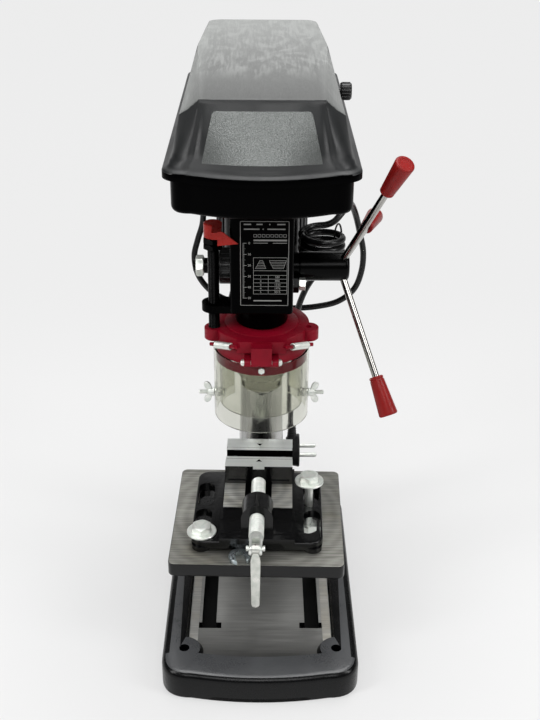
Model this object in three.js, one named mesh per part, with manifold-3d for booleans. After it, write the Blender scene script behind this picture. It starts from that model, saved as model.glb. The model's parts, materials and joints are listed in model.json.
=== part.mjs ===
// Benchtop drill press with a drill-press vise on its table.
// Millimetres, +Z up. The spindle turns about the Z axis through x = 0, y = 0, the operator
// stands at -Y, and z = 0 is the bench that the base casting stands on.
import * as THREE from 'three';
import { mergeVertices } from 'three/addons/utils/BufferGeometryUtils.js';
import { ConvexGeometry } from 'three/addons/geometries/ConvexGeometry.js';
import Module from 'manifold-3d';

const wasm = await Module();
wasm.setup();

// Driving dimensions

const gap = 0.3;          // clearance between two pieces that meet
const overrun = 2;        // how far a cutting tool runs past the face that it cuts
const roundSides = 20;    // facets of a large round piece
const smallSides = 8;     // facets of a small round piece

const base = {
  width: 184, front: -144, back: 159, height: 28, bulge: 6, cornerRadius: 29, edgeRadius: 7,
  wall: 6, deckDrop: 5, deckThickness: 7, rimWidth: 21, rimFront: 30, deckBack: 58,
  archHeight: 4.5, archWidth: 96, slotX: 50, slotWidth: 14, slotPocketWidth: 24, slotFront: -69,
  slotBack: 50, slotWall: 4, keyholeLength: 8, boltX: 71.5, boltY: -102, boltHole: 4.8,
  bossRadius: 15, ribWidth: 8, socketRadius: 36, socketTop: 49, socketFloor: 12,
};
const column = { y: 104, radius: 23, wall: 3, top: 434 };
const swing = { degrees: -1.3 };   // the table stands turned a little about the column

const table = {
  top: 109, width: 164, front: -82, back: 78, edge: 14.5, plate: 9, skirt: 8, cornerRadius: 6,
  slotX: 52.5, slotWidth: 16, slotFront: -62, slotBack: 50,
};
const tilt = { z: 72, flangeRadius: 21, lugFront: 26, jointY: 42, webWidth: 28, boltRadius: 5,
  boltHeadAcross: 17, boltHeadHeight: 6.5, boltReach: 22 };
const bracket = { bottom: 50, top: 82, radius: 32, armWidth: 32, splitWidth: 5, earThickness: 7,
  earReach: 52, earBottom: 57, earTop: 77, boltHole: 4.4 };
const lockLever = { boltRadius: 4, hubRadius: 7, hubLength: 8, armRadius: 3, armLength: 46, ballRadius: 6,
  nutAcross: 13, nutHeight: 6 };

const vise = {
  front: -62, back: 58, width: 124.5, footHeight: 3, footRadius: 9, flange: 8, flangeCorner: 12,
  slotX: 52.5, slotWidth: 16, rearSlotFront: -3, rearSlotBack: 36, frontSlotFront: -57, frontSlotBack: -9,
  bodyWidth: 71, ledge: 4, wayTop: 29, wayWidth: 66, wayFront: -31, channelWidth: 26, channelFloor: 13,
  jawTop: 49, jawWidth: 66, fixedFront: 39.5, plateThickness: 5, plateScrewX: 24, plateScrewRadius: 3.4,
  screwZ: 31, bossRadius: 15, bossFront: -53, bossBack: -34, archHalf: 22, archSlope: 7, archHeight: 7,
};
const movingJaw = { front: 9.5, plateThickness: 4, casting: 14, tongueWidth: 11, tongueReach: 5,
  tongueHeight: 3 };
const viseScrew = { radius: 7, pitch: 4, groove: 0.9, neckRadius: 4, neckLength: 9, threadFront: -80,
  pinY: -97, clevisWidth: 12, clevisSlot: 7, clevisRadius: 6.5, pinRadius: 2, pinLength: 17 };
const viseHandle = { length: 66, topWidth: 9, endWidth: 8, thickness: 5.6, eyeRadius: 4.6 };
const viseBolt = { radius: 4, across: 17, headHeight: 6, washerRadius: 14, washer: 2, nutHeight: 6.5,
  leftY: -47, rightY: 6, rightShift: 3, leftLift: 0, rightLift: 23.5, tail: 3 };

const head = {
  front: -35, width: 54, bottom: 342, top: 446.2, edgeRadius: 3, neckRadius: 23.5, neckBottom: 321.5,
  collarRadius: 36, topBoreRadius: 13, roof: 10, lugX: -42, lugY: -11, lugRadius: 10.7, lugBottom: 337,
  lugHeight: 7, bossRadius: 9, bossBack: 135,
};
const caseHeight = 28.1;
const pan = { width: 145, front: -88, back: 275, bottom: head.top + gap,
  top: head.top + gap + caseHeight, wall: 2.5, edgeRadius: 5, cornerRadius: 16, bulge: 13,
  spindleHole: 17, bossRadius: 22 };
// Heights above the cover's lower edge
const coverFoot = pan.top + gap;
const coverRise = { rim: 7, shoulder: 45.1, crease: 59.1, top: 60.6, knob: 30.1 };
const cover = { rimWidth: 157, rimFront: -94, rimBack: 281, rimBottom: coverFoot,
  rimTop: coverFoot + coverRise.rim, rimCorner: 20,
  bulge: 14, wall: 2.5, bodyWidth: 144.5, bodyFront: pan.front, bodyBack: pan.back, bodyCorner: 16,
  creaseY: -60, creaseHalf: 48.5, creaseZ: coverFoot + coverRise.crease, shoulderHalf: 65, shoulderY: -42,
  shoulderZ: coverFoot + coverRise.shoulder, topZ: coverFoot + coverRise.top, topHalf: 60.5, topY: 150,
  topBackHalf: 56, topBack: 272, topCorner: 14 };
const knob = { y: 92, z: coverFoot + coverRise.knob, radius: 8, length: 10, start: 69.8, studRadius: 3,
  studLength: 9, flutes: 8, fluteRadius: 1.1 };

const driveLift = 17.5;   // from the case's floor to the pulleys
const drive = { centre: 198, stepHeight: 11, groove: 6, bottom: pan.bottom + driveLift, belt: 3,
  beltDepth: 5, beltTop: 9, beltFoot: 6.4, seat: 0.5, sides: 16 };
const spindlePulleyRadii = [26, 34, 42, 50, 58];
const motorPulleyRadii = [56, 48, 40, 32, 24];
const hubLift = 4.8;
const pulleyHub = { radius: 12.2, bottom: head.top - head.roof + hubLift, bore: 6.5 };
const pulleyTop = drive.bottom + drive.stepHeight * spindlePulleyRadii.length;
const motorDrop = 6.2;
const motorHeight = 150;
const motor = { radius: 48, bottom: head.top - motorDrop - motorHeight, capHeight: 10, capRadius: 44,
  top: head.top - motorDrop, endBell: 12, shaftRadius: 7, shaftTop: pulleyTop, fins: 18, finDepth: 2,
  finWidth: 3.5, shaftSeat: 24, plateWidth: 82, plateBottom: 388, plateTop: 438, plateFront: 148,
  barX: 31, barZ: 415, barRadius: 5, barFront: 98,
  travel: 8 };

const feed = {
  y: 28, z: 362, shaftRadius: 7, hubRadius: 13.3, hubStart: 34, hubEnd: 79, hubEdge: 4, collarStart: 27.5,
  pitchRadius: 9.5, teeth: 14, faceWidth: 12, addendum: 1.2, dedendum: 1.6, toothShare: 0.36,
  rootShare: 0.72, tipShare: 0.36, rackSlackShare: 1.5, rackRootShare: 0.62, rackMouthShare: 1.12,
  stubRadius: 5, stubEnd: -62, shaftEnd: -52,
};
const feedArm = { count: 3, radius: 3.2, coneDegrees: 18.4, reach: 135, rootX: 70, innerEnd: 5,
  firstDegrees: 0 };
const grip = { length: 37, innerRadius: 6.4, outerRadius: 8.6, edge: 1.6, socket: 30 };
const springCap = { radius: 16.5, length: 14.4, lipRadius: 15, lip: 2.9 };
const capNut = { across: 17, length: 7.2 };
const lockBolt = { y: 10, z: 352, radius: 4, across: 10, headLength: 5.5, tip: 20.8,
  nutAcross: 14, nutLength: 6 };

const quill = { radius: 20, bottom: 303.5, length: 112, boreRadius: 10, bearingSeat: 15.5,
  bearingDepth: 9 };
const spindleProud = 9;   // above the topmost pulley step
const spindle = { radius: 8.5, splineRadius: 6, splineStart: 400, top: pulleyTop + spindleProud,
  nose: 7.6, noseLength: 13, shoulder: 12.6 };
const chuckDrop = 4.5;    // from the quill's lower end to the chuck
const chuckHeight = 46;
const chuckTop = quill.bottom - chuckDrop;
const chuckFoot = chuckTop - chuckHeight;
// Heights above the chuck's foot
const chuckRise = { keyHole: 8.5, sleeveFoot: 14, bore: 28, sleeveTop: 36 };
const chuck = {
  top: chuckTop, bottom: chuckFoot, radius: 18.8, bore: 6.9, boreTop: chuckFoot + chuckRise.bore,
  sleeveBottom: chuckFoot + chuckRise.sleeveFoot, sleeveTop: chuckFoot + chuckRise.sleeveTop,
  sleeveRadius: 21.7, tooth: 2.6, teeth: 20, keyHoleRadius: 2.6,
  keyHoleZ: chuckFoot + chuckRise.keyHole, keyHoleDepth: 6,
};
const jawProud = 6;       // how far the jaws stand out of the chuck
const jaw = { radius: 3.3, degrees: 16, length: 30, tipZ: chuckFoot - jawProud, tipOffset: 1,
  holeClearance: 0.35, count: 3 };

const stop = { rodRadius: 5, rodTop: 417, nutAcross: 16, nutHeight: 5, nutBottom: 394.5 };
const pointer = { bottom: 405, height: 13, radius: 8, tipX: -19.8, tipZ: 408.3, bladeTop: 419,
  bladeBottom: 406.5, bladeStart: 5, bladeShoulder: 9, bladeThickness: 1.6, bladeGap: 1, webWidth: 8,
  webBottom: 412 };

const collar = { top: 320, thickness: 11, radius: 43, front: -43, frontWidth: 43.2, earRadius: 9,
  tabWidth: 18 };
const hinge = { y: -48, z: 302.6, pinRadius: 2, knuckleRadius: 4, lugWidth: 5.5, sideGap: 0.4,
  headRadius: 3.2, headLength: 3 };
const band = { top: 308, bottom: 286, radius: 41.3, wall: 2.8, openHalf: 26 };
const upperShell = { radius: 38.2, wall: 1.8, top: 303, bottom: 241 };
const lowerShell = { radius: 43.65, wall: 1.7, top: 297, bottom: 228, slotWidth: 6, slotLength: 26 };
const wing = { z: 247, screwRadius: 2, headRadius: 4, headLength: 2, nutRadius: 4, nutLength: 5,
  tipX: 58, bladeReach: 6.05, bladeWidth: 8, bladeThickness: 1.8, bladeLean: 0.5, nutTip: 3.2,
  spacerRadius: 4, headGap: 1.2 };
const guardSpring = { wire: 1, outer: 6, pitch: 2.1, x1: 24.5, y1: -44.5, z1: 316, x2: 42.5, y2: -24.5,
  z2: 308.5, peg: 1.7, pegLength: 3.4, pegTip: 3.2, sides: 5, steps: 8 };

const switchBox = { width: 26, depth: 56, bottom: 372, top: 432, wall: 2, edge: 3, glandRadius: 6,
  glandEnd: 3.9, glandLength: 14, rockerWidth: 17, rockerHeight: 24, rockerDepth: 5, rockerProud: 3.5,
  rockerSwing: 2.5, rockerFoot: 0.8, rockerCrest: 0.9 };
const cord = { radius: 3.2, sides: 8, hankSteps: 20, hankSides: 6 };
const plug = { y: 145, z: 92, radius: 18.5, faceX: 42.5, thickness: 14, pinRadius: 2.4, pinLength: 19,
  pinSpacing: 19, reliefLength: 16, reliefRadius: 5.2, stemX: 34 };

// Geometry helpers

const finishes = {
  blackCasting: [0x17181a, 0.45, 0.1],
  machinedIron: [0x77746c, 0.4, 0.9],
  brightSteel: [0xb8babb, 0.25, 1],
  zinc: [0xc3c5c0, 0.3, 0.95],
  blackOxide: [0x131314, 0.4, 0.4],
  redGrip: [0xa81d1c, 0.35, 0],
  redGuard: [0x96122a, 0.4, 0],
  clearShell: [0xd8d9c2, 0.1, 0],
  blackPlastic: [0x0f1011, 0.3, 0],
  greyPaint: [0x2b2c2e, 0.5, 0.1],
  aluminium: [0xa9abad, 0.35, 1],
  rubber: [0x101010, 0.7, 0],
};

/** Turns a closed BufferGeometry into a solid that can be cut and joined. */
function solid(geometry) {
  if (!geometry.isBufferGeometry) return geometry;
  const bare = new THREE.BufferGeometry();
  bare.setAttribute('position', geometry.getAttribute('position'));
  if (geometry.index) bare.setIndex(geometry.index);
  const merged = mergeVertices(bare, 1e-4);
  return new wasm.Manifold(new wasm.Mesh({
    numProp: 3,
    vertProperties: new Float32Array(merged.getAttribute('position').array),
    triVerts: new Uint32Array(merged.index.array),
  }));
}

const join = (...shapes) => shapes.map(solid).reduce((a, b) => a.add(b));
const cut = (body, ...tools) => tools.map(solid).reduce((a, b) => a.subtract(b), solid(body));
const common = (...shapes) => shapes.map(solid).reduce((a, b) => a.intersect(b));

/** A block between two corners. */
function block(x1, x2, y1, y2, z1, z2) {
  const geometry = new THREE.BoxGeometry(x2 - x1, y2 - y1, z2 - z1);
  return geometry.translate((x1 + x2) / 2, (y1 + y2) / 2, (z1 + z2) / 2);
}

/** Lays a shape that stands along +Z onto another axis. */
function lay(geometry, axis) {
  if (axis === 'x') geometry.rotateY(Math.PI / 2);
  if (axis === 'y') geometry.rotateX(-Math.PI / 2);
  return geometry;
}

/** A round bar along an axis, from one coordinate to another, centred on the other two. */
function bar(radius, axis, from, to, at = [0, 0, 0], sides = roundSides, endRadius = radius) {
  const geometry = new THREE.CylinderGeometry(endRadius, radius, to - from, sides);
  geometry.rotateX(Math.PI / 2).translate(0, 0, (from + to) / 2);
  return lay(geometry, axis).translate(...at);
}

/** A solid of revolution about Z. The profile runs from the axis to the axis. */
function turned(profile, sides = roundSides) {
  const points = profile.map(([r, z]) => new THREE.Vector2(r, z));
  return new THREE.LatheGeometry(points, sides).rotateX(Math.PI / 2);
}

/** A ring about Z with a rectangular section. */
function ring(outer, inner, z1, z2, sides = roundSides) {
  return turned([[inner, z1], [outer, z1], [outer, z2], [inner, z2], [inner, z1]], sides);
}

/** The radius of a faceted hole that a round pin of the given radius can turn in. */
const turningFit = (radius, sides) => (radius + gap) / Math.cos(Math.PI / sides);

/** A hexagonal bar, as a nut or a bolt head, measured across its flats. */
function hexagon(across, axis, from, to, at = [0, 0, 0]) {
  return bar(across / Math.sqrt(3), axis, from, to, at, 6);
}

/** An outline pushed up from z1 to z2. */
function slab(shape, z1, z2, curveSegments = 3) {
  const geometry = new THREE.ExtrudeGeometry(shape, { depth: z2 - z1, bevelEnabled: false, curveSegments });
  return geometry.translate(0, 0, z1);
}

/** An outline with a rounded edge all round its top. */
function softSlab(shape, z1, z2, radius, segments = 3, curveSegments = 4) {
  const geometry = new THREE.ExtrudeGeometry(shape, {
    depth: z2 - z1 - radius, bevelEnabled: true, bevelThickness: radius, bevelSize: radius,
    bevelOffset: -radius, bevelSegments: segments, curveSegments,
  });
  return geometry.translate(0, 0, z1);
}

/** A rectangle with rounded corners. */
function roundedRectangle(x1, x2, y1, y2, radius) {
  const shape = new THREE.Shape();
  shape.moveTo(x1 + radius, y1).lineTo(x2 - radius, y1);
  shape.absarc(x2 - radius, y1 + radius, radius, -Math.PI / 2, 0, false);
  shape.absarc(x2 - radius, y2 - radius, radius, 0, Math.PI / 2, false);
  shape.absarc(x1 + radius, y2 - radius, radius, Math.PI / 2, Math.PI, false);
  shape.absarc(x1 + radius, y1 + radius, radius, Math.PI, Math.PI * 1.5, false);
  return shape;
}

/** A slot with round ends that runs along Y. */
const slotShape = (x, width, y1, y2) => roundedRectangle(x - width / 2, x + width / 2, y1, y2,
  width / 2 - 1e-3);

/** A rectangle whose front edge bulges towards the operator, with rounded corners. */
function bulgedOutline(half, front, back, bulge, radius) {
  const shape = new THREE.Shape();
  const side = front + bulge;
  shape.moveTo(-half + radius, side).quadraticCurveTo(0, front - bulge, half - radius, side);
  shape.quadraticCurveTo(half, side, half, side + radius);
  shape.lineTo(half, back - radius).quadraticCurveTo(half, back, half - radius, back);
  shape.lineTo(-half + radius, back).quadraticCurveTo(-half, back, -half, back - radius);
  shape.lineTo(-half, side + radius).quadraticCurveTo(-half, side, -half + radius, side);
  return shape;
}

/** A tube along a list of points, through a smooth curve. */
function tube(points, radius, steps, sides) {
  const section = new THREE.Shape();
  for (let i = 0; i < sides; i += 1) {
    const angle = (i / sides) * Math.PI * 2;
    section[i ? 'lineTo' : 'moveTo'](radius * Math.cos(angle), radius * Math.sin(angle));
  }
  section.closePath();
  const path = new THREE.CatmullRomCurve3(points.map((p) => new THREE.Vector3(...p)), false, 'centripetal');
  return new THREE.ExtrudeGeometry(section, { steps, extrudePath: path, curveSegments: 1 });
}

/** An unbroken tube through a list of close points, with its ends square to the path. */
function woundTube(points, radius, sides) {
  const path = points.map((p) => new THREE.Vector3(...p));
  const positions = [];
  const index = [];
  let normal = null;
  path.forEach((point, i) => {
    const tangent = path[Math.min(i + 1, path.length - 1)].clone().sub(path[Math.max(i - 1, 0)])
      .normalize();
    if (!normal) normal = new THREE.Vector3(0, 0, 1).addScaledVector(tangent, -tangent.z);
    normal.addScaledVector(tangent, -normal.dot(tangent)).normalize();
    const side = new THREE.Vector3().crossVectors(tangent, normal);
    for (let k = 0; k < sides; k += 1) {
      const angle = (k / sides) * Math.PI * 2;
      const p = point.clone().addScaledVector(normal, radius * Math.cos(angle));
      p.addScaledVector(side, radius * Math.sin(angle));
      positions.push(p.x, p.y, p.z);
    }
  });
  for (let i = 0; i + 1 < path.length; i += 1) {
    for (let k = 0; k < sides; k += 1) {
      const a = i * sides + k;
      const b = i * sides + ((k + 1) % sides);
      index.push(a, b, b + sides, a, b + sides, a + sides);
    }
  }
  const last = (path.length - 1) * sides;
  for (let k = 1; k + 1 < sides; k += 1) {
    index.push(0, k + 1, k, last, last + k, last + k + 1);
  }
  const geometry = new THREE.BufferGeometry();
  geometry.setAttribute('position', new THREE.Float32BufferAttribute(positions, 3));
  geometry.setIndex(index);
  return geometry;
}

/** The least gap of a wound tube to itself, between stretches over a turn's third apart. */
function leastGap(points, radius, apart) {
  let least = Infinity;
  for (let i = 0; i < points.length; i += 1) {
    for (let k = i + apart; k < points.length; k += 1) {
      least = Math.min(least, new THREE.Vector3(...points[i]).distanceTo(new THREE.Vector3(...points[k])));
    }
  }
  return least - 2 * radius;
}

const model = new THREE.Group();

/** Adds one named sub-part to a group. */
function addPart(group, name, finish, shape) {
  const geometry = new THREE.BufferGeometry();
  const mesh = solid(shape).getMesh();
  geometry.setAttribute('position', new THREE.BufferAttribute(new Float32Array(mesh.vertProperties), 3));
  geometry.setIndex(new THREE.BufferAttribute(new Uint32Array(mesh.triVerts), 1));
  geometry.computeVertexNormals();
  const [color, roughness, metalness] = finishes[finish];
  const part = new THREE.Mesh(geometry, new THREE.MeshStandardMaterial({ color, roughness, metalness }));
  part.name = name;
  group.add(part);
  return part;
}

// Stand

function baseCasting() {
  const half = base.width / 2;
  const deck = base.height - base.deckDrop;
  const outline = bulgedOutline(half, base.front, base.back, base.bulge, base.cornerRadius);
  const inner = bulgedOutline(half - base.wall, base.front + base.wall, base.back - base.wall, base.bulge,
    base.cornerRadius - base.wall);
  const deckHalf = half - base.rimWidth;
  const deckShape = bulgedOutline(deckHalf, base.front + base.rimFront, base.deckBack, base.bulge,
    base.wall);
  const outside = common(
    softSlab(outline, -base.edgeRadius * 2, base.height, base.edgeRadius),
    block(-base.width, base.width, base.front * 2, base.back * 2, 0, base.height));
  const underside = slab(inner, -overrun, deck - base.deckThickness);
  const slots = [];
  const rails = [];
  const bosses = [];
  const holes = [];
  for (const side of [-1, 1]) {
    const x = side * base.slotX;
    const mouth = base.slotWidth / 2;
    const pocket = base.slotPocketWidth / 2;
    rails.push(block(x - pocket - base.slotWall, x + pocket + base.slotWall, base.slotFront - base.slotWall,
      base.slotBack + base.slotWall, 0, deck));
    slots.push(block(x - mouth, x + mouth, base.slotFront, base.slotBack, -overrun, deck + base.deckDrop));
    slots.push(block(x - pocket, x + pocket, base.slotFront, base.slotBack, -overrun,
      deck - base.deckThickness));
    slots.push(block(x - pocket, x + pocket, base.slotFront, base.slotFront + base.keyholeLength,
      -overrun, deck + base.deckDrop));
    bosses.push(bar(base.bossRadius, 'z', 0, base.height, [side * base.boltX, base.boltY, 0]));
    holes.push(bar(base.boltHole, 'z', -overrun, base.height + overrun,
      [side * base.boltX, base.boltY, 0], smallSides));
  }
  const ribs = [
    block(-base.ribWidth / 2, base.ribWidth / 2, base.front + base.wall + overrun,
      base.back - base.wall, 0, deck - overrun),
    block(-half + overrun, half - overrun, -base.ribWidth / 2, base.ribWidth / 2, 0, deck - overrun),
  ];
  const clip = slab(bulgedOutline(half - overrun, base.front + overrun, base.back - overrun, base.bulge,
    base.cornerRadius - overrun), 0, base.height - base.edgeRadius / 2);
  const insides = common(join(...ribs, ...rails), clip);
  const socket = bar(base.socketRadius, 'z', 0, base.socketTop, [0, column.y, 0]);
  const bore = bar(column.radius + gap, 'z', base.socketFloor - gap, base.socketTop + overrun,
    [0, column.y, 0]);
  const recess = cut(slab(deckShape, deck, base.height + overrun), ...bosses,
    bar(base.socketRadius, 'z', 0, base.socketTop, [0, column.y, 0]));
  const arch = block(-base.archWidth / 2, base.archWidth / 2, base.front - overrun,
    base.front + base.bulge + base.wall, -overrun, base.archHeight);
  return cut(join(cut(outside, underside), insides, common(join(...bosses), clip), socket), recess,
    ...slots, ...holes, bore, arch);
}

function columnTube() {
  return columnRing(column.radius, column.radius - column.wall, base.socketFloor, column.top);
}

/** A ring about the column's axis. */
function columnRing(outer, inner, z1, z2) {
  return ring(outer, inner, z1, z2).translate(0, column.y, 0);
}

// Table. Its pieces are drawn square to the column and then swung about it together.

function tablePlate() {
  const outline = roundedRectangle(-table.width / 2, table.width / 2, table.front, table.back,
    table.cornerRadius);
  const bottom = table.top - table.edge;
  const hollow = roundedRectangle(-table.width / 2 + table.skirt, table.width / 2 - table.skirt,
    table.front + table.skirt, table.back - table.skirt, table.cornerRadius);
  const slots = [-1, 1].map((side) => slab(
    slotShape(side * table.slotX, table.slotWidth, table.slotFront, table.slotBack),
    bottom - overrun, table.top + overrun));
  const slotRails = [-1, 1].map((side) => slab(
    slotShape(side * table.slotX, table.slotWidth + table.skirt, table.slotFront - table.skirt / 2,
      table.slotBack + table.skirt / 2), bottom, table.top - overrun));
  const lug = join(
    bar(tilt.flangeRadius, 'y', tilt.lugFront, tilt.jointY - gap, [0, 0, tilt.z]),
    block(-tilt.webWidth / 2, tilt.webWidth / 2, tilt.lugFront, tilt.jointY - gap, tilt.z,
      table.top - overrun));
  const plate = cut(slab(outline, bottom, table.top), slab(hollow, bottom - overrun,
    table.top - table.plate));
  return cut(join(plate, ...slotRails, lug), ...slots,
    bar(turningFit(tilt.boltRadius, smallSides), 'y', tilt.lugFront - overrun, tilt.jointY + overrun,
      [0, 0, tilt.z], smallSides));
}

function tableBracket() {
  const armBack = column.y;
  const body = join(
    bar(bracket.radius, 'z', bracket.bottom, bracket.top, [0, column.y, 0]),
    block(-bracket.armWidth / 2, bracket.armWidth / 2, tilt.jointY, armBack, bracket.bottom + overrun,
      bracket.top),
    common(bar(tilt.flangeRadius, 'y', tilt.jointY, tilt.jointY + tilt.flangeRadius / 2, [0, 0, tilt.z]),
      block(-bracket.radius, bracket.radius, tilt.jointY, column.y, bracket.bottom, bracket.top)),
    block(-bracket.splitWidth / 2 - bracket.earThickness, bracket.splitWidth / 2 + bracket.earThickness,
      column.y, column.y + bracket.earReach, bracket.earBottom, bracket.earTop));
  return cut(body,
    bar(column.radius + gap, 'z', bracket.bottom - overrun, bracket.top + overrun, [0, column.y, 0]),
    block(-bracket.splitWidth / 2, bracket.splitWidth / 2, column.y, column.y + bracket.earReach + overrun,
      bracket.bottom - overrun, bracket.top + overrun),
    bar(tilt.boltRadius + gap, 'y', tilt.jointY - overrun, tilt.jointY + tilt.boltReach + gap,
      [0, 0, tilt.z], smallSides),
    bar(bracket.boltHole, 'x', -bracket.radius, bracket.radius, lockAxis(), smallSides));
}

/** The clamp bolt's axis, as an offset for bars laid along X. */
function lockAxis() {
  return [0, column.y + bracket.earReach - lockLever.hubRadius - overrun,
    (bracket.earBottom + bracket.earTop) / 2];
}

function tableTiltBolt() {
  const headBack = tilt.lugFront - gap;
  return join(
    hexagon(tilt.boltHeadAcross, 'y', headBack - tilt.boltHeadHeight, headBack, [0, 0, tilt.z]),
    bar(tilt.boltRadius, 'y', headBack - overrun, tilt.jointY + tilt.boltReach, [0, 0, tilt.z],
      smallSides));
}

function tableLockLever() {
  const side = bracket.splitWidth / 2 + bracket.earThickness + gap;
  const [, y, z] = lockAxis();
  const hubX = -side - lockLever.hubLength;
  const arm = bar(lockLever.armRadius, 'z', 0, lockLever.armLength, [hubX + lockLever.armRadius, y, z],
    smallSides);
  const ball = new THREE.SphereGeometry(lockLever.ballRadius, smallSides, smallSides / 2)
    .translate(hubX + lockLever.armRadius, y, z + lockLever.armLength);
  return join(
    bar(lockLever.boltRadius, 'x', -side - overrun, side + lockLever.nutHeight + overrun, [0, y, z],
      smallSides),
    bar(lockLever.hubRadius, 'x', hubX, -side, [0, y, z], smallSides),
    hexagon(lockLever.nutAcross, 'x', side, side + lockLever.nutHeight, [0, y, z]),
    arm, ball);
}

// Vise, drawn with z = 0 on the table's face

function viseBody() {
  const v = vise;
  const half = v.bodyWidth / 2;
  const low = v.footHeight;
  const flangeTop = low + v.flange;
  const flange = slab(roundedRectangle(-v.width / 2, v.width / 2, v.front, v.back, v.flangeCorner),
    low, flangeTop);
  const feet = [];
  for (const side of [-1, 1]) {
    for (const y of [v.front + v.flangeCorner, v.back - v.flangeCorner]) {
      feet.push(bar(v.footRadius, 'z', gap, low + overrun, [side * v.slotX, y, 0], smallSides));
    }
  }
  const lowBody = block(-half, half, v.front, v.back, low, flangeTop + v.ledge);
  const ways = block(-v.wayWidth / 2, v.wayWidth / 2, v.wayFront, v.back, low, v.wayTop);
  const fixed = block(-v.jawWidth / 2, v.jawWidth / 2, v.fixedFront + v.plateThickness,
    v.back + v.footHeight,
    flangeTop, v.jawTop);
  const boss = join(
    bar(v.bossRadius, 'y', v.bossFront, v.bossBack + overrun, [0, 0, v.screwZ]),
    block(-v.bossRadius, v.bossRadius, v.bossFront, v.wayFront + overrun, low, v.screwZ));
  const slots = [];
  for (const side of [-1, 1]) {
    slots.push(slab(slotShape(side * v.slotX, v.slotWidth, v.rearSlotFront, v.rearSlotBack), -overrun,
      flangeTop + overrun));
    slots.push(slab(slotShape(side * v.slotX, v.slotWidth, v.frontSlotFront, v.frontSlotBack),
      -overrun, flangeTop + overrun));
  }
  const archShape = new THREE.Shape();
  archShape.moveTo(-v.archHalf - v.archSlope, -overrun).lineTo(v.archHalf + v.archSlope, -overrun);
  archShape.lineTo(v.archHalf + v.archSlope, low).lineTo(v.archHalf, low + v.archHeight);
  archShape.lineTo(-v.archHalf, low + v.archHeight).lineTo(-v.archHalf - v.archSlope, low);
  const arch = slab(archShape, 0, -v.front + v.wayFront).rotateX(Math.PI / 2).translate(0, v.wayFront, 0);
  const channel = block(-v.channelWidth / 2, v.channelWidth / 2, v.wayFront + overrun,
    v.fixedFront + v.plateThickness,
    v.channelFloor, v.wayTop + overrun);
  const bore = bar(viseScrew.radius + gap, 'y', v.bossFront - overrun, v.fixedFront, [0, 0, v.screwZ],
    smallSides + 4);
  return cut(join(flange, ...feet, lowBody, ways, fixed, boss), ...slots, arch, channel, bore);
}

/** A flat jaw plate with two countersunk screw recesses. */
function jawPlate(y1, y2, z1, z2, faceTowardsOperator) {
  const recesses = [-1, 1].map((side) => {
    const at = [side * vise.plateScrewX, 0, (z1 + z2) / 2];
    const depth = (y2 - y1) / 2;
    return faceTowardsOperator
      ? bar(vise.plateScrewRadius, 'y', y1 - gap, y1 + depth, at, smallSides)
      : bar(vise.plateScrewRadius, 'y', y2 - depth, y2 + gap, at, smallSides);
  });
  return cut(block(-vise.jawWidth / 2 + gap, vise.jawWidth / 2 - gap, y1, y2, z1, z2), ...recesses);
}

function viseMovingJaw() {
  const back = movingJaw.front + movingJaw.casting;
  const half = vise.jawWidth / 2;
  const floor = vise.wayTop + gap;
  const castJaw = block(-half, half, movingJaw.front, back, floor, vise.jawTop);
  const tongue = block(-movingJaw.tongueWidth / 2, movingJaw.tongueWidth / 2,
    movingJaw.front - movingJaw.tongueReach,
    movingJaw.front + overrun, vise.jawTop - movingJaw.tongueHeight, vise.jawTop);
  const guide = block(-vise.channelWidth / 2 + gap, vise.channelWidth / 2 - gap, movingJaw.front, back,
    vise.channelFloor + gap, floor + overrun);
  const neck = bar(turningFit(viseScrew.neckRadius, smallSides), 'y', movingJaw.front - overrun,
    movingJaw.front + viseScrew.neckLength + gap, [0, 0, vise.screwZ], smallSides);
  return cut(join(castJaw, tongue, guide), neck);
}

function viseScrewPart() {
  const s = viseScrew;
  const turns = Math.round((movingJaw.front - gap - s.threadFront) / s.pitch);
  const step = (movingJaw.front - gap - s.threadFront) / turns;
  const profile = [[0, s.threadFront]];
  for (let i = 0; i < turns; i += 1) {
    const z = s.threadFront + i * step;
    profile.push([s.radius - s.groove, z], [s.radius, z + step / 2]);
  }
  profile.push([s.radius - s.groove, movingJaw.front - gap], [0, movingJaw.front - gap]);
  const thread = lay(turned(profile, smallSides), 'y').translate(0, 0, vise.screwZ);
  const neck = bar(s.neckRadius, 'y', movingJaw.front - overrun, movingJaw.front + s.neckLength,
    [0, 0, vise.screwZ], smallSides);
  const clevis = join(
    bar(s.clevisRadius, 'y', s.pinY, s.threadFront + overrun, [0, 0, vise.screwZ], smallSides),
    common(bar(s.clevisRadius, 'x', -s.clevisWidth / 2, s.clevisWidth / 2, [0, s.pinY, vise.screwZ],
      smallSides),
      bar(s.clevisRadius, 'y', s.pinY - s.clevisRadius, s.threadFront, [0, 0, vise.screwZ], smallSides)));
  const slot = block(-s.clevisSlot / 2, s.clevisSlot / 2, s.pinY - s.clevisRadius - overrun,
    s.pinY + s.clevisRadius + gap, vise.screwZ - s.clevisRadius * 2, vise.screwZ + s.clevisRadius * 2);
  const pin = bar(s.pinRadius, 'x', -s.pinLength / 2, s.pinLength / 2, [0, s.pinY, vise.screwZ],
    smallSides);
  return join(cut(join(thread, neck, clevis), slot), pin);
}

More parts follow.
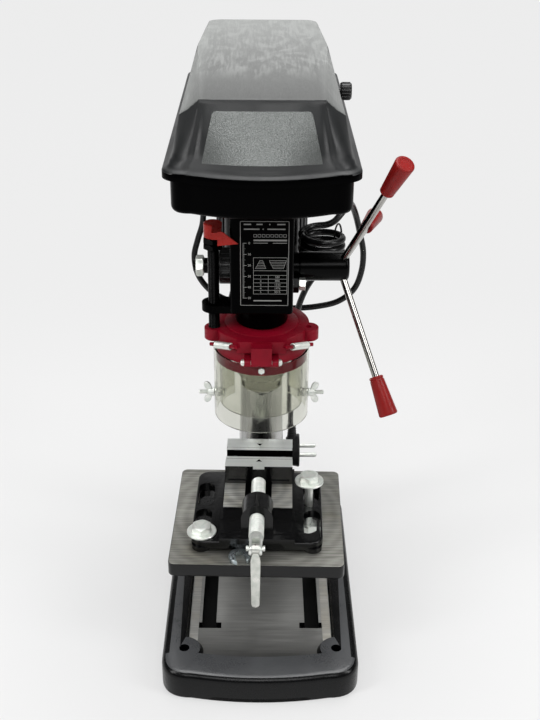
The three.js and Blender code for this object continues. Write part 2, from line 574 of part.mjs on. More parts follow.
function viseHandlePart() {
  const h = viseHandle;
  const z = vise.screwZ;
  const shape = new THREE.Shape();
  const end = z - h.length + h.endWidth / 2;
  shape.moveTo(-h.topWidth / 2 + h.topWidth / 4, z - h.eyeRadius / 2).lineTo(-h.topWidth / 2,
    z - h.eyeRadius * 3);
  shape.lineTo(-h.endWidth / 2, end).absarc(0, end, h.endWidth / 2, Math.PI, Math.PI * 2, false);
  shape.lineTo(h.topWidth / 2, z - h.eyeRadius * 3).lineTo(h.topWidth / 4, z - h.eyeRadius / 2);
  const blade = slab(shape, -h.thickness / 2, h.thickness / 2).rotateX(Math.PI / 2).translate(0,
    viseScrew.pinY, 0);
  const eyeHalf = viseScrew.clevisSlot / 2 - gap;
  const slim = block(-eyeHalf, eyeHalf, viseScrew.pinY - h.eyeRadius * 2, viseScrew.pinY + h.eyeRadius * 2,
    z - viseScrew.clevisRadius - gap, z + h.eyeRadius * 2);
  const lower = block(-h.topWidth, h.topWidth, viseScrew.pinY - h.thickness, viseScrew.pinY + h.thickness,
    z - h.length - overrun, z - viseScrew.clevisRadius - gap);
  const eye = bar(h.eyeRadius, 'x', -eyeHalf, eyeHalf, [0, viseScrew.pinY, z], smallSides);
  const hole = bar(viseScrew.pinRadius + gap, 'x', -h.topWidth, h.topWidth, [0, viseScrew.pinY, z],
    smallSides);
  return cut(join(common(blade, join(slim, lower)), eye), hole);
}

/** A clamping bolt with its washer above the vise and its nut below the table. */
function viseClampBolt(x, y, lift) {
  const b = viseBolt;
  const seat = vise.footHeight + vise.flange + gap + lift;
  const under = -table.edge - gap;
  const at = [x, y, 0];
  return join(
    bar(b.washerRadius, 'z', seat, seat + b.washer, at),
    hexagon(b.across, 'z', seat + b.washer - gap, seat + b.washer + b.headHeight, at),
    bar(b.radius, 'z', under - b.nutHeight - b.tail, seat + overrun, at, smallSides),
    hexagon(b.across, 'z', under - b.nutHeight, under, at));
}

// Head

function headCasting() {
  const h = head;
  const half = h.width / 2;
  const lug = [h.lugX, h.lugY, 0];
  const bossZ = motor.barZ;
  const body = join(
    slab(roundedRectangle(-half, half, h.front, column.y, h.edgeRadius), h.bottom, h.top, 3),
    bar(h.collarRadius, 'z', h.bottom, h.top, [0, column.y, 0]),
    bar(h.neckRadius, 'z', h.neckBottom, h.bottom + overrun),
    bar(h.lugRadius, 'z', h.lugBottom, h.lugBottom + h.lugHeight, lug, roundSides),
    block(h.lugX, -h.neckRadius / 2, h.lugY - h.lugRadius, h.lugY + h.lugRadius, h.lugBottom,
      h.lugBottom + h.lugHeight),
    ...[-1, 1].map((side) => bar(h.bossRadius, 'y', column.y - h.bossRadius, h.bossBack,
      [side * motor.barX, 0, bossZ], smallSides)),
    bar(feed.hubRadius, 'x', 0, feed.collarStart - gap, [0, feed.y, feed.z]));
  const pinionRadius = feed.pitchRadius + feed.addendum + gap * 2;
  return cut(body,
    bar(quill.radius + gap, 'z', h.neckBottom - overrun, h.top - h.roof),
    bar(h.topBoreRadius, 'z', h.top - h.roof - overrun, h.top + overrun),
    bar(column.radius + gap, 'z', h.bottom - overrun, column.top + gap, [0, column.y, 0]),
    bar(stop.rodRadius + gap, 'z', h.lugBottom - overrun, h.lugBottom + h.lugHeight + overrun, lug,
      smallSides),
    bar(feed.shaftRadius + gap, 'x', -half - overrun, feed.collarStart + overrun, [0, feed.y, feed.z],
      smallSides + 4),
    bar(pinionRadius, 'x', -feed.faceWidth / 2 - gap, feed.collarStart + overrun, [0, feed.y, feed.z]),
    bar(lockBolt.radius + gap, 'x', 0, half + overrun, [0, lockBolt.y, lockBolt.z], smallSides),
    ...[-1, 1].map((side) => bar(motor.barRadius + gap, 'y', motor.barFront - motor.travel - overrun / 2,
      h.bossBack + overrun, [side * motor.barX, 0, bossZ], smallSides)));
}

/** The feed shaft with its pinion, hub and threaded left end. */
function feedShaft() {
  const f = feed;
  const at = [0, f.y, f.z];
  const pitch = (Math.PI * 2) / f.teeth;
  const root = f.pitchRadius - f.dedendum;
  const tip = f.pitchRadius + f.addendum;
  const half = pitch * f.toothShare;
  const outline = new THREE.Shape();
  for (let i = 0; i < f.teeth; i += 1) {
    // a gap of the pinion faces +Y's opposite, towards a tooth of the rack
    const middle = Math.PI + (i + 0.5) * pitch;
    const corners = [
      [root, -half * f.rootShare], [tip, -half * f.tipShare],
      [tip, half * f.tipShare], [root, half * f.rootShare],
    ];
    corners.forEach(([radius, angle], k) => {
      const x = radius * Math.cos(middle + angle);
      const y = radius * Math.sin(middle + angle);
      outline[i || k ? 'lineTo' : 'moveTo'](x, y);
    });
  }
  outline.closePath();
  const pinion = slab(outline, -f.faceWidth / 2, f.faceWidth / 2);
  // the drawing's X becomes Y and its Y becomes Z
  pinion.applyMatrix4(new THREE.Matrix4().makeBasis(
    new THREE.Vector3(0, 1, 0), new THREE.Vector3(0, 0, 1), new THREE.Vector3(1, 0, 0)));
  pinion.translate(...at);
  const arms = armPlacements().map(({ start, direction }) => rodAlong(start, direction, feedArm.innerEnd,
    f.hubRadius * 2, feedArm.radius + gap, smallSides));
  return cut(join(
    pinion,
    bar(f.shaftRadius, 'x', f.shaftEnd, f.hubEnd - overrun, at, smallSides + 4),
    bar(f.stubRadius, 'x', f.stubEnd, f.shaftEnd + overrun, at, smallSides),
    bar(f.hubRadius - overrun / 2, 'x', f.collarStart, f.hubStart + overrun, at),
    bar(f.hubRadius, 'x', f.hubStart, f.hubEnd - f.hubEdge, at),
    bar(f.hubRadius, 'x', f.hubEnd - f.hubEdge, f.hubEnd, at, roundSides, f.hubRadius - f.hubEdge)),
      ...arms);
}

/** Where each feed arm starts on the hub's axis, and its direction. */
function armPlacements() {
  const cone = THREE.MathUtils.degToRad(feedArm.coneDegrees);
  return Array.from({ length: feedArm.count }, (_, i) => {
    const angle = THREE.MathUtils.degToRad(feedArm.firstDegrees) + (i / feedArm.count) * Math.PI * 2;
    return {
      start: new THREE.Vector3(feedArm.rootX, feed.y, feed.z),
      direction: new THREE.Vector3(Math.sin(cone), Math.cos(cone) * Math.cos(angle),
        Math.cos(cone) * Math.sin(angle)),
    };
  });
}

/** A rod along a direction, between two distances from its start point. */
function rodAlong(start, direction, from, to, radius, sides, endRadius = radius) {
  const geometry = bar(radius, 'z', from, to, [0, 0, 0], sides, endRadius);
  const turn = new THREE.Quaternion().setFromUnitVectors(new THREE.Vector3(0, 0, 1), direction);
  return geometry.applyQuaternion(turn).translate(start.x, start.y, start.z);
}

/** The distance along an arm at which its grip ends. */
const armEnd = () => feedArm.reach / Math.cos(THREE.MathUtils.degToRad(feedArm.coneDegrees));

function feedArmPart(placement) {
  return rodAlong(placement.start, placement.direction, feedArm.innerEnd + gap,
    armEnd() - grip.length + grip.socket - gap,
    feedArm.radius, smallSides);
}

function feedGrip(placement) {
  const start = armEnd() - grip.length;
  const profile = [[0, start], [grip.innerRadius - grip.edge / 2, start], [grip.innerRadius,
    start + grip.edge],
    [grip.outerRadius, armEnd() - grip.edge], [grip.outerRadius - grip.edge, armEnd()], [0, armEnd()]];
  const turn = new THREE.Quaternion().setFromUnitVectors(new THREE.Vector3(0, 0, 1), placement.direction);
  const body = turned(profile, 20).applyQuaternion(turn).translate(...placement.start.toArray());
  return cut(body, rodAlong(placement.start, placement.direction, start - overrun, start + grip.socket,
    feedArm.radius + gap, smallSides));
}

function returnSpringCap() {
  const start = -head.width / 2 - gap;
  const s = springCap;
  const at = [0, feed.y, feed.z];
  return cut(join(
    bar(s.radius, 'x', start - s.length + s.lip, start, at),
    bar(s.lipRadius, 'x', start - s.length, start, at)),
  bar(feed.shaftRadius + gap, 'x', start - s.length - overrun, start + overrun, at, smallSides + 4));
}

function springCapNut() {
  const end = feed.shaftEnd - gap;
  const at = [0, feed.y, feed.z];
  return cut(hexagon(capNut.across, 'x', end - capNut.length, end, at),
    bar(feed.stubRadius + gap, 'x', end - capNut.length - overrun, end + overrun, at, smallSides));
}

function quillLockBolt() {
  const face = head.width / 2 + gap + lockBolt.nutLength + gap;
  const at = [0, lockBolt.y, lockBolt.z];
  return join(
    bar(lockBolt.radius, 'x', lockBolt.tip, face + overrun, at, smallSides),
    hexagon(lockBolt.across, 'x', face, face + lockBolt.headLength, at));
}

function quillLockNut() {
  const face = head.width / 2 + gap;
  const at = [0, lockBolt.y, lockBolt.z];
  return cut(hexagon(lockBolt.nutAcross, 'x', face, face + lockBolt.nutLength, at),
    bar(lockBolt.radius + gap, 'x', face - overrun, face + lockBolt.nutLength + overrun, at, smallSides));
}

// Quill and spindle

function quillTube() {
  const q = quill;
  const top = q.bottom + q.length;
  const pitch = (Math.PI * 2 * feed.pitchRadius) / feed.teeth;
  const pitchLine = feed.y - feed.pitchRadius;
  const toothTip = pitchLine + feed.addendum;
  const toothRoot = pitchLine - feed.dedendum;
  const wide = feed.faceWidth + gap * 4;
  const gaps = [];
  const reach = Math.ceil(q.length / pitch);
  const halfRoot = (pitch - pitch * feed.toothShare * feed.rootShare * feed.rackSlackShare) / 2;
  for (let i = -reach; i <= reach; i += 1) {
    const z = feed.z + (i + 0.5) * pitch;
    if (z < feed.z - pitch * 2 || z > top + pitch / 2) continue;
    const tooth = new THREE.Shape();
    tooth.moveTo(toothRoot, z - halfRoot * feed.rackRootShare).lineTo(toothTip + overrun,
      z - halfRoot * feed.rackMouthShare);
    tooth.lineTo(toothTip + overrun, z + halfRoot * feed.rackMouthShare).lineTo(toothRoot,
      z + halfRoot * feed.rackRootShare);
    const wedge = slab(tooth, -wide / 2, wide / 2);
    wedge.applyMatrix4(new THREE.Matrix4().makeBasis(
      new THREE.Vector3(0, 1, 0), new THREE.Vector3(0, 0, 1), new THREE.Vector3(1, 0, 0)));
    gaps.push(wedge);
  }
  const flat = block(-wide / 2, wide / 2, toothTip, q.radius + overrun, feed.z - pitch * 3, top + overrun);
  return cut(bar(q.radius, 'z', q.bottom, top), flat, ...gaps,
    bar(q.boreRadius, 'z', q.bottom - overrun, top + overrun, [0, 0, 0], smallSides + 4),
    bar(q.bearingSeat + gap, 'z', q.bottom - overrun, q.bottom + q.bearingDepth));
}

function quillBearing() {
  const q = quill;
  return ring(q.bearingSeat, spindle.radius + gap, q.bottom + gap, q.bottom + q.bearingDepth - gap);
}

function spindleShaft() {
  const s = spindle;
  const noseBottom = chuck.top - s.noseLength;
  const shoulderTop = quill.bottom - gap;
  const shaft = turned([[0, noseBottom], [s.nose, noseBottom], [s.nose, chuck.top + gap], [s.shoulder,
    chuck.top + gap],
    [s.shoulder, shoulderTop], [s.radius, shoulderTop], [s.radius, s.splineStart],
    [s.splineRadius, s.splineStart + overrun], [s.splineRadius, s.top], [0, s.top]], smallSides + 4);
  return shaft;
}

/** The line that a jaw slides along, as a start point at its tip and a direction up and out. */
function jawLine(index) {
  const angle = (index / jaw.count) * Math.PI * 2 - Math.PI / 2;
  const lean = THREE.MathUtils.degToRad(jaw.degrees);
  const out = new THREE.Vector3(Math.cos(angle), Math.sin(angle), 0);
  return {
    angle,
    start: out.clone().multiplyScalar(jaw.tipOffset).setZ(jaw.tipZ),
    direction: out.clone().multiplyScalar(Math.sin(lean)).setZ(Math.cos(lean)),
  };
}

function chuckBody() {
  const c = chuck;
  const edge = overrun;
  const body = turned([[0, c.bottom], [c.radius - edge * 2, c.bottom], [c.radius, c.bottom + edge * 2],
    [c.radius, c.top - edge], [c.radius - edge, c.top], [0, c.top]]);
  const bores = Array.from({ length: jaw.count }, (_, i) => {
    const line = jawLine(i);
    return rodAlong(line.start, line.direction, -jaw.length, c.top - c.bottom + jaw.length,
      jaw.radius + jaw.holeClearance, smallSides);
  });
  const keyHoles = Array.from({ length: jaw.count }, (_, i) => {
    const angle = jawLine(i).angle + Math.PI / jaw.count;
    const hole = bar(c.keyHoleRadius, 'x', c.radius - c.keyHoleDepth, c.radius + overrun, [0, 0,
      c.keyHoleZ], 10);
    return hole.rotateZ(angle);
  });
  return cut(body, ...bores, ...keyHoles,
    bar(c.bore, 'z', c.bottom - overrun, c.boreTop, [0, 0, 0], smallSides + 4),
    bar(spindle.nose + gap, 'z', c.top - spindle.noseLength - gap, c.top + overrun, [0, 0, 0],
      smallSides + 4));
}

function chuckSleeve() {
  const c = chuck;
  const outline = new THREE.Shape();
  for (let i = 0; i < c.teeth; i += 1) {
    const pitch = (Math.PI * 2) / c.teeth;
    [[c.sleeveRadius, -0.25], [c.sleeveRadius, 0.25], [c.sleeveRadius - c.tooth / 2, 0.5]].forEach(([r,
      share], k) => {
      const angle = (i + share) * pitch;
      outline[i || k ? 'lineTo' : 'moveTo'](r * Math.cos(angle), r * Math.sin(angle));
    });
  }
  outline.closePath();
  const toothed = slab(outline, c.sleeveBottom, c.sleeveBottom + c.tooth * 2);
  const shape = join(toothed, bar(c.sleeveRadius, 'z', c.sleeveBottom + c.tooth * 2 - gap, c.sleeveTop));
  return cut(shape, bar(c.radius + gap, 'z', c.sleeveBottom - overrun, c.sleeveTop + overrun));
}

function chuckJaw(index) {
  const line = jawLine(index);
  const spread = Math.PI / jaw.count;
  const reach = chuck.radius * 2;
  const wedge = new THREE.Shape();
  wedge.moveTo(gap, 0).lineTo(reach * Math.cos(spread), reach * Math.sin(spread));
  wedge.lineTo(reach * Math.cos(spread), -reach * Math.sin(spread));
  const sector = slab(wedge, jaw.tipZ - overrun, chuck.top).rotateZ(line.angle);
  return common(rodAlong(line.start, line.direction, 0, jaw.length, jaw.radius, smallSides), sector);
}

// Depth stop

function depthRod() {
  return bar(stop.rodRadius, 'z', collarBottom() + gap, stop.rodTop, [head.lugX, head.lugY, 0], smallSides);
}

function depthStopNuts() {
  const at = [head.lugX, head.lugY, 0];
  const z = stop.nutBottom;
  const middle = z + stop.nutHeight;
  return cut(join(
    hexagon(stop.nutAcross, 'z', z, middle - gap, at),
    bar(stop.nutAcross / 2 - overrun / 2, 'z', middle - overrun, middle + overrun, at, smallSides),
    hexagon(stop.nutAcross, 'z', middle + gap, middle + stop.nutHeight, at)),
  bar(stop.rodRadius + gap, 'z', z - overrun, middle + stop.nutHeight + overrun, at, smallSides));
}

function depthPointer() {
  const p = pointer;
  const at = [head.lugX, head.lugY, 0];
  const bladeBack = head.front - p.bladeGap;
  const bladeFront = bladeBack - p.bladeThickness;
  const blade = new THREE.Shape();
  blade.moveTo(head.lugX + p.bladeShoulder, p.bladeTop).lineTo(head.lugX + p.bladeStart, p.bladeTop);
  blade.lineTo(head.lugX + p.bladeStart, p.bladeBottom).lineTo(p.tipX, p.tipZ);
  const arrow = slab(blade, -p.bladeThickness, 0).rotateX(Math.PI / 2);
  arrow.translate(0, bladeBack - p.bladeThickness, 0);
  const web = block(head.lugX, head.lugX + p.webWidth, bladeFront, head.lugY, p.webBottom,
    p.bottom + p.height);
  const cap = bar(p.radius, 'z', p.bottom, p.bottom + p.height, at, smallSides + 4);
  return cut(join(cap, web, arrow), bar(stop.rodRadius + gap, 'z', p.bottom - overrun,
    stop.rodTop + gap, at, smallSides));
}

// Guard

const collarBottom = () => collar.top - collar.thickness;

function quillCollar() {
  const c = collar;
  const bottom = collarBottom();
  const ears = [-1, 1].map((side) => [side * -head.lugX, head.lugY, 0]);
  const tab = block(-c.tabWidth / 2, c.tabWidth / 2, hinge.y - hinge.knuckleRadius, c.front + overrun,
    hinge.z, c.top - overrun);
  const knuckle = bar(hinge.knuckleRadius, 'x', -c.tabWidth / 2, c.tabWidth / 2, [0, hinge.y, hinge.z],
    smallSides);
  const behind = block(-c.tabWidth, c.tabWidth, hinge.y + hinge.knuckleRadius, 0, hinge.z - overrun,
    bottom);
  const pegs = springLines().map(({ from, along }) => rodAlong(from, along, -guardSpring.pegLength,
    guardSpring.pegTip,
    guardSpring.peg, smallSides));
  const pegFeet = springLines().map(({ from, along }) => {
    const foot = from.clone().addScaledVector(along, -guardSpring.pegLength);
    const corner = new THREE.Vector3(Math.sign(from.x) * (c.frontWidth / 2 - overrun),
      c.front + overrun, foot.z - overrun);
    return rodAlong(foot, corner.clone().sub(foot).normalize(), -guardSpring.peg / 2,
      foot.distanceTo(corner),
      guardSpring.peg, 8);
  });
  const body = join(
    bar(c.radius, 'z', bottom, c.top),
    block(-c.frontWidth / 2, c.frontWidth / 2, c.front, 0, bottom, c.top),
    ...ears.map((at) => bar(c.earRadius, 'z', bottom, c.top, at, smallSides + 4)),
    cut(tab, behind), knuckle, ...pegs, ...pegFeet);
  return cut(body,
    bar(quill.radius + gap, 'z', bottom - overrun, c.top + overrun),
    bar(hinge.pinRadius + gap, 'x', -c.tabWidth, c.tabWidth, [0, hinge.y, hinge.z], smallSides),
    bar(stop.rodRadius + gap, 'z', bottom - overrun, c.top + overrun, [head.lugX, head.lugY, 0],
      smallSides),
    bar(stop.rodRadius / 2, 'z', bottom - overrun, c.top + overrun, [-head.lugX, head.lugY, 0],
      smallSides));
}

/** The two straight lines that the guard springs lie along, from the collar to the band. */
function springLines() {
  const s = guardSpring;
  return [-1, 1].map((side) => {
    const from = new THREE.Vector3(side * s.x1, s.y1, s.z1);
    const to = new THREE.Vector3(side * s.x2, s.y2, s.z2);
    return { from, to, along: to.clone().sub(from).normalize(), length: from.distanceTo(to) };
  });
}

/** The gap at the back of the guard, through which the chuck passes when the guard swings up. */
const guardOpening = (radius) => block(-band.openHalf, band.openHalf, 0, radius * 2,
  lowerShell.bottom - overrun, collar.top);

function guardBand() {
  const b = band;
  const ringPart = cut(ring(b.radius, b.radius - b.wall, b.bottom, b.top), guardOpening(b.radius));
  const inner = collar.tabWidth / 2 + hinge.sideGap;
  const lugs = [-1, 1].map((side) => {
    const [x1, x2] = [side * inner, side * (inner + hinge.lugWidth)].sort((p, q) => p - q);
    return join(
      bar(hinge.knuckleRadius, 'x', x1, x2, [0, hinge.y, hinge.z], smallSides),
      block(x1, x2, hinge.y, -b.radius + b.wall * 1.5, hinge.z - hinge.knuckleRadius,
        hinge.z + hinge.knuckleRadius));
  });
  const pegs = springLines().map(({ to, along }) => rodAlong(to, along, -guardSpring.pegTip,
    guardSpring.pegLength,
    guardSpring.peg, smallSides));
  const pegFeet = springLines().map(({ to, along }) => {
    const foot = to.clone().addScaledVector(along, guardSpring.pegLength);
    const inward = new THREE.Vector3(-foot.x, -foot.y, (b.top + b.bottom) / 2 - foot.z).normalize();
    const reach = Math.hypot(foot.x, foot.y) - b.radius + b.wall;
    return rodAlong(foot, inward, -guardSpring.peg / 2, reach, guardSpring.peg, 8);
  });
  const core = bar(b.radius - b.wall, 'z', b.bottom - overrun, b.top + overrun);
  const above = bar(collar.radius + gap, 'z', b.top, collar.top);
  return cut(join(ringPart, ...lugs, cut(join(...pegs, ...pegFeet), core, above)),
    bar(hinge.pinRadius + gap, 'x', -b.radius, b.radius, [0, hinge.y, hinge.z], smallSides));
}

function guardHingePin() {
  const end = collar.tabWidth / 2 + hinge.sideGap + hinge.lugWidth + gap;
  const at = [0, hinge.y, hinge.z];
  return join(
    bar(hinge.pinRadius, 'x', -end - overrun, end + overrun, at, smallSides),
    bar(hinge.headRadius, 'x', -end - hinge.headLength, -end, at, smallSides),
    bar(hinge.headRadius, 'x', end, end + hinge.headLength, at, smallSides));
}

function guardShell(shell, cutters) {
  const body = cut(ring(shell.radius, shell.radius - shell.wall, shell.bottom, shell.top),
    guardOpening(shell.radius));
  return cut(body, ...cutters);
}

function guardUpperShell() {
  const at = [0, 0, wing.z];
  return guardShell(upperShell, [bar(wing.screwRadius + gap, 'x', -lowerShell.radius * 2,
    lowerShell.radius * 2, at, smallSides)]);
}

function guardLowerShell() {
  const s = lowerShell;
  const half = s.slotWidth / 2;
  const slot = roundedRectangle(-half, half, wing.z - half, wing.z - half + s.slotLength, half - 1e-3);
  const cutter = slab(slot, -s.radius * 2, s.radius * 2);
  cutter.applyMatrix4(new THREE.Matrix4().makeBasis(
    new THREE.Vector3(0, 1, 0), new THREE.Vector3(0, 0, 1), new THREE.Vector3(1, 0, 0)));
  return guardShell(s, [cutter]);
}

/** A wing screw with its wing nut and its spacer between the two shells. */
function wingScrew(side) {
  const w = wing;
  const at = [0, 0, w.z];
  const inner = upperShell.radius - upperShell.wall;
  const face = lowerShell.radius + gap;
  const spacer = bar(w.spacerRadius, 'x', upperShell.radius + gap,
    lowerShell.radius - lowerShell.wall - gap * 2, at, smallSides);
  const blades = [-1, 1].map((up) => {
    const blade = new THREE.Shape();
    blade.absellipse(0, w.bladeReach, w.bladeWidth / 2, w.bladeReach, 0, Math.PI * 2, false);
    const geometry = slab(blade, -w.bladeThickness / 2, w.bladeThickness / 2, 5);
    geometry.rotateX(Math.PI / 2).rotateY(w.bladeLean);
    if (up < 0) geometry.rotateX(Math.PI);
    return geometry.translate(face + w.nutLength / 2, 0, w.z);
  });
  const shape = join(
    bar(w.screwRadius, 'x', inner - w.headGap - w.headLength / 2, w.tipX, at, smallSides),
    bar(w.headRadius, 'x', inner - w.headGap - w.headLength, inner - w.headGap, at, smallSides),
    spacer,
    bar(w.nutRadius, 'x', face, face + w.nutLength, at, smallSides, w.nutTip),
    ...blades);
  return side > 0 ? shape : mirrored(shape);
}

/** The mirror image of a solid, from its right side to its left. */
function mirrored(shape) {
  const mesh = solid(shape).getMesh();
  const positions = Float32Array.from(mesh.vertProperties, (value, i) => (i % 3 ? value : -value));
  const index = Uint32Array.from(mesh.triVerts);
  for (let i = 0; i < index.length; i += 3) [index[i], index[i + 1]] = [index[i + 1], index[i]];
  return new wasm.Manifold(new wasm.Mesh({ numProp: 3, vertProperties: positions, triVerts: index }));
}

/** A close-wound extension spring between its two pegs. */
function springPoints({ from, along, length }, side) {
  const s = guardSpring;
  const radius = s.outer / 2 - s.wire / 2;
  const turns = Math.floor((length - s.wire * 4) / s.pitch);
  const frame = new THREE.Quaternion().setFromUnitVectors(new THREE.Vector3(0, 0, 1), along);
  const lead = (length - turns * s.pitch) / 2;
  const points = [];
  for (let i = 0; i <= turns * s.steps; i += 1) {
    const angle = (i / s.steps) * Math.PI * 2 * side;
    const z = lead + (i / s.steps) * s.pitch;
    points.push(new THREE.Vector3(radius * Math.cos(angle), radius * Math.sin(angle), z));
  }
  return points.map((p) => p.applyQuaternion(frame).add(from).toArray());
}

// Drive

function pulleyCase() {
  const p = pan;
  const outline = bulgedOutline(p.width / 2, p.front, p.back, p.bulge, p.cornerRadius);
  const inner = bulgedOutline(p.width / 2 - p.wall, p.front + p.wall, p.back - p.wall, p.bulge,
    p.cornerRadius - p.wall);
  const height = p.top - p.bottom;
  const body = softSlab(outline, -height, height, p.edgeRadius).rotateY(Math.PI).translate(0, 0,
    p.bottom + height);
  const upper = block(-p.width, p.width, p.front * 2, p.back * 2, p.bottom, p.top);
  const hollow = softSlab(inner, -height, height, p.edgeRadius - p.wall).rotateY(Math.PI)
    .translate(0, 0, p.bottom + p.wall + height);
  const slotHalf = motor.shaftRadius + p.wall;
  const slot = slab(roundedRectangle(-slotHalf, slotHalf, drive.centre - motor.travel - slotHalf,
    drive.centre + slotHalf, slotHalf - 1e-3), p.bottom - overrun, p.bottom + p.wall + overrun);
  return cut(common(body, upper), hollow, slot,
    bar(p.spindleHole, 'z', p.bottom - overrun, p.bottom + p.wall + overrun));
}

/** The cover's slanted upper body as the hull of its base outline and its creased top. */
function coverBody(inset, lift) {
  const c = cover;
  const outline = bulgedOutline(c.bodyWidth / 2 - inset, c.bodyFront + inset, c.bodyBack - inset,
    c.bulge, c.bodyCorner);
  const points = outline.getPoints(4).map((p) => new THREE.Vector3(p.x, p.y, c.rimTop - lift));
  for (const side of [-1, 1]) {
    points.push(new THREE.Vector3(side * (c.creaseHalf - inset), c.creaseY + inset, c.creaseZ - inset));
    points.push(new THREE.Vector3(side * (c.shoulderHalf - inset), c.shoulderY + inset,
      c.shoulderZ - inset));
    points.push(new THREE.Vector3(side * (c.topHalf - inset), c.topY, c.topZ - inset));
    points.push(new THREE.Vector3(side * (c.topBackHalf - inset), c.topBack - c.topCorner - inset,
      c.topZ - inset));
    points.push(new THREE.Vector3(side * (c.topBackHalf - c.topCorner - inset), c.topBack - inset,
      c.topZ - inset));
  }
  return new ConvexGeometry(points);
}

function pulleyCover() {
  const c = cover;
  const rim = bulgedOutline(c.rimWidth / 2, c.rimFront, c.rimBack, c.bulge, c.rimCorner);
  const rimInside = bulgedOutline(c.bodyWidth / 2 - c.wall, c.bodyFront + c.wall, c.bodyBack - c.wall,
    c.bulge,
    c.bodyCorner);
  const rimSlab = softSlab(rim, c.rimBottom, c.rimTop, c.wall, 2);
  const lifted = common(rimSlab, block(-c.rimWidth, c.rimWidth, c.rimFront * 2, c.rimBack * 2,
    c.rimBottom, c.rimTop));
  const stud = bar(knob.studRadius + gap, 'x', 0, c.rimWidth, [0, knob.y, knob.z], smallSides);
  return cut(join(lifted, coverBody(0, overrun)), coverBody(c.wall, overrun),
    slab(rimInside, c.rimBottom - overrun, c.rimTop - overrun + gap), stud);
}

function coverKnob() {
  const k = knob;
  const at = [0, k.y, k.z];
  const flutes = Array.from({ length: k.flutes }, (_, i) => {
    const angle = (i / k.flutes) * Math.PI * 2;
    return bar(k.fluteRadius, 'x', k.start + k.fluteRadius, k.start + k.length + overrun,
      [0, k.y + k.radius * Math.cos(angle), k.z + k.radius * Math.sin(angle)], 6);
  });
  return cut(join(
    bar(k.radius, 'x', k.start, k.start + k.length, at, roundSides, k.radius - k.fluteRadius),
    bar(k.studRadius, 'x', k.start - k.studLength, k.start + overrun, at, smallSides)), ...flutes);
}

/** The stepped V-belt pulley profile, from the lowest step up, as radius and height pairs. */
function pulleyProfile(steps, bore, hubRadius, hubBottom) {
  const d = drive;
  const profile = [[bore, hubBottom], [hubRadius, hubBottom], [hubRadius, d.bottom]];
  steps.forEach((radius, i) => {
    const z = d.bottom + i * d.stepHeight;
    const middle = z + d.stepHeight / 2;
    profile.push([radius, z], [radius - d.groove, middle - d.beltFoot / 2],
      [radius - d.groove, middle + d.beltFoot / 2], [radius, z + d.stepHeight]);
  });
  const top = d.bottom + steps.length * d.stepHeight;
  profile.push([bore, top], [bore, hubBottom]);
  return profile;
}

function spindlePulley() {
  return turned(pulleyProfile(spindlePulleyRadii, pulleyHub.bore, pulleyHub.radius, pulleyHub.bottom),
    drive.sides);
}

function motorPulley() {
  return turned(pulleyProfile(motorPulleyRadii, motor.shaftRadius + gap, motor.shaftRadius * 2,
    drive.bottom - overrun), drive.sides)
    .translate(0, drive.centre, 0);
}

/** The V-belt, a closed loop of one trapezoid section round both pulleys. */
function vBelt() {
  const d = drive;
  const index = d.belt - 1;
  const outer = (radius) => radius - d.seat;
  const big = outer(spindlePulleyRadii[index]);
  const small = outer(motorPulleyRadii[index]);
  const z = d.bottom + (index + 0.5) * d.stepHeight;
  const lean = Math.asin((big - small) / d.centre);
  const arc = (cy, radius, from, to, steps) => Array.from({ length: steps + 1 }, (_, i) => {
    const angle = from + ((to - from) * i) / steps;
    return { c: cy, r: radius, a: angle };
  });
  const stations = [
    ...arc(0, big, Math.PI - lean, Math.PI * 2 + lean, 16),
    ...arc(d.centre, small, lean, Math.PI - lean, 16),
  ];
  const half = [d.beltTop / 2 - gap, d.beltFoot / 2 - gap];
  const positions = [];
  stations.forEach(({ c, r, a }) => {
    [[r, -half[0]], [r, half[0]], [r - d.beltDepth, half[1]], [r - d.beltDepth,
      -half[1]]].forEach(([radius, dz]) => {
      positions.push(radius * Math.cos(a), c + radius * Math.sin(a), z + dz);
    });
  });
  const tri = [];
  const count = stations.length;
  for (let i = 0; i < count; i += 1) {
    for (let k = 0; k < 4; k += 1) {
      const a = i * 4 + k;
      const b = i * 4 + ((k + 1) % 4);
      const c = ((i + 1) % count) * 4 + ((k + 1) % 4);
      const e = ((i + 1) % count) * 4 + k;
      tri.push(a, c, b, a, e, c);
    }
  }
  const geometry = new THREE.BufferGeometry();
  geometry.setAttribute('position', new THREE.Float32BufferAttribute(positions, 3));
  geometry.setIndex(tri);
  return geometry;
}

function motorBody() {
  const m = motor;
  const body = turned([[0, m.bottom], [m.capRadius, m.bottom], [m.capRadius, m.bottom + m.capHeight],
    [m.radius, m.bottom + m.capHeight], [m.radius, m.top - m.endBell], [m.radius - m.endBell, m.top],
      [0, m.top]])
    .translate(0, drive.centre, 0);
  const fins = Array.from({ length: m.fins }, (_, i) => {
    const groove = block(m.radius - m.finDepth, m.radius + overrun, -m.finWidth / 2, m.finWidth / 2,
      m.bottom + m.capHeight * 2, m.top - m.endBell * 2);
    return groove.rotateZ(((i + 0.5) / m.fins) * Math.PI * 2).translate(0, drive.centre, 0);
  });
  const plate = block(-m.plateWidth / 2, m.plateWidth / 2, m.plateFront, drive.centre, m.plateBottom,
    m.plateTop);
  const bars = [-1, 1].map((side) => bar(m.barRadius, 'y', m.barFront, m.plateFront + overrun,
    [side * m.barX, 0, m.barZ], smallSides));
  return cut(join(cut(body, ...fins), plate, ...bars),
    bar(m.shaftRadius + gap, 'z', m.top - m.shaftSeat - gap, m.top + overrun, [0, drive.centre, 0],
      smallSides + 4));
}

function motorShaft() {
  return bar(motor.shaftRadius, 'z', motor.top - motor.shaftSeat, motor.shaftTop, [0, drive.centre, 0],
    smallSides + 4);
}

/** The switch box's right face, against the motor. */
const switchRight = () => -motor.radius - gap;

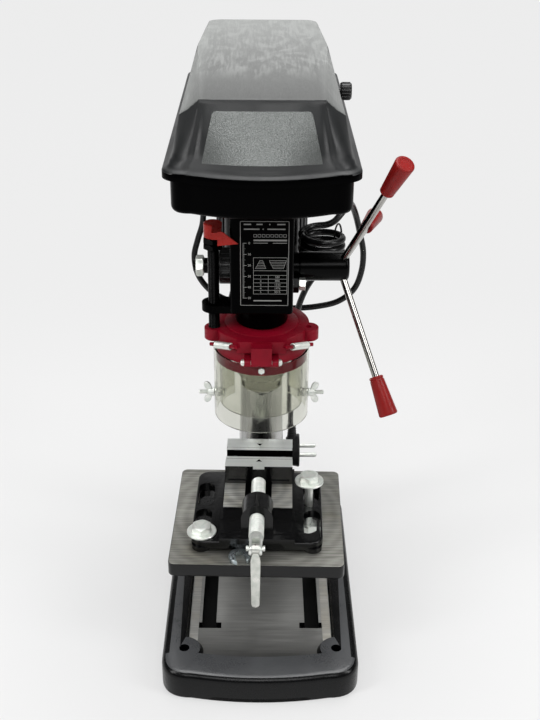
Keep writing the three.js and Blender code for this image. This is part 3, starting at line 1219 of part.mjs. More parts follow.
function switchBoxPart() {
  const s = switchBox;
  const x2 = switchRight();
  const x1 = x2 - s.width;
  const y1 = drive.centre - s.depth / 2;
  const y2 = drive.centre + s.depth / 2;
  const shape = roundedRectangle(x1, x2, y1, y2, s.edge);
  const middle = (s.bottom + s.top) / 2;
  const pocket = block(x1 - overrun, x1 + s.rockerDepth + s.rockerSwing,
    drive.centre - s.rockerWidth / 2 - gap,
    drive.centre + s.rockerWidth / 2 + gap, middle - s.rockerHeight / 2 - gap,
      middle + s.rockerHeight / 2 + gap);
  const gland = bar(s.glandEnd, 'z', s.bottom - s.glandLength, s.bottom + overrun,
    [(x1 + x2) / 2, drive.centre, 0], smallSides, s.glandRadius);
  return join(cut(slab(shape, s.bottom, s.top, 3), pocket), gland);
}

function switchRocker() {
  const s = switchBox;
  const x1 = switchRight() - s.width;
  const middle = (s.bottom + s.top) / 2;
  const half = s.rockerHeight / 2 - gap;
  const shape = new THREE.Shape();
  shape.moveTo(x1 + s.rockerDepth - gap, middle - half * s.rockerFoot);
  shape.lineTo(x1 + s.rockerDepth - gap, middle + half * s.rockerFoot);
  shape.lineTo(x1, middle + half).lineTo(x1 - s.rockerProud, middle + half * s.rockerCrest);
  shape.lineTo(x1 - s.rockerProud / 3, middle).lineTo(x1 - s.rockerProud, middle - half * s.rockerCrest);
  shape.lineTo(x1, middle - half);
  const halfWidth = s.rockerWidth / 2;
  return slab(shape, -halfWidth, halfWidth).rotateX(Math.PI / 2).translate(0, drive.centre, 0);
}

// Cord: one mains lead, tied up for storage

const cordLoopRoute = [
  [-61.3, 198, 357.6], [-61.6, 198, 350], [-63, 198, 338], [-68, 197, 322], [-72, 195, 304], [-68, 192,
    283],
  [-54, 188, 266], [-30, 184, 255], [0, 180, 250.5], [30, 177, 251.5], [58, 175, 254.5], [82, 175, 261],
  [98, 175, 275], [105, 175, 295], [106, 174, 317], [101, 169, 341], [95, 159, 364], [89, 145, 380],
  [84, 130, 386], [78, 114, 383], [69, 105.5, 376], [61.5, 104.1, 373.4], [57.7, 104, 373.1],
];
const cordTailRoute = [
  [76.5, 84.4, 353.8], [76.6, 88, 353.4], [75.5, 98, 349], [69, 112, 336], [57, 128, 315], [45, 139, 290],
  [37, 144, 262], [34.4, 145, 232], [34, 145, 195], [34, 145, 160], [34, 145, 138], [34, 145, 127.2],
];
const hank = { x: 57, y: 84, z: 373, radiusX: 19.5, radiusY: 20, turns: 2.75, spacing: 0.6 };

/** The hank: nearly round turns that lie one under another, from its top turn down. */
function hankPoints() {
  const count = Math.round(hank.turns * cord.hankSteps);
  return Array.from({ length: count + 1 }, (_, i) => {
    const turn = i / cord.hankSteps;
    const angle = Math.PI / 2 + turn * Math.PI * 2;
    return [
      hank.x + hank.radiusX * Math.cos(angle),
      hank.y + hank.radiusY * Math.sin(angle),
      hank.z - turn * (cord.radius * 2 + hank.spacing),
    ];
  });
}

function plugPart() {
  const p = plug;
  const back = p.faceX - p.thickness;
  const disc = bar(p.radius - overrun, 'x', back, p.faceX, [0, p.y, p.z], roundSides, p.radius);
  const stem = bar(p.reliefRadius, 'z', p.z, p.z + p.radius + p.reliefLength, [p.stemX, p.y, 0],
    smallSides, cord.radius + gap);
  const pins = [-1, 1].map((side) => bar(p.pinRadius, 'x', p.faceX - overrun, p.faceX + p.pinLength,
    [0, p.y + (side * p.pinSpacing) / 2, p.z], smallSides));
  return join(disc, stem, ...pins);
}

// Assembly

addPart(model, 'base_casting', 'blackCasting', baseCasting());
addPart(model, 'column', 'brightSteel', columnTube());

const swungTable = new THREE.Group();
swungTable.position.set(0, column.y, 0);
swungTable.rotation.z = THREE.MathUtils.degToRad(swing.degrees);
const squareTable = new THREE.Group();
squareTable.position.set(0, -column.y, 0);
swungTable.add(squareTable);
model.add(swungTable);
addPart(squareTable, 'table_top', 'machinedIron', tablePlate());
addPart(squareTable, 'table_bracket', 'blackCasting', tableBracket());
addPart(squareTable, 'table_tilt_bolt', 'zinc', tableTiltBolt());
addPart(squareTable, 'table_lock_lever', 'blackOxide', tableLockLever());

const viseGroup = new THREE.Group();
viseGroup.position.z = table.top;
squareTable.add(viseGroup);
addPart(viseGroup, 'vise_body', 'blackCasting', viseBody());
addPart(viseGroup, 'vise_fixed_jaw_plate', 'blackOxide',
  jawPlate(vise.fixedFront, vise.fixedFront + vise.plateThickness - gap, vise.wayTop + gap,
    vise.jawTop, true));
addPart(viseGroup, 'vise_moving_jaw', 'blackCasting', viseMovingJaw());
const movingFace = movingJaw.front + movingJaw.casting + gap;
addPart(viseGroup, 'vise_moving_jaw_plate', 'blackOxide',
  jawPlate(movingFace, movingFace + movingJaw.plateThickness - gap, vise.wayTop + gap, vise.jawTop, false));
addPart(viseGroup, 'vise_screw', 'zinc', viseScrewPart());
addPart(viseGroup, 'vise_handle', 'zinc', viseHandlePart());
addPart(viseGroup, 'vise_bolt_left', 'zinc', viseClampBolt(-vise.slotX, viseBolt.leftY, viseBolt.leftLift));
addPart(viseGroup, 'vise_bolt_right', 'zinc', viseClampBolt(vise.slotX - viseBolt.rightShift,
  viseBolt.rightY, viseBolt.rightLift));

addPart(model, 'head_casting', 'blackCasting', headCasting());
addPart(model, 'feed_shaft', 'blackOxide', feedShaft());
armPlacements().forEach((placement, i) => {
  addPart(model, `feed_arm_${i + 1}`, 'brightSteel', feedArmPart(placement));
  addPart(model, `feed_grip_${i + 1}`, 'redGrip', feedGrip(placement));
});
addPart(model, 'return_spring_cap', 'blackPlastic', returnSpringCap());
addPart(model, 'spring_cap_nut', 'zinc', springCapNut());
addPart(model, 'quill_lock_bolt', 'zinc', quillLockBolt());
addPart(model, 'quill_lock_nut', 'blackOxide', quillLockNut());
addPart(model, 'quill', 'brightSteel', quillTube());
addPart(model, 'quill_bearing_lower', 'brightSteel', quillBearing());
addPart(model, 'spindle', 'brightSteel', spindleShaft());
addPart(model, 'chuck_body', 'brightSteel', chuckBody());
addPart(model, 'chuck_sleeve', 'brightSteel', chuckSleeve());
for (let i = 0; i < jaw.count; i += 1) addPart(model, `chuck_jaw_${i + 1}`, 'brightSteel', chuckJaw(i));
addPart(model, 'depth_rod', 'blackOxide', depthRod());
addPart(model, 'depth_stop_nuts', 'blackOxide', depthStopNuts());
addPart(model, 'depth_pointer', 'redGrip', depthPointer());
addPart(model, 'quill_collar', 'redGuard', quillCollar());
addPart(model, 'guard_band', 'redGuard', guardBand());
addPart(model, 'guard_hinge_pin', 'zinc', guardHingePin());
addPart(model, 'guard_upper_shell', 'clearShell', guardUpperShell());
addPart(model, 'guard_lower_shell', 'clearShell', guardLowerShell());
addPart(model, 'wing_screw_left', 'zinc', wingScrew(-1));
addPart(model, 'wing_screw_right', 'zinc', wingScrew(1));
springLines().forEach((line, i) => {
  const points = springPoints(line, i ? 1 : -1);
  addPart(model, i ? 'guard_spring_right' : 'guard_spring_left', 'zinc',
    woundTube(points, guardSpring.wire / 2, guardSpring.sides));
  console.log('guard spring least gap', leastGap(points, guardSpring.wire / 2, guardSpring.steps / 2)
    .toFixed(2));
});

addPart(model, 'pulley_case', 'blackPlastic', pulleyCase());
addPart(model, 'pulley_cover', 'blackPlastic', pulleyCover());
addPart(model, 'cover_knob', 'blackPlastic', coverKnob());
addPart(model, 'spindle_pulley', 'aluminium', spindlePulley());
addPart(model, 'motor_pulley', 'aluminium', motorPulley());
addPart(model, 'v_belt', 'rubber', vBelt());
addPart(model, 'motor_body', 'greyPaint', motorBody());
addPart(model, 'motor_shaft', 'brightSteel', motorShaft());
addPart(model, 'switch_box', 'blackPlastic', switchBoxPart());
addPart(model, 'switch_rocker', 'redGrip', switchRocker());

addPart(model, 'cord_loop', 'rubber', tube(cordLoopRoute, cord.radius, 34, cord.sides));
const hankPath = hankPoints();
addPart(model, 'cord_hank', 'rubber', woundTube(hankPath, cord.radius, cord.hankSides));
console.log('cord hank least gap', leastGap(hankPath, cord.radius, cord.hankSteps / 2).toFixed(2));
console.log('hank starts', hankPath[0], 'and ends', hankPath[hankPath.length - 1]);
addPart(model, 'cord_tail', 'rubber', tube(cordTailRoute, cord.radius, 16, cord.sides));
addPart(model, 'plug', 'rubber', plugPart());

export default model;
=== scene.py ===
"""A benchtop drill press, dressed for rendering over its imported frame."""
import json
import logging
from dataclasses import dataclass
from enum import Enum
from math import asin, cos, exp, hypot, pi, radians, sin, sqrt
from typing import Callable, Iterable, Sequence

import bmesh
import bpy
from mathutils import Matrix, Vector

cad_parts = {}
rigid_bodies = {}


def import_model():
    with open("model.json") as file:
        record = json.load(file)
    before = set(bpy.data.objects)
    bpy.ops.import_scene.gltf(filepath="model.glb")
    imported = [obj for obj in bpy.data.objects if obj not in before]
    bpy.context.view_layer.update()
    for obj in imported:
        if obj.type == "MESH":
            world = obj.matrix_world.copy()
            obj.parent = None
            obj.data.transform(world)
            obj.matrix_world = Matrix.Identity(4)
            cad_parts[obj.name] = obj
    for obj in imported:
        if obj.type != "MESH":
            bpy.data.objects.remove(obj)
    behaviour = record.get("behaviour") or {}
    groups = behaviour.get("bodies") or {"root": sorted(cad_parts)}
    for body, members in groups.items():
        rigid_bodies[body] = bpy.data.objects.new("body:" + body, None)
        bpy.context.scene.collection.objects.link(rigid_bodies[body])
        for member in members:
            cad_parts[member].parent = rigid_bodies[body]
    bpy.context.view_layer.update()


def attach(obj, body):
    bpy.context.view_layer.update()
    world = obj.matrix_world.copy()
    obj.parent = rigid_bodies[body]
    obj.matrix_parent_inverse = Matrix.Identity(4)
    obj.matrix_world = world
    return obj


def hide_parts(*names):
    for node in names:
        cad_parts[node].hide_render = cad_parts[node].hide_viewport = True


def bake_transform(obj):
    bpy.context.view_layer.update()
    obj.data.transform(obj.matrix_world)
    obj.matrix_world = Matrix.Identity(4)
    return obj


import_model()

MM = 0.001
GAP = 0.3
LOG = logging.getLogger("drill_press")
# Stands an outline of Y and Z up, and pushes it out along X.
ACROSS = Matrix(((0, 0, 1, 0), (1, 0, 0, 0), (0, 1, 0, 0), (0, 0, 0, 1)))

Row = Sequence[float]
Outline = list[tuple[float, float]]
Colour = tuple[float, float, float]
FaceTest = Callable[[Vector, Vector], bool]


class Axis(Enum):
    """The axis that a round piece lies along."""

    X = "X"
    Y = "Y"
    Z = "Z"


X, Y, Z = Axis


class Join(Enum):
    """How two solids are combined."""

    ADD = "UNION"
    CUT = "DIFFERENCE"
    KEEP = "INTERSECT"


class Side(Enum):
    """The machine's left and right side, seen by its operator."""

    LEFT = -1
    RIGHT = 1


# Shapes


class Solid:
    """A closed shape, measured in millimetres, that can be cut, joined and moved."""

    def __init__(self, mesh: bpy.types.Mesh) -> None:
        """Keeps the mesh that holds the shape."""
        self.mesh = mesh

    @classmethod
    def of(cls, points: Iterable[Row], faces: Iterable[Sequence[int]]) -> "Solid":
        """Builds a solid from its corners and faces.

        Args:
            points: The corners in millimetres.
            faces: The corner numbers of each face, counter-clockwise seen from outside.

        Returns:
            The solid.
        """
        mesh = bpy.data.meshes.new("shape")
        mesh.from_pydata([[c * MM for c in p] for p in points], [], [list(f) for f in faces])
        return cls(mesh)

    def _with(self, how: Join, others: Sequence["Solid"]) -> "Solid":
        """Combines this solid with others.

        Args:
            how: Whether the others are added, cut away or kept in common.
            others: The other solids.

        Returns:
            The new solid.
        """
        shelf = bpy.context.scene.collection.objects
        base = bpy.data.objects.new("base", self.mesh)
        shelf.link(base)
        tools = []
        for other in others:
            tool = bpy.data.objects.new("tool", other.mesh)
            shelf.link(tool)
            step = base.modifiers.new("step", "BOOLEAN")
            step.object, step.operation, step.solver = tool, how.value, "MANIFOLD"
            tools.append(tool)
        graph = bpy.context.evaluated_depsgraph_get()
        mesh = bpy.data.meshes.new_from_object(base.evaluated_get(graph), depsgraph=graph)
        for used in (base, *tools):
            bpy.data.objects.remove(used)
        return Solid(mesh)

    def cut(self, *others: "Solid") -> "Solid":
        """Returns this solid with the others cut away."""
        return self._with(Join.CUT, others)

    def add(self, *others: "Solid") -> "Solid":
        """Returns this solid joined with the others."""
        return self._with(Join.ADD, others)

    def keep(self, *others: "Solid") -> "Solid":
        """Returns what this solid and the others have in common."""
        return self._with(Join.KEEP, others)

    def placed(self, matrix: Matrix) -> "Solid":
        """Moves the solid by a matrix in metres and returns it."""
        self.mesh.transform(matrix)
        if matrix.determinant() < 0:
            self.mesh.flip_normals()
        return self

    def moved(self, x: float = 0, y: float = 0, z: float = 0) -> "Solid":
        """Moves the solid by millimetres and returns it."""
        return self.placed(Matrix.Translation(Vector((x, y, z)) * MM))

    def turned(self, axis: Axis, degrees: float) -> "Solid":
        """Turns the solid about an axis through the origin and returns it."""
        return self.placed(Matrix.Rotation(radians(degrees), 4, axis.value))

    def mirrored(self) -> "Solid":
        """Turns the solid into its mirror image, left for right, and returns it."""
        return self.placed(Matrix.Diagonal((-1, 1, 1, 1)))


def arc(cx: float, cy: float, radius: float, first: float, last: float, steps: int = 8) -> Outline:
    """Lists points on an arc.

    Args:
        cx: The centre's first coordinate.
        cy: The centre's second coordinate.
        radius: The arc's radius.
        first: The angle of its first point, in degrees.
        last: The angle of its last point, in degrees.
        steps: How many steps lie between them.

    Returns:
        The points.
    """
    angles = [radians(first + (last - first) * i / steps) for i in range(steps + 1)]
    return [(cx + radius * cos(a), cy + radius * sin(a)) for a in angles]


def around(radius: float, count: int) -> Outline:
    """Returns evenly spaced points round the origin."""
    return arc(0, 0, radius, 0, 360 - 360 / count, count - 1)


def rounded_rectangle(x1: float, x2: float, y1: float, y2: float, radius: float, steps: int = 8) -> Outline:
    """Returns a rectangle's outline with rounded corners."""
    return [*arc(x2 - radius, y1 + radius, radius, -90, 0, steps),
            *arc(x2 - radius, y2 - radius, radius, 0, 90, steps),
            *arc(x1 + radius, y2 - radius, radius, 90, 180, steps),
            *arc(x1 + radius, y1 + radius, radius, 180, 270, steps)]


def slot_outline(x: float, width: float, y1: float, y2: float) -> Outline:
    """Returns the outline of a slot with round ends that runs along Y."""
    return rounded_rectangle(x - width / 2, x + width / 2, y1, y2, width / 2 - 1e-3, 12)


def curve(a: tuple[float, float], b: tuple[float, float], c: tuple[float, float], steps: int) -> Outline:
    """Returns points on a curve from a to c that is pulled towards b."""
    share = [i / steps for i in range(steps)]
    return [tuple((1 - t) ** 2 * p + 2 * t * (1 - t) * q + t * t * r for p, q,
                  r in zip(a, b, c)) for t in share]


def bulged_outline(half: float, front: float, back: float, bulge: float, radius: float) -> Outline:
    """Returns a rectangle's outline whose front edge bulges towards the operator."""
    side = front + bulge
    return [*curve((-half + radius, side), (0, front - bulge), (half - radius, side), 24),
            *curve((half - radius, side), (half, side), (half, side + radius), 10),
            *curve((half, back - radius), (half, back), (half - radius, back), 10),
            *curve((-half + radius, back), (-half, back), (-half, back - radius), 10),
            *curve((-half, side + radius), (-half, side), (-half + radius, side), 10)]


def inset(outline: Outline, depth: float) -> Outline:
    """Moves an outline's edges inwards.

    Args:
        outline: The points, counter-clockwise.
        depth: How far the edges move.

    Returns:
        As many points as before.
    """
    points = [Vector(p) for p in outline]
    count = len(points)
    moved = []
    for i, point in enumerate(points):
        before = (point - points[i - 1]).normalized()
        after = (points[(i + 1) % count] - point).normalized()
        normal = Vector((-before.y - after.y, before.x + after.x))
        normal = normal.normalized() if normal.length > 1e-6 else Vector((-after.y, after.x))
        lean = max(0.35, normal.dot(Vector((-after.y, after.x))))
        moved.append(tuple(point + normal * depth / lean))
    return moved


def loft(loops: Sequence[Sequence[Row]]) -> Solid:
    """Joins closed loops of equally many points into a solid with flat ends."""
    count = len(loops[0])
    points = [p for loop in loops for p in loop]
    faces = [[i * count + k, i * count + (k + 1) % count, (i + 1) * count + (k + 1) % count,
              (i + 1) * count + k] for i in range(len(loops) - 1) for k in range(count)]
    last = (len(loops) - 1) * count
    return Solid.of(points, [*faces, range(count - 1, -1, -1), range(last, last + count)])


def slab(outline: Outline, z1: float, z2: float, top: float = 0, bottom: float = 0) -> Solid:
    """Pushes an outline up between two heights.

    Args:
        outline: The points, counter-clockwise.
        z1: The lower height.
        z2: The upper height.
        top: The radius of the rounded upper edge.
        bottom: The radius of the rounded lower edge.

    Returns:
        The solid.
    """
    steps = 6
    bends = [radians(90 * i / steps) for i in range(steps + 1)]
    low = [(bottom * (1 - sin(a)), z1 + bottom * (1 - cos(a))) for a in bends] if bottom else [(0, z1)]
    high = [(top * (1 - cos(a)), z2 - top * (1 - sin(a))) for a in bends] if top else [(0, z2)]
    return loft([[(x, y, z) for x, y in (inset(outline, d) if d else outline)] for d, z in (*low, *high)])


def block(x1: float, x2: float, y1: float, y2: float, z1: float, z2: float) -> Solid:
    """Returns a block between two corners."""
    return slab([(x1, y1), (x2, y1), (x2, y2), (x1, y2)], z1, z2)


def turned(profile: Sequence[tuple[float, float]], sides: int = 64, axis: Axis = Z, at: Row = (0, 0, 0),
           first: float = 0) -> Solid:
    """Turns a profile about an axis.

    Args:
        profile: Radius and height pairs from the axis up to the axis, or a closed loop clear of it.
        sides: The number of facets.
        axis: The axis that it is turned about.
        at: The point that its origin moves to.
        first: The angle of the first facet's edge, in degrees.

    Returns:
        The solid.
    """
    rings = [p for p in profile if p[0] > 1e-9]
    angles = [radians(first) + 2 * pi * k / sides for k in range(sides)]
    points = [(r * cos(a), r * sin(a), z) for r, z in rings for a in angles]
    closed = len(rings) == len(profile)
    pairs = len(rings) if closed else len(rings) - 1
    count = len(rings)
    faces = [[i * sides + k, i * sides + (k + 1) % sides, (i + 1) % count * sides + (k + 1) % sides,
              (i + 1) % count * sides + k] for i in range(pairs) for k in range(sides)]
    if not closed:
        last = (count - 1) * sides
        faces += [list(range(sides - 1, -1, -1)), list(range(last, last + sides))]
    return laid(Solid.of(points, faces), axis).moved(*at)


def ring(outer: float, inner: float, z1: float, z2: float, edge: float = 0, sides: int = 96) -> Solid:
    """Returns a ring about Z with a rectangular section and broken edges."""
    return turned([(inner, z1), (outer - edge, z1), (outer, z1 + edge), (outer, z2 - edge), (outer - edge, z2),
                   (inner, z2)] if edge else [(inner, z1), (outer, z1), (outer, z2), (inner, z2)], sides)


def laid(shape: Solid, axis: Axis) -> Solid:
    """Lays a shape that stands along Z onto another axis."""
    return shape.turned(Y, 90) if axis is X else shape.turned(X, -90) if axis is Y else shape


def bar(radius: float, axis: Axis, start: float, end: float, at: Row = (0, 0, 0), sides: int = 48,
        end_radius: float | None = None) -> Solid:
    """Returns a round bar along an axis.

    Args:
        radius: The radius at its start.
        axis: The axis that it lies along.
        start: Its first coordinate on that axis.
        end: Its last coordinate on that axis.
        at: The point that it is centred on.
        sides: The number of facets.
        end_radius: The radius at its end, where that differs.

    Returns:
        The solid.
    """
    last = radius if end_radius is None else end_radius
    return turned([(0, start), (radius, start), (last, end), (0, end)], sides, axis, at)


def hexagon(across: float, axis: Axis, start: float, end: float, at: Row = (0, 0, 0),
            domed: int = 0) -> Solid:
    """Returns a hexagonal bar with turned-down corners, as a nut or a bolt head.

    Args:
        across: The width across its flats.
        axis: The axis that it lies along.
        start: Its first coordinate on that axis.
        end: Its last coordinate on that axis.
        at: The point that it is centred on.
        domed: Which ends have broken corners: 1 the last one, 2 both.

    Returns:
        The solid.
    """
    corner, chamfer = across / sqrt(3), across * 0.05
    flat = across / 2 * 0.97
    low = [(flat, start), (corner, start + chamfer)] if domed == 2 else [(corner, start)]
    high = [(corner, end - chamfer), (flat, end)] if domed else [(corner, end)]
    prism = turned([(0, start), (corner, start), (corner, end), (0, end)], 6, first=30)
    return laid(prism.keep(turned([(0, start - 1e-3), *low, *high, (0, end + 1e-3)], 48)), axis).moved(*at)


def along(shape: Solid, start: Row, direction: Vector) -> Solid:
    """Lays a shape that stands along Z onto a line through a point."""
    turn = Vector((0, 0, 1)).rotation_difference(direction).to_matrix().to_4x4()
    return shape.placed(Matrix.Translation(Vector(start) * MM) @ turn)


def rod(start: Row, direction: Vector, first: float, last: float, radius: float, sides: int = 32) -> Solid:
    """Returns a rod along a direction, between two distances from a point."""
    return along(bar(radius, Z, first, last, sides=sides), start, direction)


def smooth_path(points: Sequence[Row], step: float) -> list[Vector]:
    """Runs a smooth curve through points.

    Args:
        points: The points in millimetres.
        step: The wished distance between the new points.

    Returns:
        The new points, the first and last of them unchanged.
    """
    knots = [Vector(p) for p in points]
    knots = [2 * knots[0] - knots[1], *knots, 2 * knots[-1] - knots[-2]]
    path = []
    for a, b, c, d in zip(knots, knots[1:], knots[2:], knots[3:]):
        times = [0.0]
        for p, q in ((a, b), (b, c), (c, d)):
            times.append(times[-1] + max((q - p).length, 1e-6) ** 0.5)
        t0, t1, t2, t3 = times
        parts = max(1, round((c - b).length / step))
        for i in range(parts):
            t = t1 + (t2 - t1) * i / parts
            ab, bc, cd = (a.lerp(b, (t - t0) / (t1 - t0)), b.lerp(c, (t - t1) / (t2 - t1)),
                          c.lerp(d, (t - t2) / (t3 - t2)))
            path.append(ab.lerp(bc,
                                (t - t0) / (t2 - t0)).lerp(bc.lerp(cd, (t - t1) / (t3 - t1)),
                                                           (t - t1) / (t2 - t1)))
    return [*path, Vector(points[-1])]


def tube(path: Sequence[Vector], radius: float, sides: int = 16) -> Solid:
    """Returns a round tube along close points, with its ends square to the path."""
    loops = []
    normal = None
    for i, point in enumerate(path):
        tangent = (path[min(i + 1, len(path) - 1)] - path[max(i - 1, 0)]).normalized()
        if normal is None:
            normal = Vector((0, 0, 1)) if abs(tangent.z) < 0.9 else Vector((0, 1, 0))
        normal = (normal - tangent * normal.dot(tangent)).normalized()
        side = tangent.cross(normal)
        loops.append([point + (normal * cos(a) + side * sin(a)) * radius
                      for a in (2 * pi * k / sides for k in range(sides))])
    return loft(loops)


def words(text: str, size: float, at: Row) -> Solid:
    """Writes plain characters upright, centred on a point and read from the front.

    Args:
        text: The characters.
        size: Their height in millimetres.
        at: The point.

    Returns:
        One thin shape.
    """
    letters = bpy.data.curves.new("letters", "FONT")
    letters.body, letters.size, letters.extrude = text, size * 1.38 * MM, 0.05 * MM
    letters.align_x, letters.align_y = "CENTER", "CENTER"
    holder = bpy.data.objects.new("letters", letters)
    bpy.context.scene.collection.objects.link(holder)
    graph = bpy.context.evaluated_depsgraph_get()
    mesh = bpy.data.meshes.new_from_object(holder.evaluated_get(graph), depsgraph=graph)
    bpy.data.objects.remove(holder)
    return Solid(mesh).turned(X, 90).moved(*at)


def gathered(shapes: Sequence[Solid]) -> Solid:
    """Puts separate shapes into one mesh without cutting them."""
    work = bmesh.new()
    for shape in shapes:
        work.from_mesh(shape.mesh)
    mesh = bpy.data.meshes.new("shape")
    work.to_mesh(mesh)
    work.free()
    return Solid(mesh)


# Finishes


class Nodes:
    """A node tree that is built up by short calls."""

    def __init__(self, tree: bpy.types.NodeTree) -> None:
        """Keeps the tree."""
        self.tree = tree

    def add(self, kind: str, **settings: object) -> bpy.types.Node:
        """Adds a node with the given settings."""
        node = self.tree.nodes.new(kind)
        for key, value in settings.items():
            setattr(node, key, value)
        return node

    def feed(self, socket: bpy.types.NodeSocket, value: object) -> None:
        """Links a socket into another, or sets its value."""
        if isinstance(value, bpy.types.NodeSocket):
            self.tree.links.new(value, socket)
        else:
            socket.default_value = value

    def fill(self, node: bpy.types.Node, **values: object) -> None:
        """Feeds a node's sockets by name, with _ for each space."""
        for name, value in values.items():
            self.feed(node.inputs[name.replace("_", " ")], value)

    def ramp(self, value: bpy.types.NodeSocket, low: float, high: float, first: float = 0,
             last: float = 1, way: str = "LINEAR") -> bpy.types.NodeSocket:
        """Maps a value's range onto another one."""
        node = self.add("ShaderNodeMapRange", interpolation_type=way)
        self.fill(node, Value=value, From_Min=low, From_Max=high, To_Min=first, To_Max=last)
        return node.outputs["Result"]

    def sum(self, how: str, first: object, second: object) -> bpy.types.NodeSocket:
        """Does a sum with two values."""
        node = self.add("ShaderNodeMath", operation=how)
        self.feed(node.inputs[0], first)
        self.feed(node.inputs[1], second)
        return node.outputs[0]

    def split(self, source: bpy.types.NodeSocket) -> dict[str, bpy.types.NodeSocket]:
        """Returns the parts of a vector by their letters."""
        node = self.add("ShaderNodeSeparateXYZ")
        self.feed(node.inputs[0], source)
        return {axis: node.outputs[axis] for axis in "XYZ"}

    def seen(self) -> bpy.types.NodeSocket:
        """Returns 1 for what the camera sees, straight or through and off the object, and 0 for light."""
        path = self.add("ShaderNodeLightPath")
        total = path.outputs["Is Camera Ray"]
        for name in ("Is Glossy Ray", "Is Transmission Ray"):
            total = self.sum("MAXIMUM", total, path.outputs[name])
        return total


class Shader(Nodes):
    """A material whose pattern is built up by short calls."""

    def __init__(self, name: str, colour: Colour, roughness: float, metallic: float) -> None:
        """Makes a plain material.

        Args:
            name: The material's name.
            colour: Its linear base colour.
            roughness: How dull it is, from 0 to 1.
            metallic: 1 for bare metal, 0 for anything else.
        """
        self.material = bpy.data.materials.new(name)
        self.material.use_nodes = True
        super().__init__(self.material.node_tree)
        self.surface = self.tree.nodes["Principled BSDF"]
        self.place = self.add("ShaderNodeTexCoord").outputs["Object"]
        self.put("Base Color", (*colour, 1))
        self.put("Roughness", roughness)
        self.put("Metallic", metallic)

    def put(self, name: str, value: object) -> None:
        """Feeds one of the surface's own sockets."""
        self.feed(self.surface.inputs[name], value)

    def spot(self, stretch: Row = (1, 1, 1), degrees: float = 0) -> bpy.types.NodeSocket:
        """Returns the place on the object, stretched and turned about Z."""
        node = self.add("ShaderNodeMapping")
        self.fill(node, Vector=self.place, Scale=tuple(stretch), Rotation=(0, 0, radians(degrees)))
        return node.outputs["Vector"]

    def noise(self, scale: float, detail: float = 3, stretch: Row = (1, 1, 1),
              degrees: float = 0, twist: float = 0) -> bpy.types.NodeSocket:
        """Returns a cloudy value whose grains are 1 / scale metres long, divided by the stretch."""
        node = self.add("ShaderNodeTexNoise")
        self.fill(node, Vector=self.spot(stretch, degrees), Scale=scale, Detail=detail, Distortion=twist)
        return node.outputs["Fac"]

    def swirls(self, scale: float, twist: float) -> bpy.types.NodeSocket:
        """Returns twisted rings about Z."""
        node = self.add("ShaderNodeTexWave", wave_type="RINGS", wave_profile="SIN", rings_direction="Z")
        self.fill(node, Vector=self.spot(), Scale=scale, Distortion=twist, Detail=2, Detail_Scale=1.5)
        return node.outputs["Fac"]

    def mix(self, share: object, first: object, second: object) -> bpy.types.NodeSocket:
        """Mixes two colours."""
        node = self.add("ShaderNodeMix", data_type="RGBA")
        self.feed(node.inputs[0], share)
        for socket, value in ((node.inputs[6], first), (node.inputs[7], second)):
            self.feed(socket, (*value, 1) if isinstance(value, tuple) else value)
        return node.outputs[2]

    def bump(self, height: bpy.types.NodeSocket, depth: float, strength: float = 1) -> None:
        """Raises the surface by a value, as deep as the given metres, over the bumps before it."""
        node = self.add("ShaderNodeBump")
        self.fill(node, Height=height, Distance=depth, Strength=strength)
        normal = self.surface.inputs["Normal"]
        if normal.is_linked:
            self.tree.links.new(normal.links[0].from_socket, node.inputs["Normal"])
        self.feed(normal, node.outputs["Normal"])


@dataclass(frozen=True)
class Finish:
    """A surface finish. Each kind of finish adds its own pattern."""

    name: str
    colour: Colour
    roughness: float
    metallic: float = 0
    shine: float = 0.5

    def material(self) -> bpy.types.Material:
        """Returns this finish's material, which is made on its first use."""
        known = bpy.data.materials.get(self.name)
        if known:
            return known
        shader = Shader(self.name, self.colour, self.roughness, self.metallic)
        shader.put("Specular IOR Level", self.shine)
        self.dress(shader)
        return shader.material

    def shade(self, factor: float) -> Colour:
        """Returns the colour, made lighter or darker."""
        return tuple(min(1.0, c * factor) for c in self.colour)

    def tinged(self, tint: Colour) -> Colour:
        """Returns the colour seen through a tint."""
        return tuple(c * f for c, f in zip(self.colour, tint))

    def dress(self, s: Shader) -> None:
        """Adds the finish's pattern to its material."""
        raise NotImplementedError


@dataclass(frozen=True)
class Enamel(Finish):
    """Paint on a casting: a soft orange peel over the sand's texture, with dust in the hollows."""

    peel: float = 0.00012
    dust: float = 0.35

    def dress(self, s: Shader) -> None:
        """Adds peel, dull patches and specks of dust."""
        patch = s.noise(28, 4)
        s.put("Base Color", s.mix(s.ramp(s.noise(420, 4), 0.62, 0.8, 0, self.dust),
                                  s.mix(patch, self.shade(0.75), self.shade(1.3)), self.shade(3.4)))
        s.put("Roughness", s.ramp(s.sum("ADD", patch, s.ramp(s.noise(900, 2), 0.3, 0.7, -0.1, 0.1)), 0.25, 0.85,
                                  self.roughness * 0.8, self.roughness * 1.3))
        s.bump(s.noise(260, 3), self.peel)
        s.bump(s.noise(1400, 2), self.peel * 0.25)


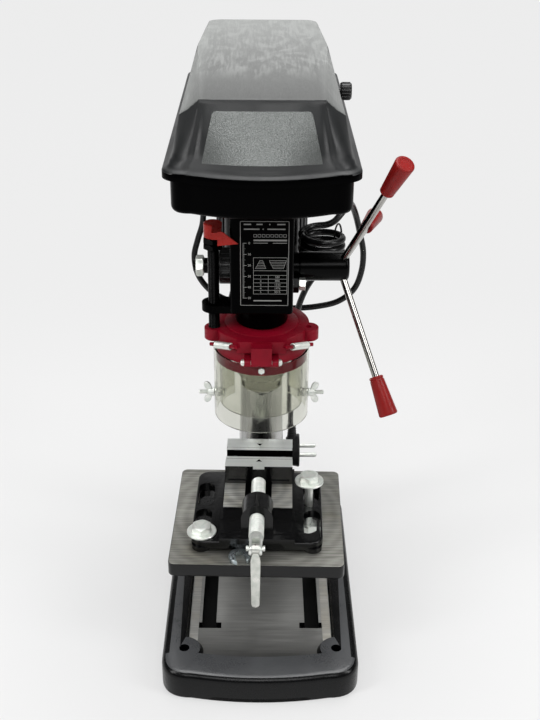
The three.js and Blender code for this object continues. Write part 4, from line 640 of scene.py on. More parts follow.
@dataclass(frozen=True)
class MilledIron(Finish):
    """Machined cast iron: fine cutter lines, swirls, oil stains and a brown tinge, with painted light: a
    painted band of light along Y and broad painted reflections.
    """

    arcs: float = 1
    turn: float = 0
    painted_light_fade: Row = (0.0, 1.0, 1.0)
    contrast: float = 0.6
    painted_reflections: float = 0.0
    rust: Colour = (0.9, 0.87, 0.8)
    dirt: Colour = (0.02, 0.02, 0.018)

    def dress(self, s: Shader) -> None:
        """Adds cutter lines, swirls, stains and the painted light."""
        fine = s.noise(120, 5, (0.2, 7, 1), self.turn)
        swirl = s.swirls(26, 3.0)
        stain = s.noise(22, 5, twist=1.5)
        tone = s.sum("ADD", s.sum("MULTIPLY", fine, 0.75), s.sum("MULTIPLY", swirl, 0.18 * self.arcs))
        warm = s.mix(s.ramp(stain, 0.45, 0.7), self.colour, self.tinged(self.rust))
        # Painted light: the colour grows lighter along Y, which lifts the deck where the table's shade falls on
        # it.
        near, far, gain = self.painted_light_fade
        axes = s.split(s.place)
        warm = s.mix(s.ramp(axes["Y"], near, far), warm, self.shade(gain))
        # Painted reflections: broad lighter patches stand in for light reflected by the milled top.
        warm = s.mix(s.ramp(s.noise(11, 2, (1, 0.6, 1), 25), 0.42, 0.6, 0, self.painted_reflections), warm, self.shade(1.7))
        s.put("Base Color", s.mix(s.ramp(tone, 0.3, 0.62), s.mix(self.contrast, warm, self.dirt), warm))
        s.put("Roughness", s.ramp(s.sum("ADD", fine, s.sum("MULTIPLY", stain, 0.6)), 0.5, 1.1,
                                  self.roughness * 0.8, self.roughness * 1.35))
        s.bump(fine, 0.00007)
        s.bump(s.noise(1500, 2, (0.12, 3, 1), self.turn), 0.00003)


@dataclass(frozen=True)
class Steel(Finish):
    """Bright steel, ground or drawn along one axis, with faint dark streaks."""

    grain: Row = (1, 1, 0.03)
    streaks: float = 0.5

    def dress(self, s: Shader) -> None:
        """Adds drawn lines and streaks."""
        lines = s.noise(1100, 2, self.grain)
        broad = s.noise(70, 4, self.grain)
        s.put("Base Color", s.mix(s.ramp(broad, 0.42, 0.72, 0, self.streaks), self.colour, self.shade(0.25)))
        s.put("Roughness", s.ramp(s.sum("ADD", lines, broad), 0.6, 1.4, self.roughness * 0.75,
                                  self.roughness * 1.4))
        s.bump(lines, 0.00002)


@dataclass(frozen=True)
class Zinc(Finish):
    """Zinc plating: bright, faintly clouded and a little blue or yellow."""

    tinge: Colour = (0.8, 0.84, 0.82)

    def dress(self, s: Shader) -> None:
        """Adds clouds and fine pits."""
        cloud = s.noise(120, 5, twist=1)
        s.put("Base Color", s.mix(s.ramp(cloud, 0.35, 0.7), self.colour, self.tinged(self.tinge)))
        s.put("Roughness", s.ramp(cloud, 0.3, 0.75, self.roughness * 0.7, self.roughness * 1.5))
        s.bump(s.noise(700, 3), 0.00005)


@dataclass(frozen=True)
class Moulded(Finish):
    """Moulded plastic: a fine grain, and rubbed places where the grain is stronger."""

    grain: float = 0.00003
    scuffs: float = 0.2

    def dress(self, s: Shader) -> None:
        """Adds grain and scuffs."""
        rub = s.noise(45, 6, (1, 0.35, 1), 8, 0.6)
        scuff = s.ramp(rub, 0.48, 0.72, 0, self.scuffs)
        s.put("Base Color", s.mix(scuff, self.colour, self.shade(2.2)))
        s.put("Roughness", s.ramp(rub, 0.3, 0.75, self.roughness * 0.85, min(1.0, self.roughness * 1.25)))
        s.bump(s.noise(1300, 2), self.grain)


@dataclass(frozen=True)
class Scuffed(Finish):
    """Rubbed plastic: pale swirled scuffs over a fine grain, with painted light that makes it paler towards the
    back and at the sides.
    """

    near: float = -0.05
    far: float = 0.27
    gain: float = 9.0
    side: Row = (0.045, 0.06)
    scuffs: float = 0.34
    worn: Colour = (0.42, 0.43, 0.42)

    def dress(self, s: Shader) -> None:
        """Adds the painted light, the scuffs and the grain."""
        axes = s.split(s.place)
        # Painted light: the colour is lifted towards the back and at the sides, standing in for the sheen of
        # the light on the top.
        base = s.mix(s.ramp(axes["Y"], self.near, self.far), self.colour, self.shade(self.gain))
        base = s.mix(s.ramp(s.sum("ABSOLUTE", axes["X"], 0.0), *self.side, 0, 0.7), base, self.shade(self.gain))
        swirl = s.noise(30, 3, (1, 0.45, 1), 25, 2.6)
        wipes = s.noise(420, 5, (1, 0.06, 1), -24, 0.5)
        rub = s.sum("ADD", s.sum("MULTIPLY", swirl, 0.5), s.sum("MULTIPLY", wipes, 0.5))
        worn = s.sum("MULTIPLY", s.ramp(rub, 0.45, 0.6, 0, self.scuffs), s.ramp(axes["Y"], 0.0, 0.05, 0.15, 1))
        s.put("Base Color", s.mix(worn, base, self.worn))
        s.put("Roughness", s.ramp(rub, 0.35, 0.65, self.roughness * 0.8, self.roughness * 1.3))
        s.bump(s.noise(1100, 2), 0.00008)


@dataclass(frozen=True)
class Sparkle(Finish):
    """Grained foil that glitters in fine specks."""

    def dress(self, s: Shader) -> None:
        """Adds bright and dark specks."""
        speck = s.ramp(s.noise(3600, 3), 0.38, 0.7)
        s.put("Base Color", s.mix(speck, self.shade(0.45), self.shade(3.2)))
        s.put("Roughness", s.ramp(speck, 0, 1, self.roughness, self.roughness * 0.6))
        s.bump(s.noise(900, 3), 0.0002)


@dataclass(frozen=True)
class Gloss(Finish):
    """Hard gloss plastic or enamel in a strong colour, with faint flow and dust marks."""

    coat: float = 0.4
    coat_roughness: float = 0.12

    def dress(self, s: Shader) -> None:
        """Adds flow marks and dust."""
        flow = s.noise(60, 4)
        s.put("Base Color", s.mix(s.ramp(flow, 0.3, 0.75), self.shade(0.82), self.shade(1.15)))
        s.put("Roughness", s.ramp(s.noise(500, 4), 0.3, 0.75, self.roughness * 0.7, self.roughness * 1.5))
        s.put("Coat Weight", self.coat)
        s.put("Coat Roughness", self.coat_roughness)
        s.bump(s.noise(340, 3), 0.00004)


@dataclass(frozen=True)
class Clear(Finish):
    """Clear plastic with fine upright scratches, a little yellowed."""

    bend: float = 1.22

    def dress(self, s: Shader) -> None:
        """Makes the plastic clear and scratched."""
        scratch = s.noise(900, 3, (1, 1, 0.06))
        s.put("Base Color", s.mix(s.ramp(s.noise(40, 3), 0.35, 0.7), self.colour, self.shade(0.9)))
        s.put("Roughness", s.ramp(scratch, 0.35, 0.75, self.roughness * 0.5, self.roughness * 2.2))
        s.put("Transmission Weight", 1.0)
        s.put("IOR", self.bend)
        s.bump(s.noise(30, 2, (1, 1, 0.4)), 0.0006, 0.3)


@dataclass(frozen=True)
class Rubber(Finish):
    """Matt or shiny black rubber with a faint bloom."""

    def dress(self, s: Shader) -> None:
        """Adds bloom and fine grain."""
        bloom = s.noise(90, 4)
        s.put("Base Color", s.mix(s.ramp(bloom, 0.45, 0.75, 0, 0.5), self.colour, self.shade(2.5)))
        s.put("Roughness", s.ramp(bloom, 0.3, 0.7, self.roughness * 0.8, self.roughness * 1.2))
        s.bump(s.noise(1500, 2), 0.00002)


BLACK_CASTING = Enamel("black_casting_enamel", (0.0012, 0.0013, 0.0016), 0.26, shine=0.24, dust=0.1)
# Paler enamel with a painted highlight, for the tops of the base's front rim and bolt bosses.
PAINTED_HIGHLIGHT_RIM = Enamel("painted_highlight_rim_enamel", (0.055, 0.057, 0.06), 0.3, shine=0.6, dust=0.15)
# A darker, duller copy of the black casting enamel for the head: painted shade that keeps its faces deep black.
HEAD_CASTING = Enamel("head_casting_enamel", (0.0004, 0.0004, 0.0005), 0.24, shine=0.02, dust=0.08)
GLOSS_CASTING = Enamel("gloss_casting_enamel", (0.002, 0.0021, 0.0024), 0.16, shine=0.35, peel=0.00018,
                       dust=0.12)
GREY_MOTOR = Enamel("motor_enamel", (0.012, 0.012, 0.013), 0.42, shine=0.3, peel=0.00008)
# The table's top carries broad painted reflections.
TABLE_IRON = MilledIron("milled_table", (0.36, 0.357, 0.325), 0.42, 0.85, arcs=0.4, painted_reflections=0.8)
# The deck is painted lighter towards the back, under the table's shade.
DECK_IRON = MilledIron("milled_deck", (0.028, 0.028, 0.027), 0.5, 0.75, arcs=0.1, turn=90,
                       painted_light_fade=(-0.115, -0.055, 22), contrast=0.25)
# Painted sheen: the milled strips beside the T-slots are coloured pale where they catch the light.
STRIP_IRON = MilledIron("milled_strip", (0.8, 0.79, 0.75), 0.45, 0.7, arcs=0.2, contrast=0.3)
WAY_STEEL = MilledIron("milled_ways", (0.85, 0.85, 0.8), 0.45, 0.85, arcs=0.5, turn=60)
JAW_STEEL = Steel("ground_jaw_tops", (0.9, 0.93, 0.9), 0.4, 0.9, grain=(0.03, 1, 1), streaks=0.15)
COLUMN_STEEL = Steel("drawn_column", (0.5, 0.5, 0.49), 0.22, 1, grain=(1, 1, 0.02), streaks=0.6)
CHUCK_STEEL = Steel("ground_chuck", (0.6, 0.59, 0.56), 0.2, 1, grain=(0.1, 0.1, 2), streaks=0.3)
CHROME = Steel("chromed_rod", (0.42, 0.41, 0.39), 0.14, 1, grain=(1, 0.1, 0.1), streaks=0.15)
ZINC = Zinc("zinc_plate", (0.9, 0.91, 0.87), 0.4, 0.85)
HANDLE_ZINC = Zinc("bright_handle", (0.8, 0.8, 0.75), 0.36, 1)
BLUE_ZINC = Zinc("blue_zinc_plate", (0.5, 0.55, 0.58), 0.3, 1)
SCREW_STEEL = Steel("screw_steel", (0.2, 0.2, 0.205), 0.3, 1, grain=(1, 1, 1), streaks=0.4)
BLACK_OXIDE = Steel("black_oxide_steel", (0.0012, 0.0012, 0.0013), 0.2, 0.3, shine=0.1, grain=(1, 1, 1),
                    streaks=0.3)
GRIP_RED = Gloss("grip_red", (0.24, 0.01, 0.009), 0.36, shine=0.2, coat=0.03)
POINTER_RED = Gloss("pointer_red", (0.36, 0.014, 0.009), 0.3, shine=0.2, coat=0.05)
GUARD_RED = Gloss("guard_crimson", (0.23, 0.003, 0.014), 0.36, shine=0.14, coat=0.0)
GUARD_CLEAR = Clear("clear_guard", (0.78, 0.785, 0.72), 0.05, shine=0.25)
# The cover's top carries painted light: paler towards the back and at the sides.
COVER_TOP = Scuffed("scuffed_cover_top", (0.064, 0.066, 0.064), 0.44, shine=0.5, gain=3.6)
COVER_FRONT = Moulded("cover_front", (0.006, 0.007, 0.0075), 0.42, shine=0.5, grain=0.00002, scuffs=0.1)
CASE_PLASTIC = Moulded("case_plastic", (0.0006, 0.0006, 0.0007), 0.22, shine=0.02, grain=0.00002, scuffs=0.05)
BLACK_PLASTIC = Moulded("black_plastic", (0.004, 0.004, 0.0043), 0.3, shine=0.2, grain=0.00003, scuffs=0.1)
PLATE_FOIL = Sparkle("glitter_plate", (0.085, 0.09, 0.087), 0.4, 0.5)
LABEL_BLACK = Moulded("label_black", (0.0006, 0.0006, 0.0007), 0.34, shine=0.015, grain=0.00001, scuffs=0.05)
LABEL_PRINT = Moulded("label_print", (0.26, 0.26, 0.25), 0.5, shine=0.2, grain=0.00001, scuffs=0.0)
CAST_ALUMINIUM = Steel("turned_aluminium", (0.6, 0.6, 0.61), 0.34, 1, grain=(0.1, 0.1, 2), streaks=0.2)
CORD_RUBBER = Rubber("cord_rubber", (0.004, 0.004, 0.0043), 0.28, shine=0.3)
BELT_RUBBER = Rubber("belt_rubber", (0.012, 0.012, 0.012), 0.7)
PLUG_RUBBER = Rubber("plug_rubber", (0.009, 0.009, 0.0095), 0.42, shine=0.3)


def link(mesh: bpy.types.Mesh, name: str) -> bpy.types.Object:
    """Puts a mesh into the scene under a name."""
    mesh.name = name
    piece = bpy.data.objects.new(name, mesh)
    bpy.context.scene.collection.objects.link(piece)
    return piece


def bent(name: str, shape: Solid, finish: Finish, node: str, bodies: tuple[str, str]) -> None:
    """Finishes a piece that stretches between two bodies.

    Args:
        name: The piece's name.
        shape: Its solid.
        finish: Its finish.
        node: The CAD node that it stands for.
        bodies: The bodies at its start and its end, which are only written to the log.
    """
    shape.mesh.materials.append(finish.material())
    piece = link(shape.mesh, name)
    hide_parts(node)
    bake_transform(piece)
    LOG.info("%s: stretches between %s and %s", name, *bodies)


def dress(name: str, shape: Solid, finish: Finish, body: str, replaces: Sequence[str] = (),
          edge: float = 0.4, patches: Sequence[tuple[FaceTest, Finish]] = (), place: Matrix | None = None,
          soft: float = 32, rounds: int = 2) -> bpy.types.Object:
    """Turns a solid into a finished piece of the machine.

    Args:
        name: The piece's name.
        shape: Its solid.
        finish: Its finish.
        body: The CAD body that it moves with.
        replaces: The CAD nodes that it stands for.
        edge: The width of its broken edges in millimetres.
        patches: Tests of a face's middle in millimetres and its normal, each with the finish that it brings.
        place: Where the piece stands, as a matrix in metres.
        soft: The greatest angle between faces that still look smooth, in degrees.
        rounds: The facets of a broken edge.

    Returns:
        The piece.
    """
    mesh = shape.mesh
    mesh.materials.clear()
    for kind in (finish, *(other for _, other in patches)):
        mesh.materials.append(kind.material())
    for face in mesh.polygons:
        middle = face.center / MM
        face.material_index = next((i for i, (test, _) in enumerate(patches, 1) if test(middle, face.normal)),
                                   0)
    if place is not None:
        mesh.transform(place)
    mesh.shade_smooth()
    mesh.set_sharp_from_angle(angle=radians(soft))
    piece = link(mesh, name)
    if edge:
        bevel = piece.modifiers.new("broken edges", "BEVEL")
        bevel.width, bevel.segments, bevel.limit_method = edge * MM, rounds, "ANGLE"
        bevel.angle_limit, bevel.harden_normals = radians(soft), True
        bevel.miter_outer = "MITER_ARC"
    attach(piece, body)
    if replaces:
        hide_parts(*replaces)
    LOG.info("%s: %d faces on %s", name, len(mesh.polygons), body)
    return piece


# Studio


@dataclass
class Studio:
    """The pale floor, the soft light and the camera."""

    eye: Row = (0.0, -879.0, 736.0)
    pitch: float = 27.4
    yaw: float = 0.513
    roll: float = 0.47
    focal_pixels: float = 1079.0
    frame_height: float = 720.0
    floor_size: float = 60.0
    pale: Colour = (0.86, 0.86, 0.86)
    ground: Colour = (0.72, 0.72, 0.72)
    bright_ground: Colour = (0.735, 0.735, 0.735)
    # Painted shade for the floor under the base.
    painted_shade_ground: Colour = (0.03, 0.03, 0.03)
    front_light: float = 0.1
    rear_light: float = 0.9
    sky_light: float = 0.14
    glow: float = 0.995
    glow_share: float = 0.5
    far_share: float = 0.98
    base_half: float = 79
    base_front: float = -127
    base_back: float = 145
    shadow_near: float = 0.28
    shadow_far: float = 0.95
    base_edge: float = 4

    def camera(self) -> None:
        """Sets up the camera at the photograph's viewing angle."""
        lens = bpy.data.cameras.new("camera")
        lens.sensor_fit, lens.sensor_width = "AUTO", 36
        lens.lens = self.focal_pixels / self.frame_height * lens.sensor_width
        lens.clip_end = 100
        camera = bpy.data.objects.new("camera", lens)
        turn = (Matrix.Rotation(radians(-self.yaw), 4, "Z") @ Matrix.Rotation(radians(90 - self.pitch), 4, "X")
                @ Matrix.Rotation(radians(self.roll), 4, "Z"))
        camera.matrix_world = Matrix.Translation(Vector(self.eye) * MM) @ turn
        bpy.context.scene.collection.objects.link(camera)
        bpy.context.scene.camera = camera
        bpy.context.scene.view_settings.view_transform = "Standard"

    def world(self) -> None:
        """Surrounds the object with pale light from behind and above, and little from the front."""
        world = bpy.data.worlds.new("studio")
        world.use_nodes = True
        nodes = Nodes(world.node_tree)
        back = nodes.tree.nodes["Background"]
        nodes.feed(back.inputs["Color"], (*self.pale, 1))
        axes = nodes.split(nodes.add("ShaderNodeTexCoord").outputs["Generated"])
        rear, sky = (nodes.ramp(axes[axis], low, high, self.front_light / 2, gain, "SMOOTHSTEP") for axis, low,
                     high, gain in (("Y", 0.78, 0.95, self.rear_light), ("Z", 0.1, 1.0, self.sky_light)))
        share = nodes.add("ShaderNodeMix")
        for socket, value in ((0, nodes.add("ShaderNodeLightPath").outputs["Is Camera Ray"]),
                              ("A", nodes.sum("ADD", rear, sky)), ("B", 1.0)):
            nodes.feed(share.inputs[socket], value)
        nodes.feed(back.inputs["Strength"], share.outputs[0])
        bpy.context.scene.world = world

    def under_base(self, shader: Shader) -> bpy.types.NodeSocket:
        """Returns 1 on the floor around the machine and 0 on the floor that its base covers."""
        axes = shader.split(shader.place)
        outside = 0.0
        for axis, low, high in (("X", -self.base_half, self.base_half), ("Y", self.base_front, self.base_back)):
            for edge, way in ((low, -1), (high, 1)):
                step = shader.ramp(axes[axis], edge * MM, (edge + way * self.base_edge) * MM)
                outside = shader.sum("MAXIMUM", outside, step)
        return outside

    def floor(self) -> None:
        """Lays the floor, which keeps the object's soft shadow and has painted shade under the base."""
        half = self.floor_size / 2
        mesh = bpy.data.meshes.new("floor")
        mesh.from_pydata([(-half, -half, 0), (half, -half, 0), (half, half, 0), (-half, half, 0)], [],
                         [(0, 1, 2, 3)])
        shader = Shader("pale_floor", self.ground, 0.9, 0)
        shader.put("Specular IOR Level", 0.0)
        outside = self.under_base(shader)
        pale = shader.mix(shader.noise(1.2, 2), self.ground, self.bright_ground)
        # Painted shade: the floor that the base covers is coloured dark.
        shader.put("Base Color", shader.mix(outside, self.painted_shade_ground, pale))
        glow = shader.add("ShaderNodeEmission")
        shader.fill(glow, Color=(*self.pale, 1), Strength=self.glow)
        blend = shader.add("ShaderNodeMixShader")
        reach = shader.add("ShaderNodeVectorMath", operation="LENGTH")
        shader.feed(reach.inputs[0], shader.place)
        strength = shader.ramp(reach.outputs["Value"], self.shadow_near, self.shadow_far, self.glow_share,
                               self.far_share)
        share = shader.sum("MULTIPLY", shader.seen(), shader.sum("MULTIPLY", outside, strength))
        shader.feed(blend.inputs[0], share)
        shader.feed(blend.inputs[1], shader.surface.outputs[0])
        shader.feed(blend.inputs[2], glow.outputs[0])
        shader.feed(shader.tree.nodes["Material Output"].inputs["Surface"], blend.outputs[0])
        mesh.materials.append(shader.material)
        link(mesh, "floor")

    def lamp(self, name: str, at: Row, aim: Row, size: tuple[float, float], power: float) -> None:
        """Hangs a soft square lamp, aimed at a point, in metres and watts."""
        light = bpy.data.lights.new(name, "AREA")
        light.shape, light.size, light.size_y, light.energy = "RECTANGLE", *size, power
        lamp = bpy.data.objects.new(name, light)
        direction = Vector(aim) - Vector(at)
        lamp.matrix_world = Matrix.Translation(at) @ direction.to_track_quat("-Z", "Y").to_matrix().to_4x4()
        bpy.context.scene.collection.objects.link(lamp)

    def build(self) -> None:
        """Builds the studio."""
        self.camera()
        self.world()
        self.floor()
        self.lamp("overhead", (0.0, 0.2, 2.4), (0, 0.1, 0.2), (1.8, 1.2), 36)
        self.lamp("front", (0.0, -2.5, 2.3), (0, 0, 0.3), (2.0, 0.9), 30)
        self.lamp("left_front", (-1.9, -0.9, 1.7), (0, 0, 0.25), (0.5, 1.6), 24)
        self.lamp("right_front", (1.9, -0.7, 1.5), (0, 0, 0.25), (0.5, 1.5), 19)
        self.lamp("back", (0.3, 1.5, 2.7), (0, 0.1, 0.4), (2.0, 0.8), 22)
        LOG.info("studio: camera, world, floor and lamps")


# Stand


@dataclass
class Stand:
    """The cast base and the column that stands in its socket."""

    width: float = 184
    front: float = -144
    back: float = 159
    height: float = 28
    bulge: float = 6
    corner: float = 29
    edge: float = 7
    wall: float = 6
    deck_drop: float = 5
    deck_thickness: float = 7
    rim: float = 21
    rim_front: float = 30
    deck_back: float = 58
    slot_x: float = 50
    slot_mouth: float = 14
    slot_pocket: float = 24
    slot_front: float = -69
    slot_back: float = 50
    keyhole: float = 8
    bolt: Row = (71.5, -102)
    bolt_hole: float = 4.8
    boss: float = 15
    socket: float = 36
    socket_top: float = 49
    socket_floor: float = 12
    column_y: float = 104
    column_radius: float = 23
    column_top: float = 434
    column_wall: float = 3

    def recess(self) -> Solid:
        """Returns the hollow of the deck, drawn in round the two bolt bosses and the socket."""
        deck = self.height - self.deck_drop
        outline = bulged_outline(self.width / 2 - self.rim, self.front + self.rim_front, self.deck_back,
                                 self.bulge, 8)
        shape = loft([[(x, y, z) for x, y in inset(outline, depth)] for z,
                      depth in ((deck, 2.6), (deck + 0.8, 1.4), (deck + 2.2, 0.5), (self.height, 0.05),
                                (self.height + 2, 0))])
        bosses = [turned([(0, deck - 4), (self.boss + 3.4, deck - 4), (self.boss + 3, deck),
                          (self.boss + 1.6, deck + 2.6), (self.boss, self.height), (self.boss, self.height + 4),
                          (0, self.height + 4)], 64) .moved(side * self.bolt[0],
                                                            self.bolt[1]) for side in (-1, 1)]
        return shape.cut(*bosses, bar(self.socket + 1.5, Z, 0, 60, (0, self.column_y, 0), 96))

    def slots(self) -> list[Solid]:
        """Returns the cutters of the two T-slots."""
        deck = self.height - self.deck_drop
        cutters = []
        for side in (-1, 1):
            x, mouth, pocket = side * self.slot_x, self.slot_mouth / 2, self.slot_pocket / 2
            cutters += [block(x - mouth, x + mouth, self.slot_front, self.slot_back, -2, self.height + 4),
                        block(x - pocket, x + pocket, self.slot_front, self.slot_back, -2,
                              deck - self.deck_thickness),
                        block(x - pocket, x + pocket, self.slot_front, self.slot_front + self.keyhole, -2,
                              self.height + 4)]
        return cutters

    def casting(self) -> Solid:
        """Returns the base casting."""
        half, deck = self.width / 2, self.height - self.deck_drop
        outline = bulged_outline(half, self.front, self.back, self.bulge, self.corner)
        shell = slab(outline, 0, self.height, top=self.edge, bottom=1)
        inner = bulged_outline(half - self.wall, self.front + self.wall, self.back - self.wall, self.bulge,
                               self.corner)
        hollow = slab(inner, -2, deck - self.deck_thickness)
        hollow = hollow.cut(*[block(s * self.slot_x - 17, s * self.slot_x + 17, self.slot_front - 4,
                                    self.slot_back + 4, -4, 30) for s in (-1, 1)],
                            *[bar(self.boss, Z, -4, 30, (s * self.bolt[0], self.bolt[1], 0)) for s in (-1, 1)],
                            bar(self.socket, Z, -4, 60, (0, self.column_y, 0)), block(-4, 4, -130, 150, -4, 30),
                            block(-88, 88, -4, 4, -4, 30))
        socket = turned([(0, 10), (self.socket + 3.5, 10), (self.socket + 3.5, deck),
                         (self.socket + 1.8, self.height + 1), (self.socket, self.height + 4.5),
                         (self.socket, self.socket_top - 3), (self.socket - 1, self.socket_top - 1),
                         (self.socket - 3, self.socket_top), (0, self.socket_top)], 96).moved(0, self.column_y)
        arch = loft([[(x, y, z) for x, z in ((-53, -2), (53, -2), (43, 4.5), (-43, 4.5))]
                     for y in (self.front - 2, self.front + 18)])
        holes = [bar(self.bolt_hole, Z, -2, 40, (s * self.bolt[0], self.bolt[1], 0), 32) for s in (-1, 1)]
        bore = bar(self.column_radius + GAP, Z, self.socket_floor - GAP, 60, (0, self.column_y, 0), 96)
        return shell.cut(hollow, self.recess()).add(socket).cut(*self.slots(), *holes, bore, arch)

    def build(self) -> None:
        """Builds and dresses the stand."""
        deck = self.height - self.deck_drop

        def on_deck(p: Vector, n: Vector) -> bool:
            """Tells whether a face is the machined deck."""
            return n.z > 0.99 and abs(p.z - deck) < 0.4

        def on_rim(p: Vector, n: Vector) -> bool:
            """Tells whether a face is the top of the front rim or of a bolt's boss, which takes a painted
            highlight.
            """
            return n.z > 0.9 and p.z > self.height - 1 and p.y < self.bolt[1] + self.boss

        # The front rim and boss tops take the paler enamel: a painted highlight where they catch the light.
        dress("cast_base", self.casting(), BLACK_CASTING, "machine", ["base_casting"], 1.1,
              [(on_deck, DECK_IRON), (on_rim, PAINTED_HIGHLIGHT_RIM)], rounds=3)
        # The pale strips beside the slots carry painted sheen.
        strips = []
        for side in (-1, 1):
            inner, outer = self.slot_x + self.slot_pocket / 2 - 2.2, self.width / 2 - self.rim - 3.2
            x1, x2 = sorted((side * inner, side * outer))
            strips.append(slab(rounded_rectangle(x1, x2, self.slot_front - 18, self.deck_back - 3, 1.6),
                               deck - 1, deck + 0.25))
        dress("deck_strips", gathered(strips), STRIP_IRON, "machine", edge=0.15)
        wall = self.column_radius - self.column_wall
        tube_wall = turned([(wall, self.socket_floor), (self.column_radius, self.socket_floor),
                            (self.column_radius, self.column_top - 1),
                            (self.column_radius - 1, self.column_top), (wall, self.column_top)],
                           96).moved(0, self.column_y)
        dress("column_tube", tube_wall, COLUMN_STEEL, "machine", ["column"], 0)


# Table


@dataclass
class WorkTable:
    """The slotted table with its bracket, tilt bolt and clamp lever, which stands turned a little."""

    top: float = 109
    width: float = 164
    front: float = -82
    back: float = 78
    edge: float = 14.5
    plate: float = 9
    skirt: float = 8
    corner: float = 6
    slot_x: float = 52.5
    slot_width: float = 16
    slot_front: float = -62
    slot_back: float = 50
    column_y: float = 104
    turn: float = -1.3
    tilt_z: float = 72
    flange: float = 21
    lug_front: float = 26
    joint_y: float = 42
    web: float = 28
    bolt: float = 5
    reach: float = 22
    bracket_bottom: float = 50
    bracket_top: float = 82
    bracket_radius: float = 32
    arm_width: float = 32
    split: float = 5
    ear: float = 7
    ear_reach: float = 52
    ear_bottom: float = 57
    ear_top: float = 77
    lever: float = 46
    lever_out: float = 5
    ball: float = 6

    def frame(self, z: float = 0) -> Matrix:
        """Returns where the swung table stands, as a matrix in metres."""
        middle = Vector((0, self.column_y * MM, 0))
        return (Matrix.Translation(middle) @ Matrix.Rotation(radians(self.turn), 4, "Z")
                @ Matrix.Translation(-middle + Vector((0, 0, z * MM))))

    def table_plate(self) -> Solid:
        """Returns the table's plate with its skirt, slots and tilting lug."""
        half, bottom = self.width / 2, self.top - self.edge
        plate = slab(rounded_rectangle(-half, half, self.front, self.back, self.corner), bottom, self.top, 0.8,
                     2)
        plate = plate.cut(slab(rounded_rectangle(-half + self.skirt, half - self.skirt, self.front + self.skirt,
                                                 self.back - self.skirt, self.corner), bottom - 2,
                               self.top - self.plate))
        front, back = self.slot_front, self.slot_back
        rails = [slab(slot_outline(s * self.slot_x, self.slot_width + self.skirt, front - 4, back + 4), bottom,
                      self.top - 2) for s in (-1, 1)]
        lug = [bar(self.flange, Y, self.lug_front, self.joint_y - GAP, (0, 0, self.tilt_z), 64),
               block(-self.web / 2, self.web / 2, self.lug_front, self.joint_y - GAP, self.tilt_z,
                     self.top - 2)]
        slots = [slab(slot_outline(s * self.slot_x, self.slot_width, front, back), bottom - 2, self.top + 2)
                 for s in (-1, 1)]
        return plate.add(*rails, *lug).cut(*slots, bar(self.bolt + GAP, Y, 20, 50, (0, 0, self.tilt_z)))

    def bracket(self) -> Solid:
        """Returns the bracket that clamps round the column."""
        y, side = self.column_y, self.split / 2 + self.ear
        body = bar(self.bracket_radius, Z, self.bracket_bottom, self.bracket_top, (0, y, 0),
                   96).add(block(-self.arm_width / 2, self.arm_width / 2, self.joint_y, y,
                                 self.bracket_bottom + 2, self.bracket_top),
                           bar(self.flange, Y, self.joint_y, self.joint_y + 10, (0, 0, self.tilt_z),
                               64).keep(block(-32, 32, self.joint_y, y, self.bracket_bottom, self.bracket_top)),
                           block(-side, side, y, y + self.ear_reach, self.ear_bottom, self.ear_top))
        return body.cut(bar(self.column_radius() + GAP, Z, 40, 90, (0, y, 0), 96),
                        block(-self.split / 2, self.split / 2, y, y + 60, 40, 90),
                        bar(self.bolt + GAP, Y, self.joint_y - 2, self.joint_y + self.reach + GAP,
                            (0, 0, self.tilt_z)), bar(4.4, X, -32, 32, self.clamp_axis(), 32))

    def column_radius(self) -> float:
        """Returns the radius of the column that the bracket holds."""
        return Stand.column_radius

    def clamp_axis(self) -> tuple[float, float, float]:
        """Returns a point on the clamp bolt's axis."""
        return 0, self.column_y + self.ear_reach - 9, (self.ear_bottom + self.ear_top) / 2

    def clamp_lever(self) -> Solid:
        """Returns the clamp bolt with its nut and its ball lever."""
        _, y, z = self.clamp_axis()
        side = self.split / 2 + self.ear + GAP
        r, x = self.ball, -side - self.lever_out
        ball = turned([(0, -r), *[(r * cos(radians(a)), r * sin(radians(a))) for a in range(-75, 76, 15)],
                       (0, r)], 32).moved(x, y, z + self.lever)
        return bar(4, X, -side - 2, side + 8, (0, y, z), 32).add(
            bar(7, X, -side - 8, -side, (0, y, z)), hexagon(13, X, side, side + 6, (0, y, z), 1),
            bar(3, Z, z, z + self.lever, (x, y, 0), 32, 2.6), ball)

    def build(self) -> None:
        """Builds and dresses the table."""
        place = self.frame()

        def on_top(p: Vector, n: Vector) -> bool:
            """Tells whether a face is the machined top."""
            return n.z > 0.9 and p.z > self.top - 0.3

        dress("table_casting", self.table_plate(), GLOSS_CASTING, "table", ["table_top"], 0.6,
              [(on_top, TABLE_IRON)], place)
        dress("bracket_casting", self.bracket(), BLACK_CASTING, "bracket", ["table_bracket"],
              1.2, place=place, rounds=3)
        back = self.lug_front - GAP
        bolt = hexagon(17, Y, back - 6.5, back, (0, 0, self.tilt_z), 2).add(
            bar(self.bolt, Y, back - 2, self.joint_y + self.reach, (0, 0, self.tilt_z), 32))
        dress("tilt_bolt", bolt, ZINC, "bracket", ["table_tilt_bolt"], 0.3, place=place)
        dress("clamp_lever", self.clamp_lever(), BLACK_OXIDE, "table_lock", ["table_lock_lever"],
              0.4, place=place)


# Vise


